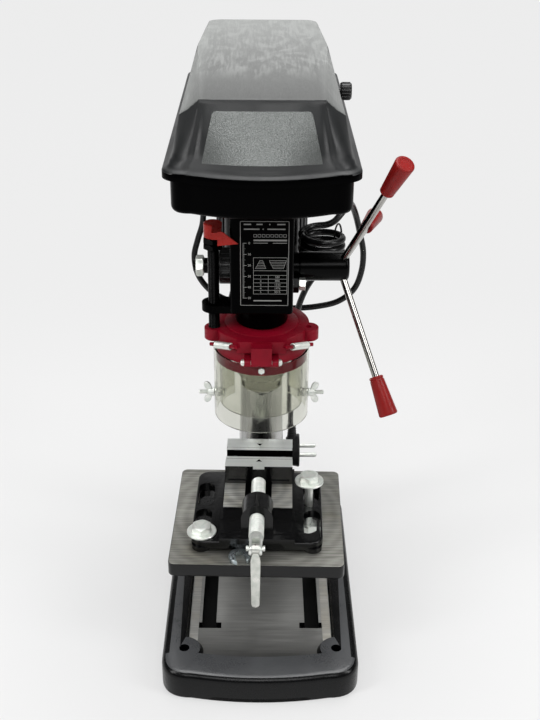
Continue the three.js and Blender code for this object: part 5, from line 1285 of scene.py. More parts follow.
@dataclass
class Vise:
    """The drill-press vise, drawn with z = 0 on the table's face."""

    front: float = -62
    back: float = 58
    width: float = 124.5
    foot: float = 3
    flange: float = 8
    corner: float = 12
    slot_x: float = 52.5
    slot_width: float = 16
    body: float = 71
    way_top: float = 29
    way_width: float = 66
    way_front: float = -31
    channel: float = 26
    channel_floor: float = 13
    jaw_top: float = 49
    jaw_width: float = 66
    fixed_front: float = 39.5
    plate: float = 5
    moving_plate: float = 4
    screw_x: float = 24
    screw_z: float = 31
    boss: float = 15
    boss_front: float = -53
    jaw_front: float = 9.5
    jaw_casting: float = 14
    thread: float = 7
    pitch: float = 3
    groove: float = 0.9
    thread_front: float = -80
    pin_y: float = -97
    handle: float = 66
    handle_top: float = 9
    handle_end: float = 8
    handle_thick: float = 5.6
    left_bolt: Row = (-52.5, -47, 0)
    right_bolt: Row = (49.5, 6, 23.5)
    spanner_at: Row = (-15.5, -72)

    def casting(self) -> Solid:
        """Returns the vise's body."""
        half, low, top = self.body / 2, self.foot, self.foot + self.flange
        flange = slab(rounded_rectangle(-self.width / 2, self.width / 2, self.front, self.back, self.corner),
                      low, top, 1.2, 0.6)
        feet = [bar(9, Z, GAP, low + 2, (s * self.slot_x, y, 0)) for s in (-1, 1)
                for y in (self.front + 7.5, self.back - self.corner)]
        low_body = block(-half, half, self.front, self.back, low, top + 4)
        ways = block(-self.way_width / 2, self.way_width / 2, self.way_front, self.back, low, self.way_top)
        fixed = block(-self.jaw_width / 2, self.jaw_width / 2, self.fixed_front + self.plate, self.back + 3,
                      top, self.jaw_top)
        boss = [bar(self.boss, Y, self.boss_front, self.way_front + 2, (0, 0, self.screw_z), 64),
                block(-self.boss, self.boss, self.boss_front, self.way_front + 2, low, self.screw_z)]
        panels = [block(s * 27 - 8.6, s * 27 + 8.6, -51.5, self.way_front + 0.2, top + 2.6,
                        top + 12) for s in (-1, 1)]
        steps = block(-self.way_width / 2 - 1.2, self.way_width / 2 + 1.2, -54, self.way_front + 1, top,
                      top + 4.9)
        slots = [slab(slot_outline(side * self.slot_x, self.slot_width, y1, y2), -2, top + 2)
                 for side in (-1, 1) for y1, y2 in ((-3, 36), (-57, -9))]
        arch = loft([[(x, y, z) for x, z in ((-29, -2), (29, -2), (29, low), (22, low + 7), (-22, low + 7),
                                             (-29, low))] for y in (self.front - 2, self.way_front)])
        channel = block(-self.channel / 2, self.channel / 2, self.way_front + 2, self.fixed_front + self.plate,
                        self.channel_floor, self.way_top + 2)
        bore = bar(self.thread + GAP, Y, self.boss_front - 2, self.fixed_front, (0, 0, self.screw_z))
        return flange.add(*feet, low_body, ways, fixed, steps, *boss).cut(*panels, *slots, arch, channel, bore)

    def jaw_plate(self, y1: float, y2: float, front: bool) -> tuple[Solid, list[Solid]]:
        """Builds a jaw plate and its two sunk screws.

        Args:
            y1: The plate's front.
            y2: The plate's back.
            front: Whether its working face looks towards the operator.

        Returns:
            The plate and the screws.
        """
        z1, z2 = self.way_top + GAP, self.jaw_top
        face = y1 if front else y2
        out = -1 if front else 1
        wells, screws = [], []
        for side in (-1, 1):
            at = (side * self.screw_x, 0, (z1 + z2) / 2)
            ends = sorted((face + out * 0.4, face - out * 2))
            wells.append(bar(3.4, Y, *ends, at, 40))
            seat = sorted((face - out * 0.9, face - out * 2.2))
            near, far = (seat[0] - 0.8, seat[0] + 0.9) if front else (seat[1] - 0.9, seat[1] + 0.8)
            screws.append(bar(3.1, Y, *seat, at, 40).cut(hexagon(2.6, Y, near, far, at)))
        return block(-self.jaw_width / 2 + GAP, self.jaw_width / 2 - GAP, y1, y2, z1, z2).cut(*wells), screws

    def moving_jaw(self) -> Solid:
        """Returns the moving jaw with its tongue and its guide."""
        back, half, floor = self.jaw_front + self.jaw_casting, self.jaw_width / 2, self.way_top + GAP
        jaw = block(-half, half, self.jaw_front, back, floor, self.jaw_top)
        tongue = block(-5.5, 5.5, self.jaw_front - 5, self.jaw_front + 2, self.jaw_top - 3, self.jaw_top)
        guide = block(-self.channel / 2 + GAP, self.channel / 2 - GAP, self.jaw_front, back,
                      self.channel_floor + GAP, floor + 2)
        pockets = [block(s * 21 - 9, s * 21 + 9, self.jaw_front - 1, self.jaw_front + 1.6, floor + 3,
                         self.jaw_top - 4) for s in (-1, 1)]
        return jaw.add(tongue, guide).cut(*pockets, bar(4 + GAP, Y, self.jaw_front - 2, self.jaw_front + 9.3,
                                                        (0, 0, self.screw_z)))

    def screw(self) -> Solid:
        """Returns the vise screw with its rolled thread, clevis and pin."""
        end = self.jaw_front - GAP
        turns = round((end - self.thread_front) / self.pitch)
        step = (end - self.thread_front) / turns
        profile = [(0, self.thread_front)]
        for i in range(turns):
            y = self.thread_front + i * step
            profile += [(self.thread - self.groove, y + step * 0.06), (self.thread, y + step * 0.34),
                        (self.thread, y + step * 0.56), (self.thread - self.groove, y + step * 0.84)]
        at, centre = (0, 0, self.screw_z), (0, self.pin_y, self.screw_z)
        thread = turned([*profile, (0, end)], 40, Y, at)
        clevis = bar(6.5, Y, self.pin_y, self.thread_front + 2, at).add(
            bar(6.5, X, -6, 6, centre).keep(bar(6.5, Y, self.pin_y - 6.5, self.thread_front, at)))
        flats = [block(min(s * 6, s * 9), max(s * 6, s * 9), self.pin_y - 8, self.thread_front - 4, 20,
                       42) for s in (-1, 1)]
        slot = block(-3.5, 3.5, self.pin_y - 9, self.pin_y + 6.8, 15, 50)
        pin = bar(2, X, -8.5, 8.5, centre, 24)
        heads = [bar(2.6, X, s * 7.7 - 0.8, s * 7.7 + 0.8, centre, 24) for s in (-1, 1)]
        neck = bar(4, Y, self.jaw_front - 2, self.jaw_front + 9, at, 32)
        return thread.add(neck, clevis.cut(slot, *flats), pin, *heads)

    def folding_handle(self) -> Solid:
        """Returns the flat folding handle, hanging from its pin."""
        z, end = self.screw_z, self.screw_z - self.handle + self.handle_end / 2
        top, low = self.handle_top / 2, self.handle_end / 2
        shape = [*arc(0, end, low, 180, 360, 16), (top, z - 17), (top, z - 12), (top / 1.5, z - 5),
                 (2.3, z - 2), (-2.3, z - 2), (-top / 1.5, z - 5), (-top, z - 12), (-top, z - 17)]
        blade = slab(shape, -self.handle_thick / 2, self.handle_thick / 2, 0.7,
                     0.7).turned(X, 90).moved(0, self.pin_y)
        slim = block(-3.2, 3.2, self.pin_y - 9.2, self.pin_y + 9.2, z - 6.8, z + 9.2)
        lower = block(-9, 9, self.pin_y - 6, self.pin_y + 6, z - 70, z - 6.8)
        eye = bar(4.6, X, -3.2, 3.2, (0, self.pin_y, z))
        return blade.keep(slim.add(lower)).add(eye).cut(bar(2.3, X, -9, 9, (0, self.pin_y, z), 24))

    def clamp_bolt(self, x: float, y: float, lift: float, edge: float) -> Solid:
        """Returns a clamping bolt with its washer above the vise and its nut below the table."""
        seat, under, at = self.foot + self.flange + GAP + lift, -edge - GAP, (x, y, 0)
        washer = turned([(0, seat), (13.7, seat), (14, seat + 0.3), (14, seat + 1.6), (13.6, seat + 2),
                         (0, seat + 2)], 64)
        flange = turned([(0, seat + 1.9), (9.2, seat + 1.9), (9.4, seat + 2.4), (8.6, seat + 3.1),
                         (0, seat + 3.2)], 48)
        shank = bar(4, Z, under - 9.5, seat + 2, at, 32)
        mark = turned([(0, 0), (6.1, 0), (5.6, 0.5), (0, 0.5)], 40).moved(x, y, seat + 8)
        return washer.moved(x, y).add(flange.moved(x, y), hexagon(17, Z, seat + 1.8, seat + 8, at, 1), shank,
                                      hexagon(17, Z, under - 6.5, under, at, 2)).cut(mark.moved(z=-0.35))

    def spanner(self) -> Solid:
        """Returns the open-ended spanner that lies on the table under the vise's arch."""
        head = slab(arc(0, 0, 10.5, 0, 360, 47)[:-1], 0.3, 4.3, 0.8, 0.3)
        mouth = slab([(-4.6, -14), (4.6, -14), (4.6, 1.5), (2.6, 4.6), (-2.6, 4.6), (-4.6, 1.5)], -1, 6)
        mouth = mouth.turned(Z, 15)
        shank = slab(rounded_rectangle(-4.2, 4.2, 5, 70, 3), 0.6, 3.8, 0.8, 0.3)
        groove = slab(rounded_rectangle(-2.2, 2.2, 16, 58, 2), 3.3, 5)
        return head.add(shank).cut(mouth, groove)

    def marks(self) -> list[Solid]:
        """Returns the small dark triangles on the tops of the two jaws."""
        top = self.jaw_top - 0.05
        outlines = [(-3, 18.6), (3, 18.6), (0, 22.6)], [(-3, 52), (0, 48), (3, 52)]
        return [slab(outline, top, top + 0.12) for outline in outlines]

    def build(self, table: WorkTable) -> None:
        """Builds and dresses the vise on a table."""
        place = table.frame(table.top)

        def ground(p: Vector, n: Vector) -> bool:
            """Tells whether a face is one of the ground tops."""
            return n.z > 0.9 and (p.z > self.jaw_top - 0.3
                                  or (abs(p.z - self.way_top) < 0.3 and p.y < self.fixed_front))

        dress("vise_casting", self.casting(), GLOSS_CASTING, "table", ["vise_body"], 0.7,
              [(lambda p, n: ground(p, n) and p.z > self.jaw_top - 1, JAW_STEEL), (ground, WAY_STEEL)], place)
        dress("moving_jaw", self.moving_jaw(), GLOSS_CASTING, "vise_jaw", ["vise_moving_jaw"],
              0.4, [(ground, JAW_STEEL)], place)
        first = self.fixed_front
        face = self.jaw_front + self.jaw_casting + GAP
        for name, y1, y2, front, body, node in (("fixed_jaw_plate", first, first + self.plate - GAP, True,
                                                 "table", "vise_fixed_jaw_plate"),
                                                ("moving_jaw_plate", face, face + self.moving_plate - GAP,
                                                 False, "vise_jaw", "vise_moving_jaw_plate")):
            plate, screws = self.jaw_plate(y1, y2, front)
            dress(name, plate, BLACK_OXIDE, body, [node], 0.3, [(ground, JAW_STEEL)], place)
            dress(f"{name}_screws", gathered(screws), SCREW_STEEL, body, edge=0.15, place=place)
        dress("vise_thread", self.screw(), ZINC, "vise_screw", ["vise_screw"], 0, place=place, soft=40)
        dress("flat_handle", self.folding_handle(), HANDLE_ZINC, "vise_handle", ["vise_handle"], 0,
              place=place)
        for side, bolt in (("left", self.left_bolt), ("right", self.right_bolt)):
            dress(f"clamp_bolt_{side}", self.clamp_bolt(*bolt, table.edge), ZINC, "table",
                  [f"vise_bolt_{side}"], 0.25, place=place)
        dress("spanner", self.spanner().moved(*self.spanner_at), BLUE_ZINC, "table", edge=0, place=place)
        for jaw, body, mark in zip(("moving", "fixed"), ("vise_jaw", "table"), self.marks()):
            dress(f"jaw_mark_{jaw}", mark, BLACK_OXIDE, body, edge=0, place=place)


# Head


@dataclass
class Head:
    """The head casting with its scale plate, quill lock, return-spring cap and depth-rod lug."""

    front: float = -35
    width: float = 54
    bottom: float = 342
    top: float = 446.2
    neck: float = 23.5
    neck_bottom: float = 321.5
    collar: float = 36
    column_y: float = 104
    column_radius: float = 23
    column_top: float = 434
    roof: float = 10
    lug: Row = (-42, -11)
    lug_radius: float = 10.7
    lug_bottom: float = 337
    lug_height: float = 7
    feed_y: float = 28
    feed_z: float = 362
    plate_left: float = -19
    plate_right: float = 23.5
    plate_bottom: float = 350.5
    plate_top: float = 428.5
    scale_zero: float = 408.3
    columns: Row = (-7.2, 5.4, 21.2)
    row_foot: float = 362
    row_pitch: float = 3.45
    speeds: Row = (3015, 1976, 1333, 896, 580)
    lock_y: float = 10
    lock_z: float = 352
    bar_x: float = 31
    bar_z: float = 415

    def casting(self) -> Solid:
        """Returns the head casting."""
        half, y = self.width / 2, self.column_y
        box = slab(rounded_rectangle(-half, half, self.front, y, 3.5), self.bottom, self.top, 0.5, 2.5)
        neck = turned([(0, self.neck_bottom), (self.neck - 2.5, self.neck_bottom),
                       (self.neck - 0.7, self.neck_bottom + 1), (self.neck, self.neck_bottom + 3),
                       (self.neck, self.bottom - 3), (self.neck + 1.2, self.bottom - 0.8),
                       (self.neck + 3.5, self.bottom + 1), (0, self.bottom + 2)], 96)
        lug_x, lug_y = self.lug
        lug = bar(self.lug_radius, Z, self.lug_bottom, self.lug_bottom + self.lug_height, (lug_x, lug_y, 0), 64)
        web = block(lug_x, -self.neck / 2, lug_y - self.lug_radius, lug_y + self.lug_radius, self.lug_bottom,
                    self.lug_bottom + self.lug_height)
        gusset = loft([[(px, py, pz) for px, pz in ((-half + 1, self.lug_bottom + 4),
                                                    (-half + 1, self.lug_bottom + 24),
                                                    (-half - 3, self.lug_bottom + 7),
                                                    (-half - 3, self.lug_bottom + 4))]
                       for py in (lug_y + 3.5, lug_y - 3.5)])
        bosses = [turned([(0, 95), (9, 95), (9, 134), (8, 135), (0, 135)], 48, Y,
                         (side * self.bar_x, 0, self.bar_z)) for side in (-1, 1)]
        shaft_boss = bar(13.3, X, 0, 27.2, (0, self.feed_y, self.feed_z), 64)
        return box.add(bar(self.collar, Z, self.bottom, self.top, (0, y, 0), 96), neck, lug, web, gusset,
                       *bosses, shaft_boss).cut(bar(20 + GAP, Z, self.neck_bottom - 2, self.top - self.roof,
                                                    sides=96),
                                                bar(13, Z, self.top - self.roof - 2, self.top + 2, sides=64),
                                                bar(self.column_radius + GAP, Z, self.bottom - 2,
                                                    self.column_top + GAP, (0, y, 0), 96),
                                                bar(5.3, Z, self.lug_bottom - 2, self.lug_bottom + 12,
                                                    (lug_x, lug_y, 0), 40),
                                                bar(7.3, X, -half - 2, 30, (0, self.feed_y, self.feed_z), 48),
                                                bar(11.3, X, -6.3, 30, (0, self.feed_y, self.feed_z), 48),
                                                bar(4.3, X, 0, half + 2, (0, self.lock_y, self.lock_z), 40),
                                                *[bar(5.3, Y, 89, 137, (side * self.bar_x, 0, self.bar_z),
                                                      40) for side in (-1, 1)])

    def plate(self) -> list[Solid]:
        """Returns the printed marks of the scale plate: frame, scale, numbers, pulley diagram, speed table."""
        y = self.front - 0.5

        def line(x1: float, x2: float, z1: float, z2: float) -> Solid:
            """Returns a thin printed bar."""
            return block(x1, x2, y - 0.06, y + 0.04, z1, z2)

        def frame_of(x1: float, x2: float, z1: float, z2: float, w: float) -> list[Solid]:
            """Returns four bars round a field."""
            return [line(x1, x2, z1, z1 + w), line(x1, x2, z2 - w, z2), line(x1, x1 + w, z1, z2),
                    line(x2 - w, x2, z1, z2)]

        left, right, zero = self.plate_left, self.plate_right, self.scale_zero
        marks = frame_of(left + 0.8, right - 0.8, self.plate_bottom + 0.8, self.plate_top - 0.8, 0.45)
        scale_x = left + 3
        marks.append(line(scale_x, scale_x + 0.3, zero - 50, zero))
        for step in range(51):
            if step % 10 == 0:
                marks.append(line(scale_x, scale_x + 3.2, zero - step - 0.2, zero - step + 0.2))
                marks.append(words(str(step), 2.1, (scale_x + 5.4, y, zero - step)))
            else:
                reach = 2.1 if step % 5 == 0 else 1.3
                marks.append(line(scale_x, scale_x + reach, zero - step - 0.1, zero - step + 0.1))
        x1, x2, x3 = self.columns
        rows = [self.row_foot + self.row_pitch * i for i in range(6)]
        for z in (*rows, rows[-1] + 4.2):
            marks.append(line(x1, x3, z, z + 0.3))
        marks += [line(x1, x1 + 0.3, rows[0], rows[-1] + 16), line(x3, x3 + 0.3, rows[0], rows[-1] + 16),
                  line(x2, x2 + 0.3, rows[0], rows[-1]), line(x1, x3, rows[-1] + 16, rows[-1] + 16.3)]
        for i, (number, speed) in enumerate(zip("54321", self.speeds)):
            marks += [words(number, 1.9, ((x1 + x2) / 2, y, rows[i] + 1.85)),
                      words(str(speed), 1.9, ((x2 + x3) / 2, y, rows[i] + 1.85))]
        base = rows[-1] + 6.2
        for i in range(6):
            z = base + 1.45 * i
            marks += [line(-5.6 + 0.75 * i, 3.6 - 0.55 * i, z, z + 0.28),
                      line(9.6 - 0.7 * i, 18.4 + 0.45 * i, z, z + 0.28)]
        for i in range(5):
            z = base + 1.45 * i
            for start, lean in ((-5.6, 0.75), (3.35, -0.55), (9.6, -0.7), (18.15, 0.45)):
                x = start + lean * i
                marks.append(loft([[(px, py, pz) for px,
                                    pz in ((x, z), (x + 0.28, z), (x + lean + 0.28, z + 1.5),
                                           (x + lean, z + 1.5))] for py in (y + 0.04, y - 0.06)]))
        for z, runs in ((424.4, ((-15, -9), (-4.5, 0.5), (6, 7), (12.5, 19.5))),
                        (420.2, ((-15, -2), (0.5, 1.5), (4.5, 19.5)))):
            marks += [line(a, b, z, z + 1.1) for a, b in runs]
        for i in range(8):
            x = -7 + 3.55 * i
            marks += frame_of(x, x + 2.7, 413.6, 416.3, 0.35)
        marks += [line(-7, 21, 410.2, 411.6), line(-7, 5, 408.2, 408.7), line(9, 21, 408.2, 408.7),
                  line(-7, 17, 355.4, 356.4)]
        return marks

    def lock(self) -> tuple[Solid, Solid]:
        """Returns the quill lock's bolt and its jam nut."""
        face, at = self.width / 2 + GAP, (0, self.lock_y, self.lock_z)
        nut = hexagon(14, X, face, face + 6, at, 2).cut(bar(4.3, X, face - 2, face + 8, at, 32))
        bolt = bar(4, X, 20.8, face + 6.3, at, 32).add(hexagon(10, X, face + 6.3, face + 11.8, at, 1))
        return bolt, nut

    def spring_cap(self) -> Solid:
        """Returns the return spring's cap, a shallow drum with a milled rim."""
        start, at = -self.width / 2 - GAP, (0, self.feed_y, self.feed_z)
        drum = turned([(0, start - 14.4), (14, start - 14.4), (15, start - 13.6), (15, start - 11.5),
                       (16.5, start - 10.6), (16.5, start - 0.8), (15.9, start), (0, start)], 96, X)
        grooves = [bar(0.9, X, start - 9.4, start + 1, (0, y, z), 12) for y, z in around(16.9, 24)]
        bore = bar(7.3, X, start - 20, start + 2, sides=48)
        well = bar(11.5, X, start - 16, start - 13.4, sides=64)
        return drum.cut(*grooves, well, bore).moved(*at)

    def build(self) -> None:
        """Builds and dresses the head."""
        # The head takes the darker copy of the casting enamel: painted shade.
        dress("head_body", self.casting(), HEAD_CASTING, "machine", ["head_casting"], 0.5)
        backing = slab(rounded_rectangle(self.plate_left, self.plate_right, self.plate_bottom, self.plate_top,
                                         0.6), 0, 0.5, 0.15).turned(X, 90).moved(0, self.front)
        dress("scale_plate", backing, LABEL_BLACK, "machine", edge=0)
        dress("scale_print", gathered(self.plate()), LABEL_PRINT, "machine", edge=0)
        bolt, nut = self.lock()
        dress("lock_bolt", bolt, ZINC, "machine", ["quill_lock_bolt"], 0.2)
        dress("lock_nut", nut, BLACK_OXIDE, "machine", ["quill_lock_nut"], 0.2)
        dress("spring_drum", self.spring_cap(), BLACK_PLASTIC, "machine",
              ["return_spring_cap"], 0.2)


@dataclass
class Feed:
    """The feed shaft with its hub, three arms and grips."""

    y: float = 28
    z: float = 362
    hub: float = 13.3
    hub_start: float = 34
    hub_end: float = 79
    collar_start: float = 27.5
    shaft: float = 7
    stub: float = 5
    shaft_end: float = -52
    stub_end: float = -62
    arms: int = 3
    first: float = 0
    arm: float = 3.2
    cone: float = 18.4
    reach: float = 135
    root_x: float = 70
    root: float = 5
    grip: float = 37
    grip_inner: float = 6.4
    grip_outer: float = 8.6
    socket: float = 30
    teeth: int = 14

    def directions(self) -> list[Vector]:
        """Returns the directions of the arms."""
        lean = radians(self.cone)
        turns = [radians(self.first + 360 * i / self.arms) for i in range(self.arms)]
        return [Vector((sin(lean), cos(lean) * cos(a), cos(lean) * sin(a))) for a in turns]

    def hub_and_shaft(self) -> Solid:
        """Returns the shaft with its pinion and its round-nosed hub."""
        at, end = (0, self.y, self.z), self.hub_end
        nose = [(self.hub - 4 * (1 - cos(a)), end - 4 * (1 - sin(a))) for a in
                (radians(15 * i) for i in range(7))]
        hub = turned([(0, self.collar_start), (12.3, self.collar_start), (12.3, self.hub_start - 0.4),
                      (self.hub - 0.5, self.hub_start), (self.hub, self.hub_start + 0.6), *nose, (0, end)], 96,
                     X)
        pitch = 2 * pi / self.teeth
        outline = []
        for i in range(self.teeth):
            middle = pi + (i + 0.5) * pitch
            for radius, share in ((7.9, -0.26), (10.7, -0.13), (10.7, 0.13), (7.9, 0.26)):
                outline.append((radius * cos(middle + share * pitch), radius * sin(middle + share * pitch)))
        pinion = slab(outline, -6, 6).placed(ACROSS)
        bores = [rod((self.root_x, 0, 0), d, self.root, 27, self.arm + GAP) for d in self.directions()]
        return hub.add(pinion, bar(self.shaft, X, self.shaft_end, end - 2), bar(
            self.stub, X, self.stub_end, self.shaft_end + 2)).cut(*bores).moved(*at)

    def grip_shape(self, direction: Vector) -> Solid:
        """Returns one tapered grip with its rounded end and moulded collar."""
        last = self.reach / cos(radians(self.cone))
        first, r1, r2 = last - self.grip, self.grip_inner, self.grip_outer
        nose = [(r2 - 1.8 * (1 - cos(a)), last - 1.8 * (1 - sin(a))) for a in
                (radians(18 * i) for i in range(6))]
        profile = [(0, first), (r1 - 1, first), (r1, first + 0.7), (r1, first + 2.2), (r1 - 0.35, first + 2.6),
                   (r1 - 0.3, first + 3.2), (r1 + 0.15, first + 3.8), *nose, (r2 - 3.4, last),
                   (r2 - 3.8, last - 0.4), (0, last - 0.5)]
        body = along(turned(profile, 72), (self.root_x, self.y, self.z), direction)
        return body.cut(rod((self.root_x, self.y, self.z), direction, first - 2, first + self.socket,
                            self.arm + GAP))

    def build(self) -> None:
        """Builds and dresses the feed handle."""
        dress("feed_hub", self.hub_and_shaft(), BLACK_OXIDE, "feed", ["feed_shaft"], 0.15)
        last = self.reach / cos(radians(self.cone)) - self.grip + self.socket - GAP
        for i, direction in enumerate(self.directions(), 1):
            arm = rod((self.root_x, self.y, self.z), direction, self.root + GAP, last, self.arm, sides=48)
            dress(f"arm_rod_{i}", arm, CHROME, "feed", [f"feed_arm_{i}"], 0)
            dress(f"arm_grip_{i}", self.grip_shape(direction), GRIP_RED, "feed", [f"feed_grip_{i}"],
                  0)
        end, at = self.shaft_end - GAP, (0, self.y, self.z)
        nut = hexagon(17, X, end - 7.2, end, at, 2).cut(bar(self.stub + GAP, X, end - 10, end + 2, at))
        dress("cap_nut", nut, ZINC, "feed", ["spring_cap_nut"], 0.2)


# Quill, spindle and chuck


@dataclass
class QuillAndChuck:
    """The quill with its rack, the spindle and the key chuck."""

    radius: float = 20
    bottom: float = 303.5
    length: float = 112
    bore: float = 10
    seat: float = 15.5
    seat_depth: float = 9
    rack_y: float = 28 - 9.5
    feed_z: float = 362
    tooth_pitch: float = 2 * pi * 9.5 / 14
    spindle: float = 8.5
    spline: float = 6
    spline_start: float = 400
    spindle_top: float = 528
    nose: float = 7.6
    shoulder: float = 12.6
    chuck_top: float = 299
    chuck_bottom: float = 253
    chuck: float = 18.8
    sleeve: float = 21.7
    sleeve_bottom: float = 267
    sleeve_top: float = 289
    jaw: float = 3.3
    jaw_lean: float = 16
    jaw_length: float = 30
    jaw_tip: float = 247

    def quill(self) -> Solid:
        """Returns the quill with its rack teeth."""
        top, tip, root = self.bottom + self.length, self.rack_y + 1.2, self.rack_y - 1.6
        half = self.tooth_pitch * 0.306
        gaps = []
        for i in range(-3, 14):
            z = self.feed_z + (i + 0.5) * self.tooth_pitch
            if self.feed_z - self.tooth_pitch * 2 < z < top + 2:
                shape = [(root, z - half * 0.62), (tip + 2, z - half * 1.12), (tip + 2, z + half * 1.12),
                         (root, z + half * 0.62)]
                gaps.append(slab(shape, -6.6, 6.6).placed(ACROSS))
        flat = block(-6.6, 6.6, tip, 22, self.feed_z - self.tooth_pitch * 3, top + 2)
        return bar(self.radius, Z, self.bottom, top, sides=96).cut(
            flat, *gaps, bar(self.bore, Z, self.bottom - 2, top + 2),
            bar(self.seat + GAP, Z, self.bottom - 2, self.bottom + self.seat_depth, sides=64))

    def jaw_line(self, index: int) -> tuple[float, Vector, Vector]:
        """Returns a jaw's angle about the spindle, the point of its tip and its direction."""
        angle, lean = 120 * index - 90, radians(self.jaw_lean)
        out = Vector((cos(radians(angle)), sin(radians(angle)), 0))
        return angle, out + Vector((0, 0, self.jaw_tip)), out * sin(lean) + Vector((0, 0, cos(lean)))

    def chuck_body(self) -> Solid:
        """Returns the chuck's body with its jaw bores and key holes."""
        low, high, r = self.chuck_bottom, self.chuck_top, self.chuck
        body = turned([(0, low), (r - 5, low), (r - 4, low + 0.8), (r, low + 4.6), (r, self.sleeve_top + 1.2),
                       (r - 0.5, self.sleeve_top + 1.8), (r, self.sleeve_top + 2.4), (r, high - 2),
                       (r - 2, high), (0, high)], 96)
        bores, keys = [], []
        for i in range(3):
            angle, tip, direction = self.jaw_line(i)
            bores.append(rod(tip, direction, -30, 76, self.jaw + 0.35))
            key = bar(2.6, X, r - 6, r + 2, (0, 0, low + 8.5), 32)
            keys.append(key.turned(Z, angle + 60))
        return body.cut(*bores, *keys, bar(6.9, Z, low - 2, 281, sides=48),
                        bar(self.nose + GAP, Z, high - 13.3, high + 2))

    def chuck_sleeve(self) -> Solid:
        """Returns the geared sleeve, with bevel teeth below and a knurled band above."""
        r, low, high = self.sleeve, self.sleeve_bottom, self.sleeve_top
        sleeve = turned([(self.chuck + GAP, low), (r - 1.6, low), (r, low + 2.4), (r, high - 1), (r - 1, high),
                         (self.chuck + GAP, high)], 120)
        teeth = [block(r - 2.4, r + 2, -1.3, 1.3, low - 1, low + 4.8).turned(Z, 18 * i) for i in range(20)]
        knurls = [bar(0.55, Z, low + 7.5, high - 2.5, (r + 0.1, 0, 0), 6).turned(Z, 9 * i) for i in range(40)]
        return sleeve.cut(*teeth, *knurls)

    def chuck_jaw(self, index: int) -> Solid:
        """Returns one jaw, ground to the wedge that lets the three meet."""
        angle, tip, direction = self.jaw_line(index)
        spread, reach = pi / 3, 37.6
        wedge = slab([(GAP, 0), (reach * cos(spread), -reach * sin(spread)),
                      (reach * cos(spread), reach * sin(spread))], self.jaw_tip - 2, self.chuck_top)
        return rod(tip, direction, 0, self.jaw_length, self.jaw).keep(wedge.turned(Z, angle))

    def build(self) -> None:
        """Builds and dresses the quill and the chuck."""
        dress("quill_sleeve", self.quill(), CHUCK_STEEL, "quill", ["quill"], 0.3)
        bearing = ring(self.seat, self.spindle + GAP, self.bottom + GAP, self.bottom + self.seat_depth - GAP,
                       0.4)
        dress("quill_bearing", bearing, CHUCK_STEEL, "quill", ["quill_bearing_lower"], 0)
        low, high = self.chuck_top - 13, self.bottom - GAP
        shaft = turned([(0, low), (self.nose - 0.6, low), (self.nose, low + 0.6),
                        (self.nose, self.chuck_top + GAP), (self.shoulder, self.chuck_top + GAP),
                        (self.shoulder, high), (self.spindle, high), (self.spindle, self.spline_start),
                        (self.spline, self.spline_start + 2), (self.spline, self.spindle_top - 0.8),
                        (self.spline - 0.8, self.spindle_top), (0, self.spindle_top)], 64)
        flutes = [bar(0.9, Z, self.spline_start + 6, self.spindle_top + 2, (self.spline, 0, 0),
                      12).turned(Z, 60 * i) for i in range(6)]
        dress("spindle_shaft", shaft.cut(*flutes), CHUCK_STEEL, "spindle", ["spindle"], 0)
        dress("chuck_shell", self.chuck_body(), CHUCK_STEEL, "spindle", ["chuck_body"], 0.2)
        dress("chuck_gear_sleeve", self.chuck_sleeve(), CHUCK_STEEL, "chuck_sleeve",
              ["chuck_sleeve"], 0)
        for i in range(3):
            dress(f"jaw_blade_{i + 1}", self.chuck_jaw(i), BLACK_OXIDE, f"jaw_{i + 1}",
                  [f"chuck_jaw_{i + 1}"], 0.1)


# Depth stop


@dataclass
class DepthStop:
    """The depth rod with its two jammed nuts and its red pointer."""

    x: float = -42
    y: float = -11
    radius: float = 5
    bottom: float = 309.3
    top: float = 417
    nut_bottom: float = 394.5
    nut_height: float = 5
    nut_across: float = 16
    head_front: float = -35
    cap_bottom: float = 405
    cap_height: float = 13
    cap_radius: float = 8
    tip: Row = (-19.8, 408.3)
    pitch: float = 1.5

    def threaded_rod(self) -> Solid:
        """Returns the rod with its fine thread."""
        profile, step, z = [(0, self.bottom), (self.radius - 0.5, self.bottom)], self.pitch, self.bottom + 1
        while z + step < self.top - 1:
            profile += [(self.radius - 0.5, z), (self.radius, z + step * 0.4), (self.radius, z + step * 0.6)]
            z += step
        return turned([*profile, (self.radius - 0.5, self.top), (0, self.top)], 32).moved(self.x, self.y)

    def pointer(self) -> Solid:
        """Returns the red pointer that clips over the rod."""
        x, back, top = self.x, self.head_front - 1, self.cap_bottom + self.cap_height
        arrow = slab([(x + 5, 406.5), self.tip, (x + 9, 419), (x + 5, 419)], -1.6, 0)
        arrow = arrow.turned(X, 90).moved(0, back - 1.6)
        web = block(x, x + 8, back - 1.6, self.y, 412, top)
        cap = turned([(0, self.cap_bottom), (self.cap_radius - 0.5, self.cap_bottom),
                      (self.cap_radius, self.cap_bottom + 0.5), (self.cap_radius, top - 1),
                      (self.cap_radius - 1, top), (0, top)], 48).moved(self.x, self.y)
        return cap.add(web, arrow).cut(bar(self.radius + GAP, Z, self.cap_bottom - 2, self.top + GAP,
                                           (self.x, self.y, 0)))

    def build(self) -> None:
        """Builds and dresses the depth stop."""
        dress("stop_rod", self.threaded_rod(), BLACK_OXIDE, "quill", ["depth_rod"], 0, soft=60)
        at, z, h = (self.x, self.y, 0), self.nut_bottom, self.nut_height
        nuts = gathered([hexagon(self.nut_across, Z, z, z + h - GAP, at, 2).cut(bar(5.3, Z, z - 2, z + 8, at)),
                         hexagon(self.nut_across, Z, z + h + GAP, z + 2 * h, at,
                                 2).cut(bar(5.3, Z, z, z + 14, at)),
                         ring(6.9, 5.3, z + h - 1, z + h + 1).moved(self.x, self.y)])
        dress("stop_nuts", nuts, BLACK_OXIDE, "quill", ["depth_stop_nuts"], 0.2)
        dress("stop_pointer", self.pointer(), POINTER_RED, "quill", ["depth_pointer"], 0.35)


# Guard


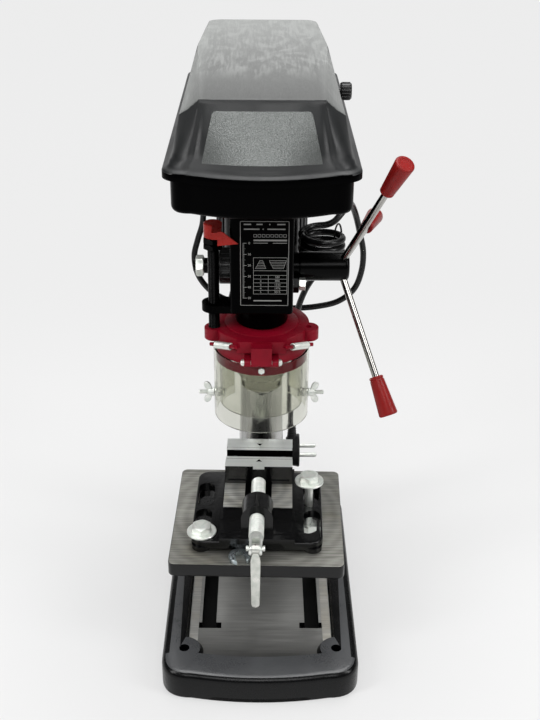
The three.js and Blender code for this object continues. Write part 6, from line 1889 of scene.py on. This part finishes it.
@dataclass
class Guard:
    """The crimson quill collar and the see-through chuck guard that hinges on it."""

    top: float = 320
    thickness: float = 11
    radius: float = 43
    front_half: float = 21.6
    ear: float = 9
    ear_at: Row = (42, -11)
    tab: float = 18
    hinge_y: float = -48
    hinge_z: float = 302.6
    knuckle: float = 4
    lug: float = 5.5
    side_gap: float = 0.4
    band_radius: float = 41.3
    band_top: float = 308
    band_bottom: float = 286
    band_wall: float = 2.8
    open_half: float = 26
    upper: Row = (38.2, 1.8, 241, 303)
    lower: Row = (43.65, 1.7, 228, 297)
    wing_z: float = 247
    wing_end: float = 58
    wing_pitch: float = 0.8
    spring_from: Row = (24.5, -44.5, 316)
    spring_to: Row = (42.5, -24.5, 308.5)
    spring_turns: int = 13
    spring_radius: float = 2.55
    spring_pitch: float = 1.62
    spring_wire: float = 0.78
    peg: float = 1.7
    peg_reach: float = 3.4
    pin: float = 2
    pin_bore: float = 2.3
    band_nut_z: float = 291.5

    @property
    def hinge(self) -> tuple[float, float, float]:
        """Returns a point on the hinge's axis."""
        return 0, self.hinge_y, self.hinge_z

    def spring_line(self, side: Side) -> tuple[Vector, Vector, float]:
        """Returns a spring's start, direction and length."""
        start, end = (Vector((p[0] * side.value, p[1], p[2])) for p in (self.spring_from, self.spring_to))
        return start, (end - start).normalized(), (end - start).length

    def collar(self) -> Solid:
        """Returns the collar clamped on the quill, with ears, hinge tab and spring pegs."""
        bottom, c, high = self.top - self.thickness, self.radius, self.top
        plate = turned([(0, bottom), (c - 0.5, bottom), (c, bottom + 0.5), (c, high - 1), (c - 0.3, high - 0.3),
                        (c - 1, high), (0, high)], 128)
        front = block(-self.front_half, self.front_half, -c, 0, bottom, high)
        raised = turned([(0, high - 1), (33.5, high - 1), (33, high + 0.7), (32.2, high + 1), (0, high + 1)],
                        96)
        raised = raised.keep(block(-50, 50, -50, 20, bottom, high + 3))
        ears = [turned([(0, bottom), (self.ear - 0.5, bottom), (self.ear, bottom + 0.5), (self.ear, high - 0.6),
                        (self.ear - 0.6, high), (0, high)], 48).moved(s * self.ear_at[0], self.ear_at[1])
                for s in (-1, 1)]
        half = self.tab / 2
        tab = block(-half, half, self.hinge_y - self.knuckle, -c + 2, self.hinge_z, high - 2).cut(
            block(-20, 20, self.hinge_y + self.knuckle, 0, self.hinge_z - 2, bottom))
        knuckle = bar(self.knuckle, X, -half, half, self.hinge, 40)
        pegs = []
        for side in Side:
            start, direction, _ = self.spring_line(side)
            foot = start - direction * self.peg_reach
            corner = Vector((side.value * (self.front_half - 2), -c + 2, foot.z - 2))
            pegs += [rod(start, direction, -self.peg_reach, 3.2, self.peg, sides=20),
                     rod(foot, (corner - foot).normalized(), -self.peg / 2, (corner - foot).length, self.peg,
                         sides=20)]
        x, y = self.ear_at
        return plate.add(front, raised, *ears, tab, knuckle, *pegs).cut(
            bar(20.3, Z, bottom - 2, high + 3, sides=96), bar(self.pin_bore, X, -18, 18, self.hinge, 24),
            bar(5.3, Z, bottom - 2, high + 2, (-x, y, 0), 32), bar(2.6, Z, bottom - 2, high + 2, (x, y, 0), 32))

    def opening(self, radius: float) -> Solid:
        """Returns the cutter of the gap at the guard's back."""
        return block(-self.open_half, self.open_half, 0, radius * 2, 200, self.top)

    def band(self) -> Solid:
        """Returns the crimson band with its hinge lugs and spring pegs."""
        r, wall, inner = self.band_radius, self.band_wall, self.tab / 2 + self.side_gap
        hoop = ring(r, r - wall, self.band_bottom, self.band_top, 0.4, 128).cut(self.opening(r))
        lugs, pegs = [], []
        for side in Side:
            x1, x2 = sorted((side.value * inner, side.value * (inner + self.lug)))
            lugs += [bar(self.knuckle, X, x1, x2, self.hinge, 40),
                     block(x1, x2, self.hinge_y, -r + wall * 1.5, self.hinge_z - self.knuckle,
                           self.hinge_z + self.knuckle)]
            start, direction, length = self.spring_line(side)
            end = start + direction * length
            foot = end + direction * self.peg_reach
            inward = Vector((-foot.x, -foot.y, (self.band_top + self.band_bottom) / 2 - foot.z)).normalized()
            pegs += [rod(end, direction, -3.2, self.peg_reach, self.peg, sides=20),
                     rod(foot, inward, -self.peg / 2, hypot(foot.x, foot.y) - r + wall, self.peg, sides=20)]
        core = bar(r - wall, Z, self.band_bottom - 2, self.band_top + 2, sides=96)
        above = bar(self.radius + GAP, Z, self.band_top, self.top, sides=96)
        pegs = pegs[0].add(*pegs[1:]).cut(core, above)
        return hoop.add(*lugs, pegs).cut(bar(self.pin_bore, X, -r, r, self.hinge, 24))

    def shell(self, sizes: Row, cutters: Sequence[Solid]) -> Solid:
        """Returns one see-through shell from its radius, wall, bottom and top."""
        radius, wall, bottom, top = sizes
        hoop = turned([(radius - wall, bottom + 0.5), (radius - wall * 0.7, bottom),
                       (radius - wall * 0.3, bottom), (radius, bottom + 0.5), (radius, top),
                       (radius - wall, top)], 160)
        return hoop.cut(self.opening(radius), *cutters)

    def wing_screw(self) -> Solid:
        """Returns the right wing screw with its wing nut and its spacer."""
        z, inner, face = self.wing_z, self.upper[0] - self.upper[1], self.lower[0] + GAP
        at, end, pitch = (0, 0, z), self.wing_end, self.wing_pitch
        thread = [(0, inner - 2.2)]
        x = inner - 2.2
        while x < end - 1:
            thread += [(1.75, x), (2, x + 0.35), (2, x + 0.5)]
            x += pitch
        screw = turned([*thread, (1.6, end), (0, end)], 24, X, at)
        head = turned([(0, inner - 3.2), (2.6, inner - 3.2), (3.7, inner - 2.6), (4, inner - 1.2),
                       (0, inner - 1.2)], 40, X, at)
        spacer = bar(4, X, self.upper[0] + GAP, self.lower[0] - self.lower[1] - 0.6, at, 32)
        hub = turned([(0, face), (4, face), (3.6, face + 3), (3.2, face + 5), (0, face + 5)], 40, X, at)
        blades = []
        for up in (1, -1):
            egg = [(3.1 * cos(a) * (1 + 0.25 * sin(a)), 6.4 + 5.4 * sin(a)) for a in
                   (2 * pi * i / 32 for i in range(32))]
            blade = slab(egg, -0.95, 0.95, 0.6, 0.6).turned(X, 90).turned(Y, 28)
            blade = blade if up > 0 else blade.turned(X, 180)
            blades.append(blade.moved(face + 2.4, 0, z))
        return screw.add(head, spacer, hub, *blades)

    def spring(self, side: Side) -> Solid:
        """Returns one close-wound extension spring with its wire's windings touching."""
        start, direction, length = self.spring_line(side)
        turns, radius, pitch = self.spring_turns, self.spring_radius, self.spring_pitch
        lead = (length - turns * pitch) / 2
        frame_turn = Vector((0, 0, 1)).rotation_difference(direction)
        path = []
        for i in range(turns * 20 + 1):
            angle = radians(18 * i) * side.value
            path.append(frame_turn @ Vector((radius * cos(angle), radius * sin(angle), lead + i * pitch / 20))
                        + start)
        return tube(path, self.spring_wire, 10)

    def build(self) -> None:
        """Builds and dresses the guard."""
        dress("collar_plate", self.collar(), GUARD_RED, "quill", ["quill_collar"], 0.3)
        dress("guard_hoop", self.band(), GUARD_RED, "guard", ["guard_band"], 0.3)
        end = self.tab / 2 + self.side_gap + self.lug + GAP
        head, other = (turned([(0, 0), (3.2, 0), (3.2, 0.8), (2.6, 2.2), (1.2, 3), (0, 3)], 40, X)
                       .moved(end, self.hinge_y, self.hinge_z) for _ in Side)
        pin = bar(self.pin, X, -end - 1, end + 1, self.hinge, 24).add(head).add(other.mirrored())
        dress("hinge_pin", pin, ZINC, "guard", ["guard_hinge_pin"], 0)
        hole = bar(self.pin_bore, X, -90, 90, (0, 0, self.wing_z), 32)
        dress("clear_upper_shell", self.shell(self.upper, [hole]), GUARD_CLEAR, "guard",
              ["guard_upper_shell"], 0, soft=40)
        slot = slab(rounded_rectangle(-3, 3, self.wing_z - 3, self.wing_z + 23, 2.999), -90, 90).placed(ACROSS)
        dress("clear_lower_shell", self.shell(self.lower, [slot]), GUARD_CLEAR, "guard_lower",
              ["guard_lower_shell"], 0, soft=40)
        dress("wing_set_right", self.wing_screw(), ZINC, "wing_right", ["wing_screw_right"], 0)
        dress("wing_set_left", self.wing_screw().mirrored(), ZINC, "wing_left",
              ["wing_screw_left"], 0)
        nut_at = (0, 0, self.band_nut_z)
        nut = hexagon(5.2, Y, -self.band_radius - 2.4, -self.band_radius + 0.3, nut_at, 1)
        stud = bar(1.3, Y, -self.band_radius - 3.4, -self.band_radius, nut_at, 20)
        dress("band_nut", nut.add(stud), ZINC, "guard", edge=0)
        for side in Side:
            spring = self.spring(side)
            spring.mesh.shade_smooth()
            bent(f"guard_coil_{side.name.lower()}", spring, ZINC,
                 f"guard_spring_{side.name.lower()}", ("quill", "guard"))


# Drive


@dataclass
class Drive:
    """The pulley case, its hinged cover, the two stepped pulleys and the V-belt."""

    width: float = 145
    front: float = -88
    back: float = 275
    bottom: float = 446.5
    top: float = 474.6
    wall: float = 2.5
    edge: float = 5
    corner: float = 16
    bulge: float = 13
    rim_width: float = 157
    rim_front: float = -94
    rim_back: float = 281
    rim_bottom: float = 474.9
    rim_top: float = 481.9
    cover_width: float = 144.5
    cover_bulge: float = 14
    crease: Row = (48.5, -60, 534)
    shoulder: Row = (65, -42, 520)
    top_z: float = 535.5
    top_half: float = 60.5
    top_y: float = 150
    back_half: float = 56
    top_back: float = 272
    tail: float = 14
    fold: float = 0.9
    lip: float = 1.2
    centre: float = 198
    step: float = 11
    groove: float = 6
    pulley_bottom: float = 464
    flute_top: float = 46.5
    flute_foot: float = 54.5
    flute_half: float = 2.3
    flute_depth: float = 1.2
    belt_depth: float = 5
    belt_top: float = 9
    belt_foot: float = 6.4
    belt_radii: Row = (41.5, 39.5)
    spindle_steps: Row = (26, 34, 42, 50, 58)
    motor_steps: Row = (56, 48, 40, 32, 24)
    plate_foot: Row = (0.1, 47)
    plate_head: Row = (0.86, 38)
    knob_y: float = 92
    knob_z: float = 505
    knob_start: float = 69.8
    knob: float = 8
    knob_length: float = 10

    def case(self) -> Solid:
        """Returns the open pulley case."""
        outline = bulged_outline(self.width / 2, self.front, self.back, self.bulge, self.corner)
        inner = bulged_outline(self.width / 2 - self.wall, self.front + self.wall, self.back - self.wall,
                               self.bulge, self.corner - self.wall)
        tray = slab(outline, self.bottom, self.top, bottom=self.edge).cut(
            slab(inner, self.bottom + self.wall, self.top + 5, bottom=self.edge - self.wall))
        half = 7 + self.wall
        slot = slab(rounded_rectangle(-half, half, self.centre - 8 - half, self.centre + half, half - 1e-3),
                    440, 460)
        return tray.cut(slot, bar(17, Z, 440, 460, sides=64))

    def stations(self, depth: float) -> list[tuple[Vector, Vector, Vector, Vector]]:
        """Returns the key points round the cover's right half, from the front's middle to the back's middle.

        Args:
            depth: How far the points are drawn in from the outside.

        Returns:
            For each station its points at the foot, the shoulder, the roof's edge and the roof's middle.
        """
        half, front, back = self.cover_width / 2 - depth, self.front + depth, self.back - depth
        corner, bulge = self.corner, self.cover_bulge
        top = self.top_z - depth
        cx, cy, cz = self.crease
        sx, sy, sz = self.shoulder
        crease, shoulder = Vector((cx - depth, cy + depth, cz
                                   - depth)), Vector((sx - depth, sy + depth, sz - depth))
        ridge = Vector((self.top_half - depth, self.top_y, top))
        bend, fold, lip = self.tail, self.fold, self.lip
        heel = Vector((self.back_half - depth, self.top_back - bend, top))
        tail = Vector((self.back_half - bend, self.top_back - depth, top))
        rows = []

        def row(foot: tuple[float, float], edge: Vector, roof: Vector) -> None:
            """Adds a station."""
            spine = Vector((0.06 * roof.x, min(max(roof.y, cy + 30), self.top_back - 30), 0))
            spine.z = min(top, cz - depth + (top - cz + depth) * (spine.y - cy) / (self.top_y - cy))
            rows.append((Vector((*foot, self.rim_top)), edge, roof, spine))

        for i in range(41):
            t = i / 40
            row(((half - corner) * t, front + bulge * t ** 2),
                Vector((crease.x * t, crease.y, crease.z - fold)),
                Vector((crease.x * t, crease.y + fold, crease.z)))
        y0 = front + bulge
        start = crease.lerp(ridge, 0.02)
        for i in range(1, 13):
            t = i / 12
            a = pi / 2 * i / 12
            row((half - corner + corner * sin(a), y0 + corner * (1 - cos(a))),
                crease.lerp(shoulder, t) - Vector((0, 0, fold)), crease.lerp(start, t) + Vector((0, fold, 0)))
        y1 = y0 + corner
        start = start + Vector((0, fold, 0))
        for i in range(1, 31):
            t = i / 30
            y = y1 + (back - corner - y1) * t
            u = min(1.0, (shoulder.y + (heel.y - shoulder.y) * t - shoulder.y) / (ridge.y - shoulder.y))
            past = (t * (heel.y - shoulder.y) + shoulder.y - ridge.y) / (heel.y - ridge.y)
            edge = shoulder.lerp(ridge, u) if u < 1 else ridge.lerp(heel, past)
            v = min(1.0, max(0.0, (edge.y - crease.y) / (ridge.y - crease.y)))
            roof = start.lerp(ridge, v) if v < 1 else edge.copy()
            roof.x = min(roof.x, edge.x - lip)
            row((half, y), edge - Vector((0, 0, lip)), roof)
        for i in range(1, 9):
            a = pi / 2 * i / 8
            edge = Vector((tail.x + bend * cos(a), heel.y + (tail.y - heel.y) * sin(a), top - lip))
            row((half - corner + corner * cos(a), back - corner + corner * sin(a)), edge,
                Vector((edge.x - lip * cos(a), edge.y - lip * sin(a), top)))
        for i in range(1, 9):
            t = 1 - i / 8
            row(((half - corner) * t, back), Vector((tail.x * t, tail.y, top - lip)),
                Vector((tail.x * t, tail.y - lip, top)))
        return rows

    def fluted(self, foot: Vector, edge: Vector, t: float) -> Vector:
        """Returns a point of the cover's wall between foot and edge, sunk in at the two front flutes."""
        p = foot.lerp(edge, t)
        middle = self.flute_foot + (self.flute_top - self.flute_foot) * t
        near = exp(-((abs(p.x) - middle) / self.flute_half) ** 2) * max(0.0, sin(pi * min(1, t * 1.02))) ** 0.8
        return p + Vector((0, 0.86, -0.5)) * (self.flute_depth * near) if p.y < -40 else p

    def column(self, station: Sequence[Vector], rim: Vector, inner: Sequence[Vector]) -> list[Vector]:
        """Returns an upright line of the cover's surface, from the inside's middle over the rim to the roof."""
        foot, edge, roof, spine = station
        z, low = self.rim_top, self.rim_bottom
        foot_in, edge_in, roof_in, spine_in = inner
        line = [spine_in, roof_in, edge_in, foot_in.lerp(edge_in, 0.3), Vector((foot_in.x, foot_in.y, z)),
                Vector((foot_in.x, foot_in.y, low)), Vector((rim.x, rim.y, low)),
                Vector((rim.x, rim.y, z - 1.6))]
        base = Vector((foot.x, foot.y, 0))
        edge_of_rim = Vector((rim.x, rim.y, 0))
        for share, lift in ((0.93, -0.7), (0.8, 0.0), (0.55, 0.5), (0.32, 1.3), (0.14, 3.0), (0.04, 5.2)):
            line.append(base.lerp(edge_of_rim, share) + Vector((0, 0, z + lift)))
        wall = [self.fluted(foot, edge, t) for t in (0.17, 0.27, 0.37, 0.47, 0.57, 0.67, 0.77, 0.87, 0.94)]
        line += wall
        tip = edge.lerp(roof, 0.5)
        before, after = edge.lerp(wall[-1], 0.5), roof.lerp(spine, 0.03)
        for i in range(5):
            t = i / 4
            line.append(before * (1 - t) ** 2 + edge.lerp(tip, 0.8) * (2 * t * (1 - t)) + roof * t ** 2)
        line += [after, roof.lerp(spine, 0.3), roof.lerp(spine, 0.65), spine]
        return line

    def cover(self) -> Solid:
        """Returns the hinged cover: a hollow creased hood with a flared rim, front flutes and a flat roof."""
        outer, inner = self.stations(0), self.stations(self.wall)
        columns = []
        for station, hollow in zip(outer, inner):
            foot = station[0]
            x = foot.x * (self.rim_width / self.cover_width)
            share = (foot.y - self.front) / (self.back - self.front)
            y = self.rim_front + (self.rim_back - self.rim_front) * share
            columns.append(self.column(station, Vector((x, y, 0)), hollow))
        columns += [[Vector((-p.x, p.y, p.z)) for p in column] for column in columns[-2:0:-1]]
        return loft([[column[k] for column in columns] for k in range(len(columns[0]))])

    def front_plate(self) -> Solid:
        """Returns the trapezoid plate that lies on the cover's front face."""
        (low, w1), (high, w2) = self.plate_foot, self.plate_head
        corner = 3.0
        reach = self.cover_width / 2 - self.corner
        normal = Vector((0, -0.87, 0.49))
        loops = []
        for i in range(61):
            t = sin(pi / 2 * (2 * i / 60 - 1))
            near = max(0.0, corner - w1 * (1 - abs(t)))
            drop = (corner - sqrt(max(0.0, corner ** 2 - near ** 2))) / (self.crease[2] - self.rim_top)
            front, back = [], []
            for k in range(7):
                h = low + drop + (high - low - 2 * drop) * k / 6
                x = t * (w1 + (w2 - w1) * (h - low) / (high - low))
                place = self.fluted(Vector((x, self.front + self.cover_bulge * (x / reach) ** 2, self.rim_top)),
                                    Vector((x, self.crease[1], self.crease[2] - self.fold)), h)
                front.append(place + normal * 0.7)
                back.append(place - normal * 0.6)
            loops.append([*front, *reversed(back)])
        return loft(loops)

    def knob_shape(self) -> Solid:
        """Returns the cover's fluted knob with its stud."""
        a, r = self.knob_start, self.knob
        end = a + self.knob_length
        body = turned([(0, a), (r - 1, a), (r - 0.4, a + 0.8), (r, a + 1.6), (r, end - 1.6), (r - 1.4, end),
                       (r - 3, end), (r - 3.4, end - 0.6), (0, end - 0.8)], 72, X)
        flutes = [bar(1.0, X, a + 1.2, end + 2, (0, y, z), 12) for y, z in around(r + 0.2, 16)]
        return body.cut(*flutes).add(bar(3, X, a - 2.5, a + 2)).moved(0, self.knob_y, self.knob_z)

    def pulley(self, steps: Row, bore: float, hub: float, foot: float) -> Solid:
        """Returns a stepped pulley, its radii given from the lowest step up."""
        profile = [(bore, foot), (hub, foot), (hub, self.pulley_bottom)]
        for i, radius in enumerate(steps):
            z, middle = self.pulley_bottom + i * self.step, self.pulley_bottom + (i + 0.5) * self.step
            low, high = middle - self.belt_foot / 2, middle + self.belt_foot / 2
            profile += [(radius - 0.3, z), (radius, z + 0.4), (radius - self.groove, low),
                        (radius - self.groove, high), (radius, z + self.step - 0.4),
                        (radius - 0.3, z + self.step)]
        top = self.pulley_bottom + len(steps) * self.step
        return turned([*profile, (bore, top)], 96)

    def belt(self) -> Solid:
        """Returns the V-belt round the middle steps of both pulleys."""
        big, small = self.belt_radii
        z = self.pulley_bottom + 3.5 * self.step
        lean = asin((big - small) / self.centre)
        stations = [(0, big, pi - lean + (pi + 2 * lean) * i / 40) for i in range(41)]
        stations += [(self.centre, small, lean + (pi - 2 * lean) * i / 40) for i in range(41)]
        outer, foot = self.belt_top / 2 - GAP, self.belt_foot / 2 - GAP
        points = []
        for c, r, a in stations:
            for radius, dz in ((r, -outer), (r, outer), (r - self.belt_depth, foot),
                               (r - self.belt_depth, -foot)):
                points.append((radius * cos(a), c + radius * sin(a), z + dz))
        count = len(stations)
        faces = [[i * 4 + k, (i + 1) % count * 4 + k, (i + 1) % count * 4 + (k + 1) % 4, i * 4 + (k + 1) % 4]
                 for i in range(count) for k in range(4)]
        return Solid.of(points, faces)

    def build(self) -> None:
        """Builds and dresses the drive."""
        dress("case_tray", self.case(), CASE_PLASTIC, "machine", ["pulley_case"], 0.4)

        def rubbed(p: Vector, n: Vector) -> bool:
            """Tells whether a face is one of the scuffed top faces."""
            return p.z > 495 and n.z > 0.5 and n.y > -0.35

        def on_rim(p: Vector, n: Vector) -> bool:
            """Tells whether a face is the rim's upright edge or under it."""
            return p.z < self.rim_top + 0.4 and n.z < 0.5

        dress("cover_shell", self.cover(), COVER_FRONT, "cover", ["pulley_cover"], 0,
              [(rubbed, COVER_TOP), (on_rim, CASE_PLASTIC)], soft=50)
        dress("cover_plate", self.front_plate(), PLATE_FOIL, "cover", edge=0)
        dress("knob_body", self.knob_shape(), BLACK_PLASTIC, "cover_knob", ["cover_knob"], 0)
        dress("cone_pulley_spindle", self.pulley(self.spindle_steps, 6.5, 12.2, 441), CAST_ALUMINIUM, "pulley",
              ["spindle_pulley"], 0)
        dress("cone_pulley_motor", self.pulley(self.motor_steps, 7.3, 14, 462).moved(0, self.centre),
              CAST_ALUMINIUM, "rotor", ["motor_pulley"], 0)
        bent("drive_belt", self.belt(), BELT_RUBBER, "v_belt", ("machine", "motor"))


# Motor and switch


@dataclass
class Motor:
    """The finned motor on its sliding plate, and the switch box at its left."""

    y: float = 198
    radius: float = 48
    bottom: float = 290
    top: float = 440
    cap: float = 44
    cap_height: float = 10
    bell: float = 12
    fins: int = 36
    shaft: float = 7
    shaft_top: float = 519
    seat: float = 24
    bar_x: float = 31
    bar_z: float = 415
    box_width: float = 26
    box_depth: float = 56
    box_bottom: float = 372
    box_top: float = 432
    rocker_width: float = 17
    rocker_height: float = 24
    plate_half: float = 41
    plate_bottom: float = 388
    plate_top: float = 438
    plate_depth: float = 50

    def body(self) -> Solid:
        """Returns the motor with its fins, feet plate and slide bars."""
        r, low, high = self.radius, self.bottom, self.top
        can = turned([(0, low), (self.cap - 6, low), (self.cap - 1.5, low + 1), (self.cap, low + 3),
                      (self.cap, low + self.cap_height), (r, low + self.cap_height), (r, high - self.bell),
                      (r - 2, high - self.bell + 4), (r - self.bell + 2, high - 1), (r - self.bell, high),
                      (0, high)], 108).moved(0, self.y)
        grooves = []
        for i in range(self.fins):
            turn = 360 * (i + 0.5) / self.fins
            grooves.append(block(r - 2, r + 2, -1.9, 1.9, low + 20, high - 24).turned(Z, turn).moved(0, self.y))
        plate = slab(rounded_rectangle(-self.plate_half, self.plate_half, self.plate_bottom, self.plate_top, 3),
                     0, self.plate_depth).turned(X, 90).moved(0, self.y)
        bars = [bar(5, Y, 98, 150, (s * self.bar_x, 0, self.bar_z), 40) for s in (-1, 1)]
        vents = [block(-1.2, 1.2, 14, 34, low - 1, low + 2).turned(Z, 30 * i).moved(0, self.y)
                 for i in range(12)]
        return can.cut(*grooves, *vents).add(plate, *bars).cut(
            bar(self.shaft + GAP, Z, high - self.seat - GAP, high + 2, (0, self.y, 0), 40))

    def box(self) -> Solid:
        """Returns the switch box with its rocker pocket, cover frame and cord gland."""
        x2 = -self.radius - GAP
        x1, middle, d = x2 - self.box_width, (self.box_bottom + self.box_top) / 2, self.box_depth / 2
        case = slab(rounded_rectangle(x1, x2, self.y - d, self.y + d, 3), self.box_bottom, self.box_top, 1.2,
                    1.2)
        seam = block(x1 - 1, x1 + 0.8, self.y - d + 3.4, self.y + d - 3.4, self.box_bottom + 3.4,
                     self.box_top - 3.4).cut(block(x1 - 2, x1 + 2, self.y - d + 4, self.y + d - 4,
                                                   self.box_bottom + 4, self.box_top - 4))
        w, h = self.rocker_width / 2 + GAP, self.rocker_height / 2 + GAP
        pocket = block(x1 - 2, x1 + 7.5, self.y - w, self.y + w, middle - h, middle + h)
        ribs = [(3.9 + 0.55 * (i % 2) + 2.1 * i / 14, self.box_bottom - 14 + i) for i in range(14)]
        gland = turned([(0, self.box_bottom - 14), *ribs, (6, self.box_bottom), (6, self.box_bottom + 2),
                        (0, self.box_bottom + 2)], 40).moved((x1 + x2) / 2, self.y)
        return case.cut(pocket, seam).add(gland)

    def rocker(self) -> Solid:
        """Returns the switch's red rocker."""
        x1, middle = -self.radius - GAP - self.box_width, (self.box_bottom + self.box_top) / 2
        half = self.rocker_height / 2 - GAP
        face = curve((x1 - 3.5, middle + half * 0.9), (x1 - 0.4, middle + 2), (x1 - 1.2, middle), 8)
        face += curve((x1 - 1.2, middle), (x1 - 0.4, middle - 2), (x1 - 3.5, middle - half * 0.9), 8)
        shape = [(x1, middle + half), *face, (x1 - 3.5, middle - half * 0.9), (x1, middle - half),
                 (x1 + 4.7, middle - half * 0.8), (x1 + 4.7, middle + half * 0.8)]
        return slab(shape, -self.rocker_width / 2, self.rocker_width / 2).turned(X, 90).moved(0, self.y)

    def build(self) -> None:
        """Builds and dresses the motor and its switch."""
        dress("motor_can", self.body(), GREY_MOTOR, "motor", ["motor_body"], 0.5)
        shaft = bar(self.shaft, Z, self.top - self.seat, self.shaft_top, (0, self.y, 0))
        dress("motor_spindle", shaft, CHUCK_STEEL, "rotor", ["motor_shaft"], 0.5)
        dress("switch_case", self.box(), BLACK_PLASTIC, "motor", ["switch_box"], 0.3)
        dress("switch_key", self.rocker(), GRIP_RED, "switch", ["switch_rocker"], 0.4)
        x1, d = -self.radius - GAP - self.box_width, self.box_depth / 2
        screws = []
        for y in (self.y - d + 7.5, self.y + d - 7.5):
            for z in (self.box_bottom + 7, self.box_top - 7):
                head = turned([(0, -1), (2.6, -1), (2.4, 0.4), (1.4, 1), (0, 1)], 24, X).turned(Z, 180)
                slot = block(x1 - 2, x1 - 0.5, y - 1.9, y + 1.9, z - 0.35, z + 0.35)
                screws.append(head.moved(x1, y, z).cut(slot))
        dress("switch_screws", gathered(screws), ZINC, "motor", edge=0)


# Mains cord


@dataclass
class MainsCord:
    """The mains cord, tied up for storage, and its two-pin plug."""

    radius: float = 3.2
    hank_x: float = 57
    hank_y: float = 84
    hank_z: float = 373
    radius_x: float = 19.5
    radius_y: float = 20
    turns: float = 2.75
    drop: float = 7
    plug_y: float = 145
    plug_z: float = 92
    plug_radius: float = 18.5
    face_x: float = 42.5
    plug_thick: float = 14
    stem_x: float = 34
    loop: Sequence[Row] = ((-61.3, 198, 357.6), (-61.6, 198, 350), (-63, 198, 338), (-68, 197, 322),
                           (-72, 195, 304), (-68, 192, 283), (-54, 188, 266), (-30, 184, 255), (0, 180, 250.5),
                           (30, 177, 251.5), (58, 175, 254.5), (82, 175, 261), (98, 175, 275), (105, 175, 295),
                           (106, 174, 317), (101, 169, 341), (95, 159, 364), (89, 145, 380), (84, 130, 386),
                           (78, 114, 383), (69, 105.5, 376), (61.5, 104.1, 373.4))
    tail: Sequence[Row] = (
        (76.6, 88, 353.4), (75.5, 98, 349), (69, 112, 336), (57, 128, 315), (45, 139, 290), (37, 144, 262),
        (34.4, 145, 232), (34, 145, 195), (34, 145, 160), (34, 145, 138), (34, 145, 127.2))

    def route(self) -> list[Vector]:
        """Returns the cord's whole route, from the switch box to the plug."""
        count = round(self.turns * 24)
        hank = [(self.hank_x + self.radius_x * cos(a), self.hank_y + self.radius_y * sin(a),
                 self.hank_z - self.drop * i / 24) for i, a in
                ((i, pi / 2 + 2 * pi * i / 24) for i in range(count + 1))]
        return smooth_path([*self.loop, *hank, *self.tail], 2.5)

    def plug(self) -> Solid:
        """Returns the plug's moulded body with its strain relief."""
        back, r, y, z = self.face_x - self.plug_thick, self.plug_radius, self.plug_y, self.plug_z
        face = self.face_x
        disc = turned([(0, back), (r - 6, back), (r - 3.4, back + 0.8), (r - 2, back + 2.4),
                       (r - 0.6, face - 4), (r, face - 1.2), (r - 0.6, face), (0, face)], 96, X, (0, y, z))
        ribs = [(5.4 - 0.11 * i if i % 2 else 4.7 - 0.11 * i, z + r - 1 + 1.55 * i) for i in range(11)]
        stem = turned([(0, z), (7, z), (6.6, z + r - 3), *ribs, (3.5, z + r + 16), (0, z + r + 16)],
                      40).moved(self.stem_x, y)
        grips = [block(back - 1, back + 1.1, y - 9, y + 9, z + h, z + h + 1.4) for h in (-9, -5, -1, 3, 7)]
        return disc.add(stem).cut(*grips)

    def tie(self, degrees: float) -> Solid:
        """Returns one loop of the wire that ties the hank, at an angle round it."""
        out = Vector((cos(radians(degrees)), sin(radians(degrees)), 0))
        centre = Vector((self.hank_x + self.radius_x * out.x, self.hank_y + self.radius_y * out.y,
                         self.hank_z - 9.6))
        return tube([centre + out * x + Vector((0, 0, z)) for x, z in
                     ((4.4 * cos(t), 14.2 * sin(t)) for t in (2 * pi * i / 48 for i in range(49)))], 0.9, 8)

    def build(self) -> None:
        y, z, face = self.plug_y, self.plug_z, self.face_x
        plug = dress("plug_body", self.plug(), PLUG_RUBBER, "motor", ["plug"], 0.4)
        pins = gathered([turned([(0, face - 1), (2.4, face - 1), (2.4, face + 16.4), (1.9, face + 18.2),
                                 (0.9, face + 19), (0, face + 19)], 32, X,
                                (0, y + s * 9.5, z)) for s in (-1, 1)])
        pin_piece = dress("plug_pins", pins, ZINC, "motor", edge=0)
        path = self.route()
        cord = dress("mains_cord", tube(path, self.radius, 20), CORD_RUBBER, "motor",
                     ["cord_loop", "cord_hank", "cord_tail"], 0, soft=60)
        tie_piece = dress("cord_tie", gathered([self.tie(35), self.tie(205)]), BLACK_PLASTIC, "motor",
                          edge=0)


def main() -> None:
    """Builds the studio and the machine, piece by piece."""
    logging.basicConfig(level=logging.INFO, format="%(message)s")
    Studio().build()
    MainsCord().build()
    Stand().build()
    table = WorkTable()
    table.build()
    Vise().build(table)
    for assembly in (Head(), Feed(), QuillAndChuck(), DepthStop(), Guard(), Drive(), Motor()):
        assembly.build()


if __name__ == "__main__":
    main()
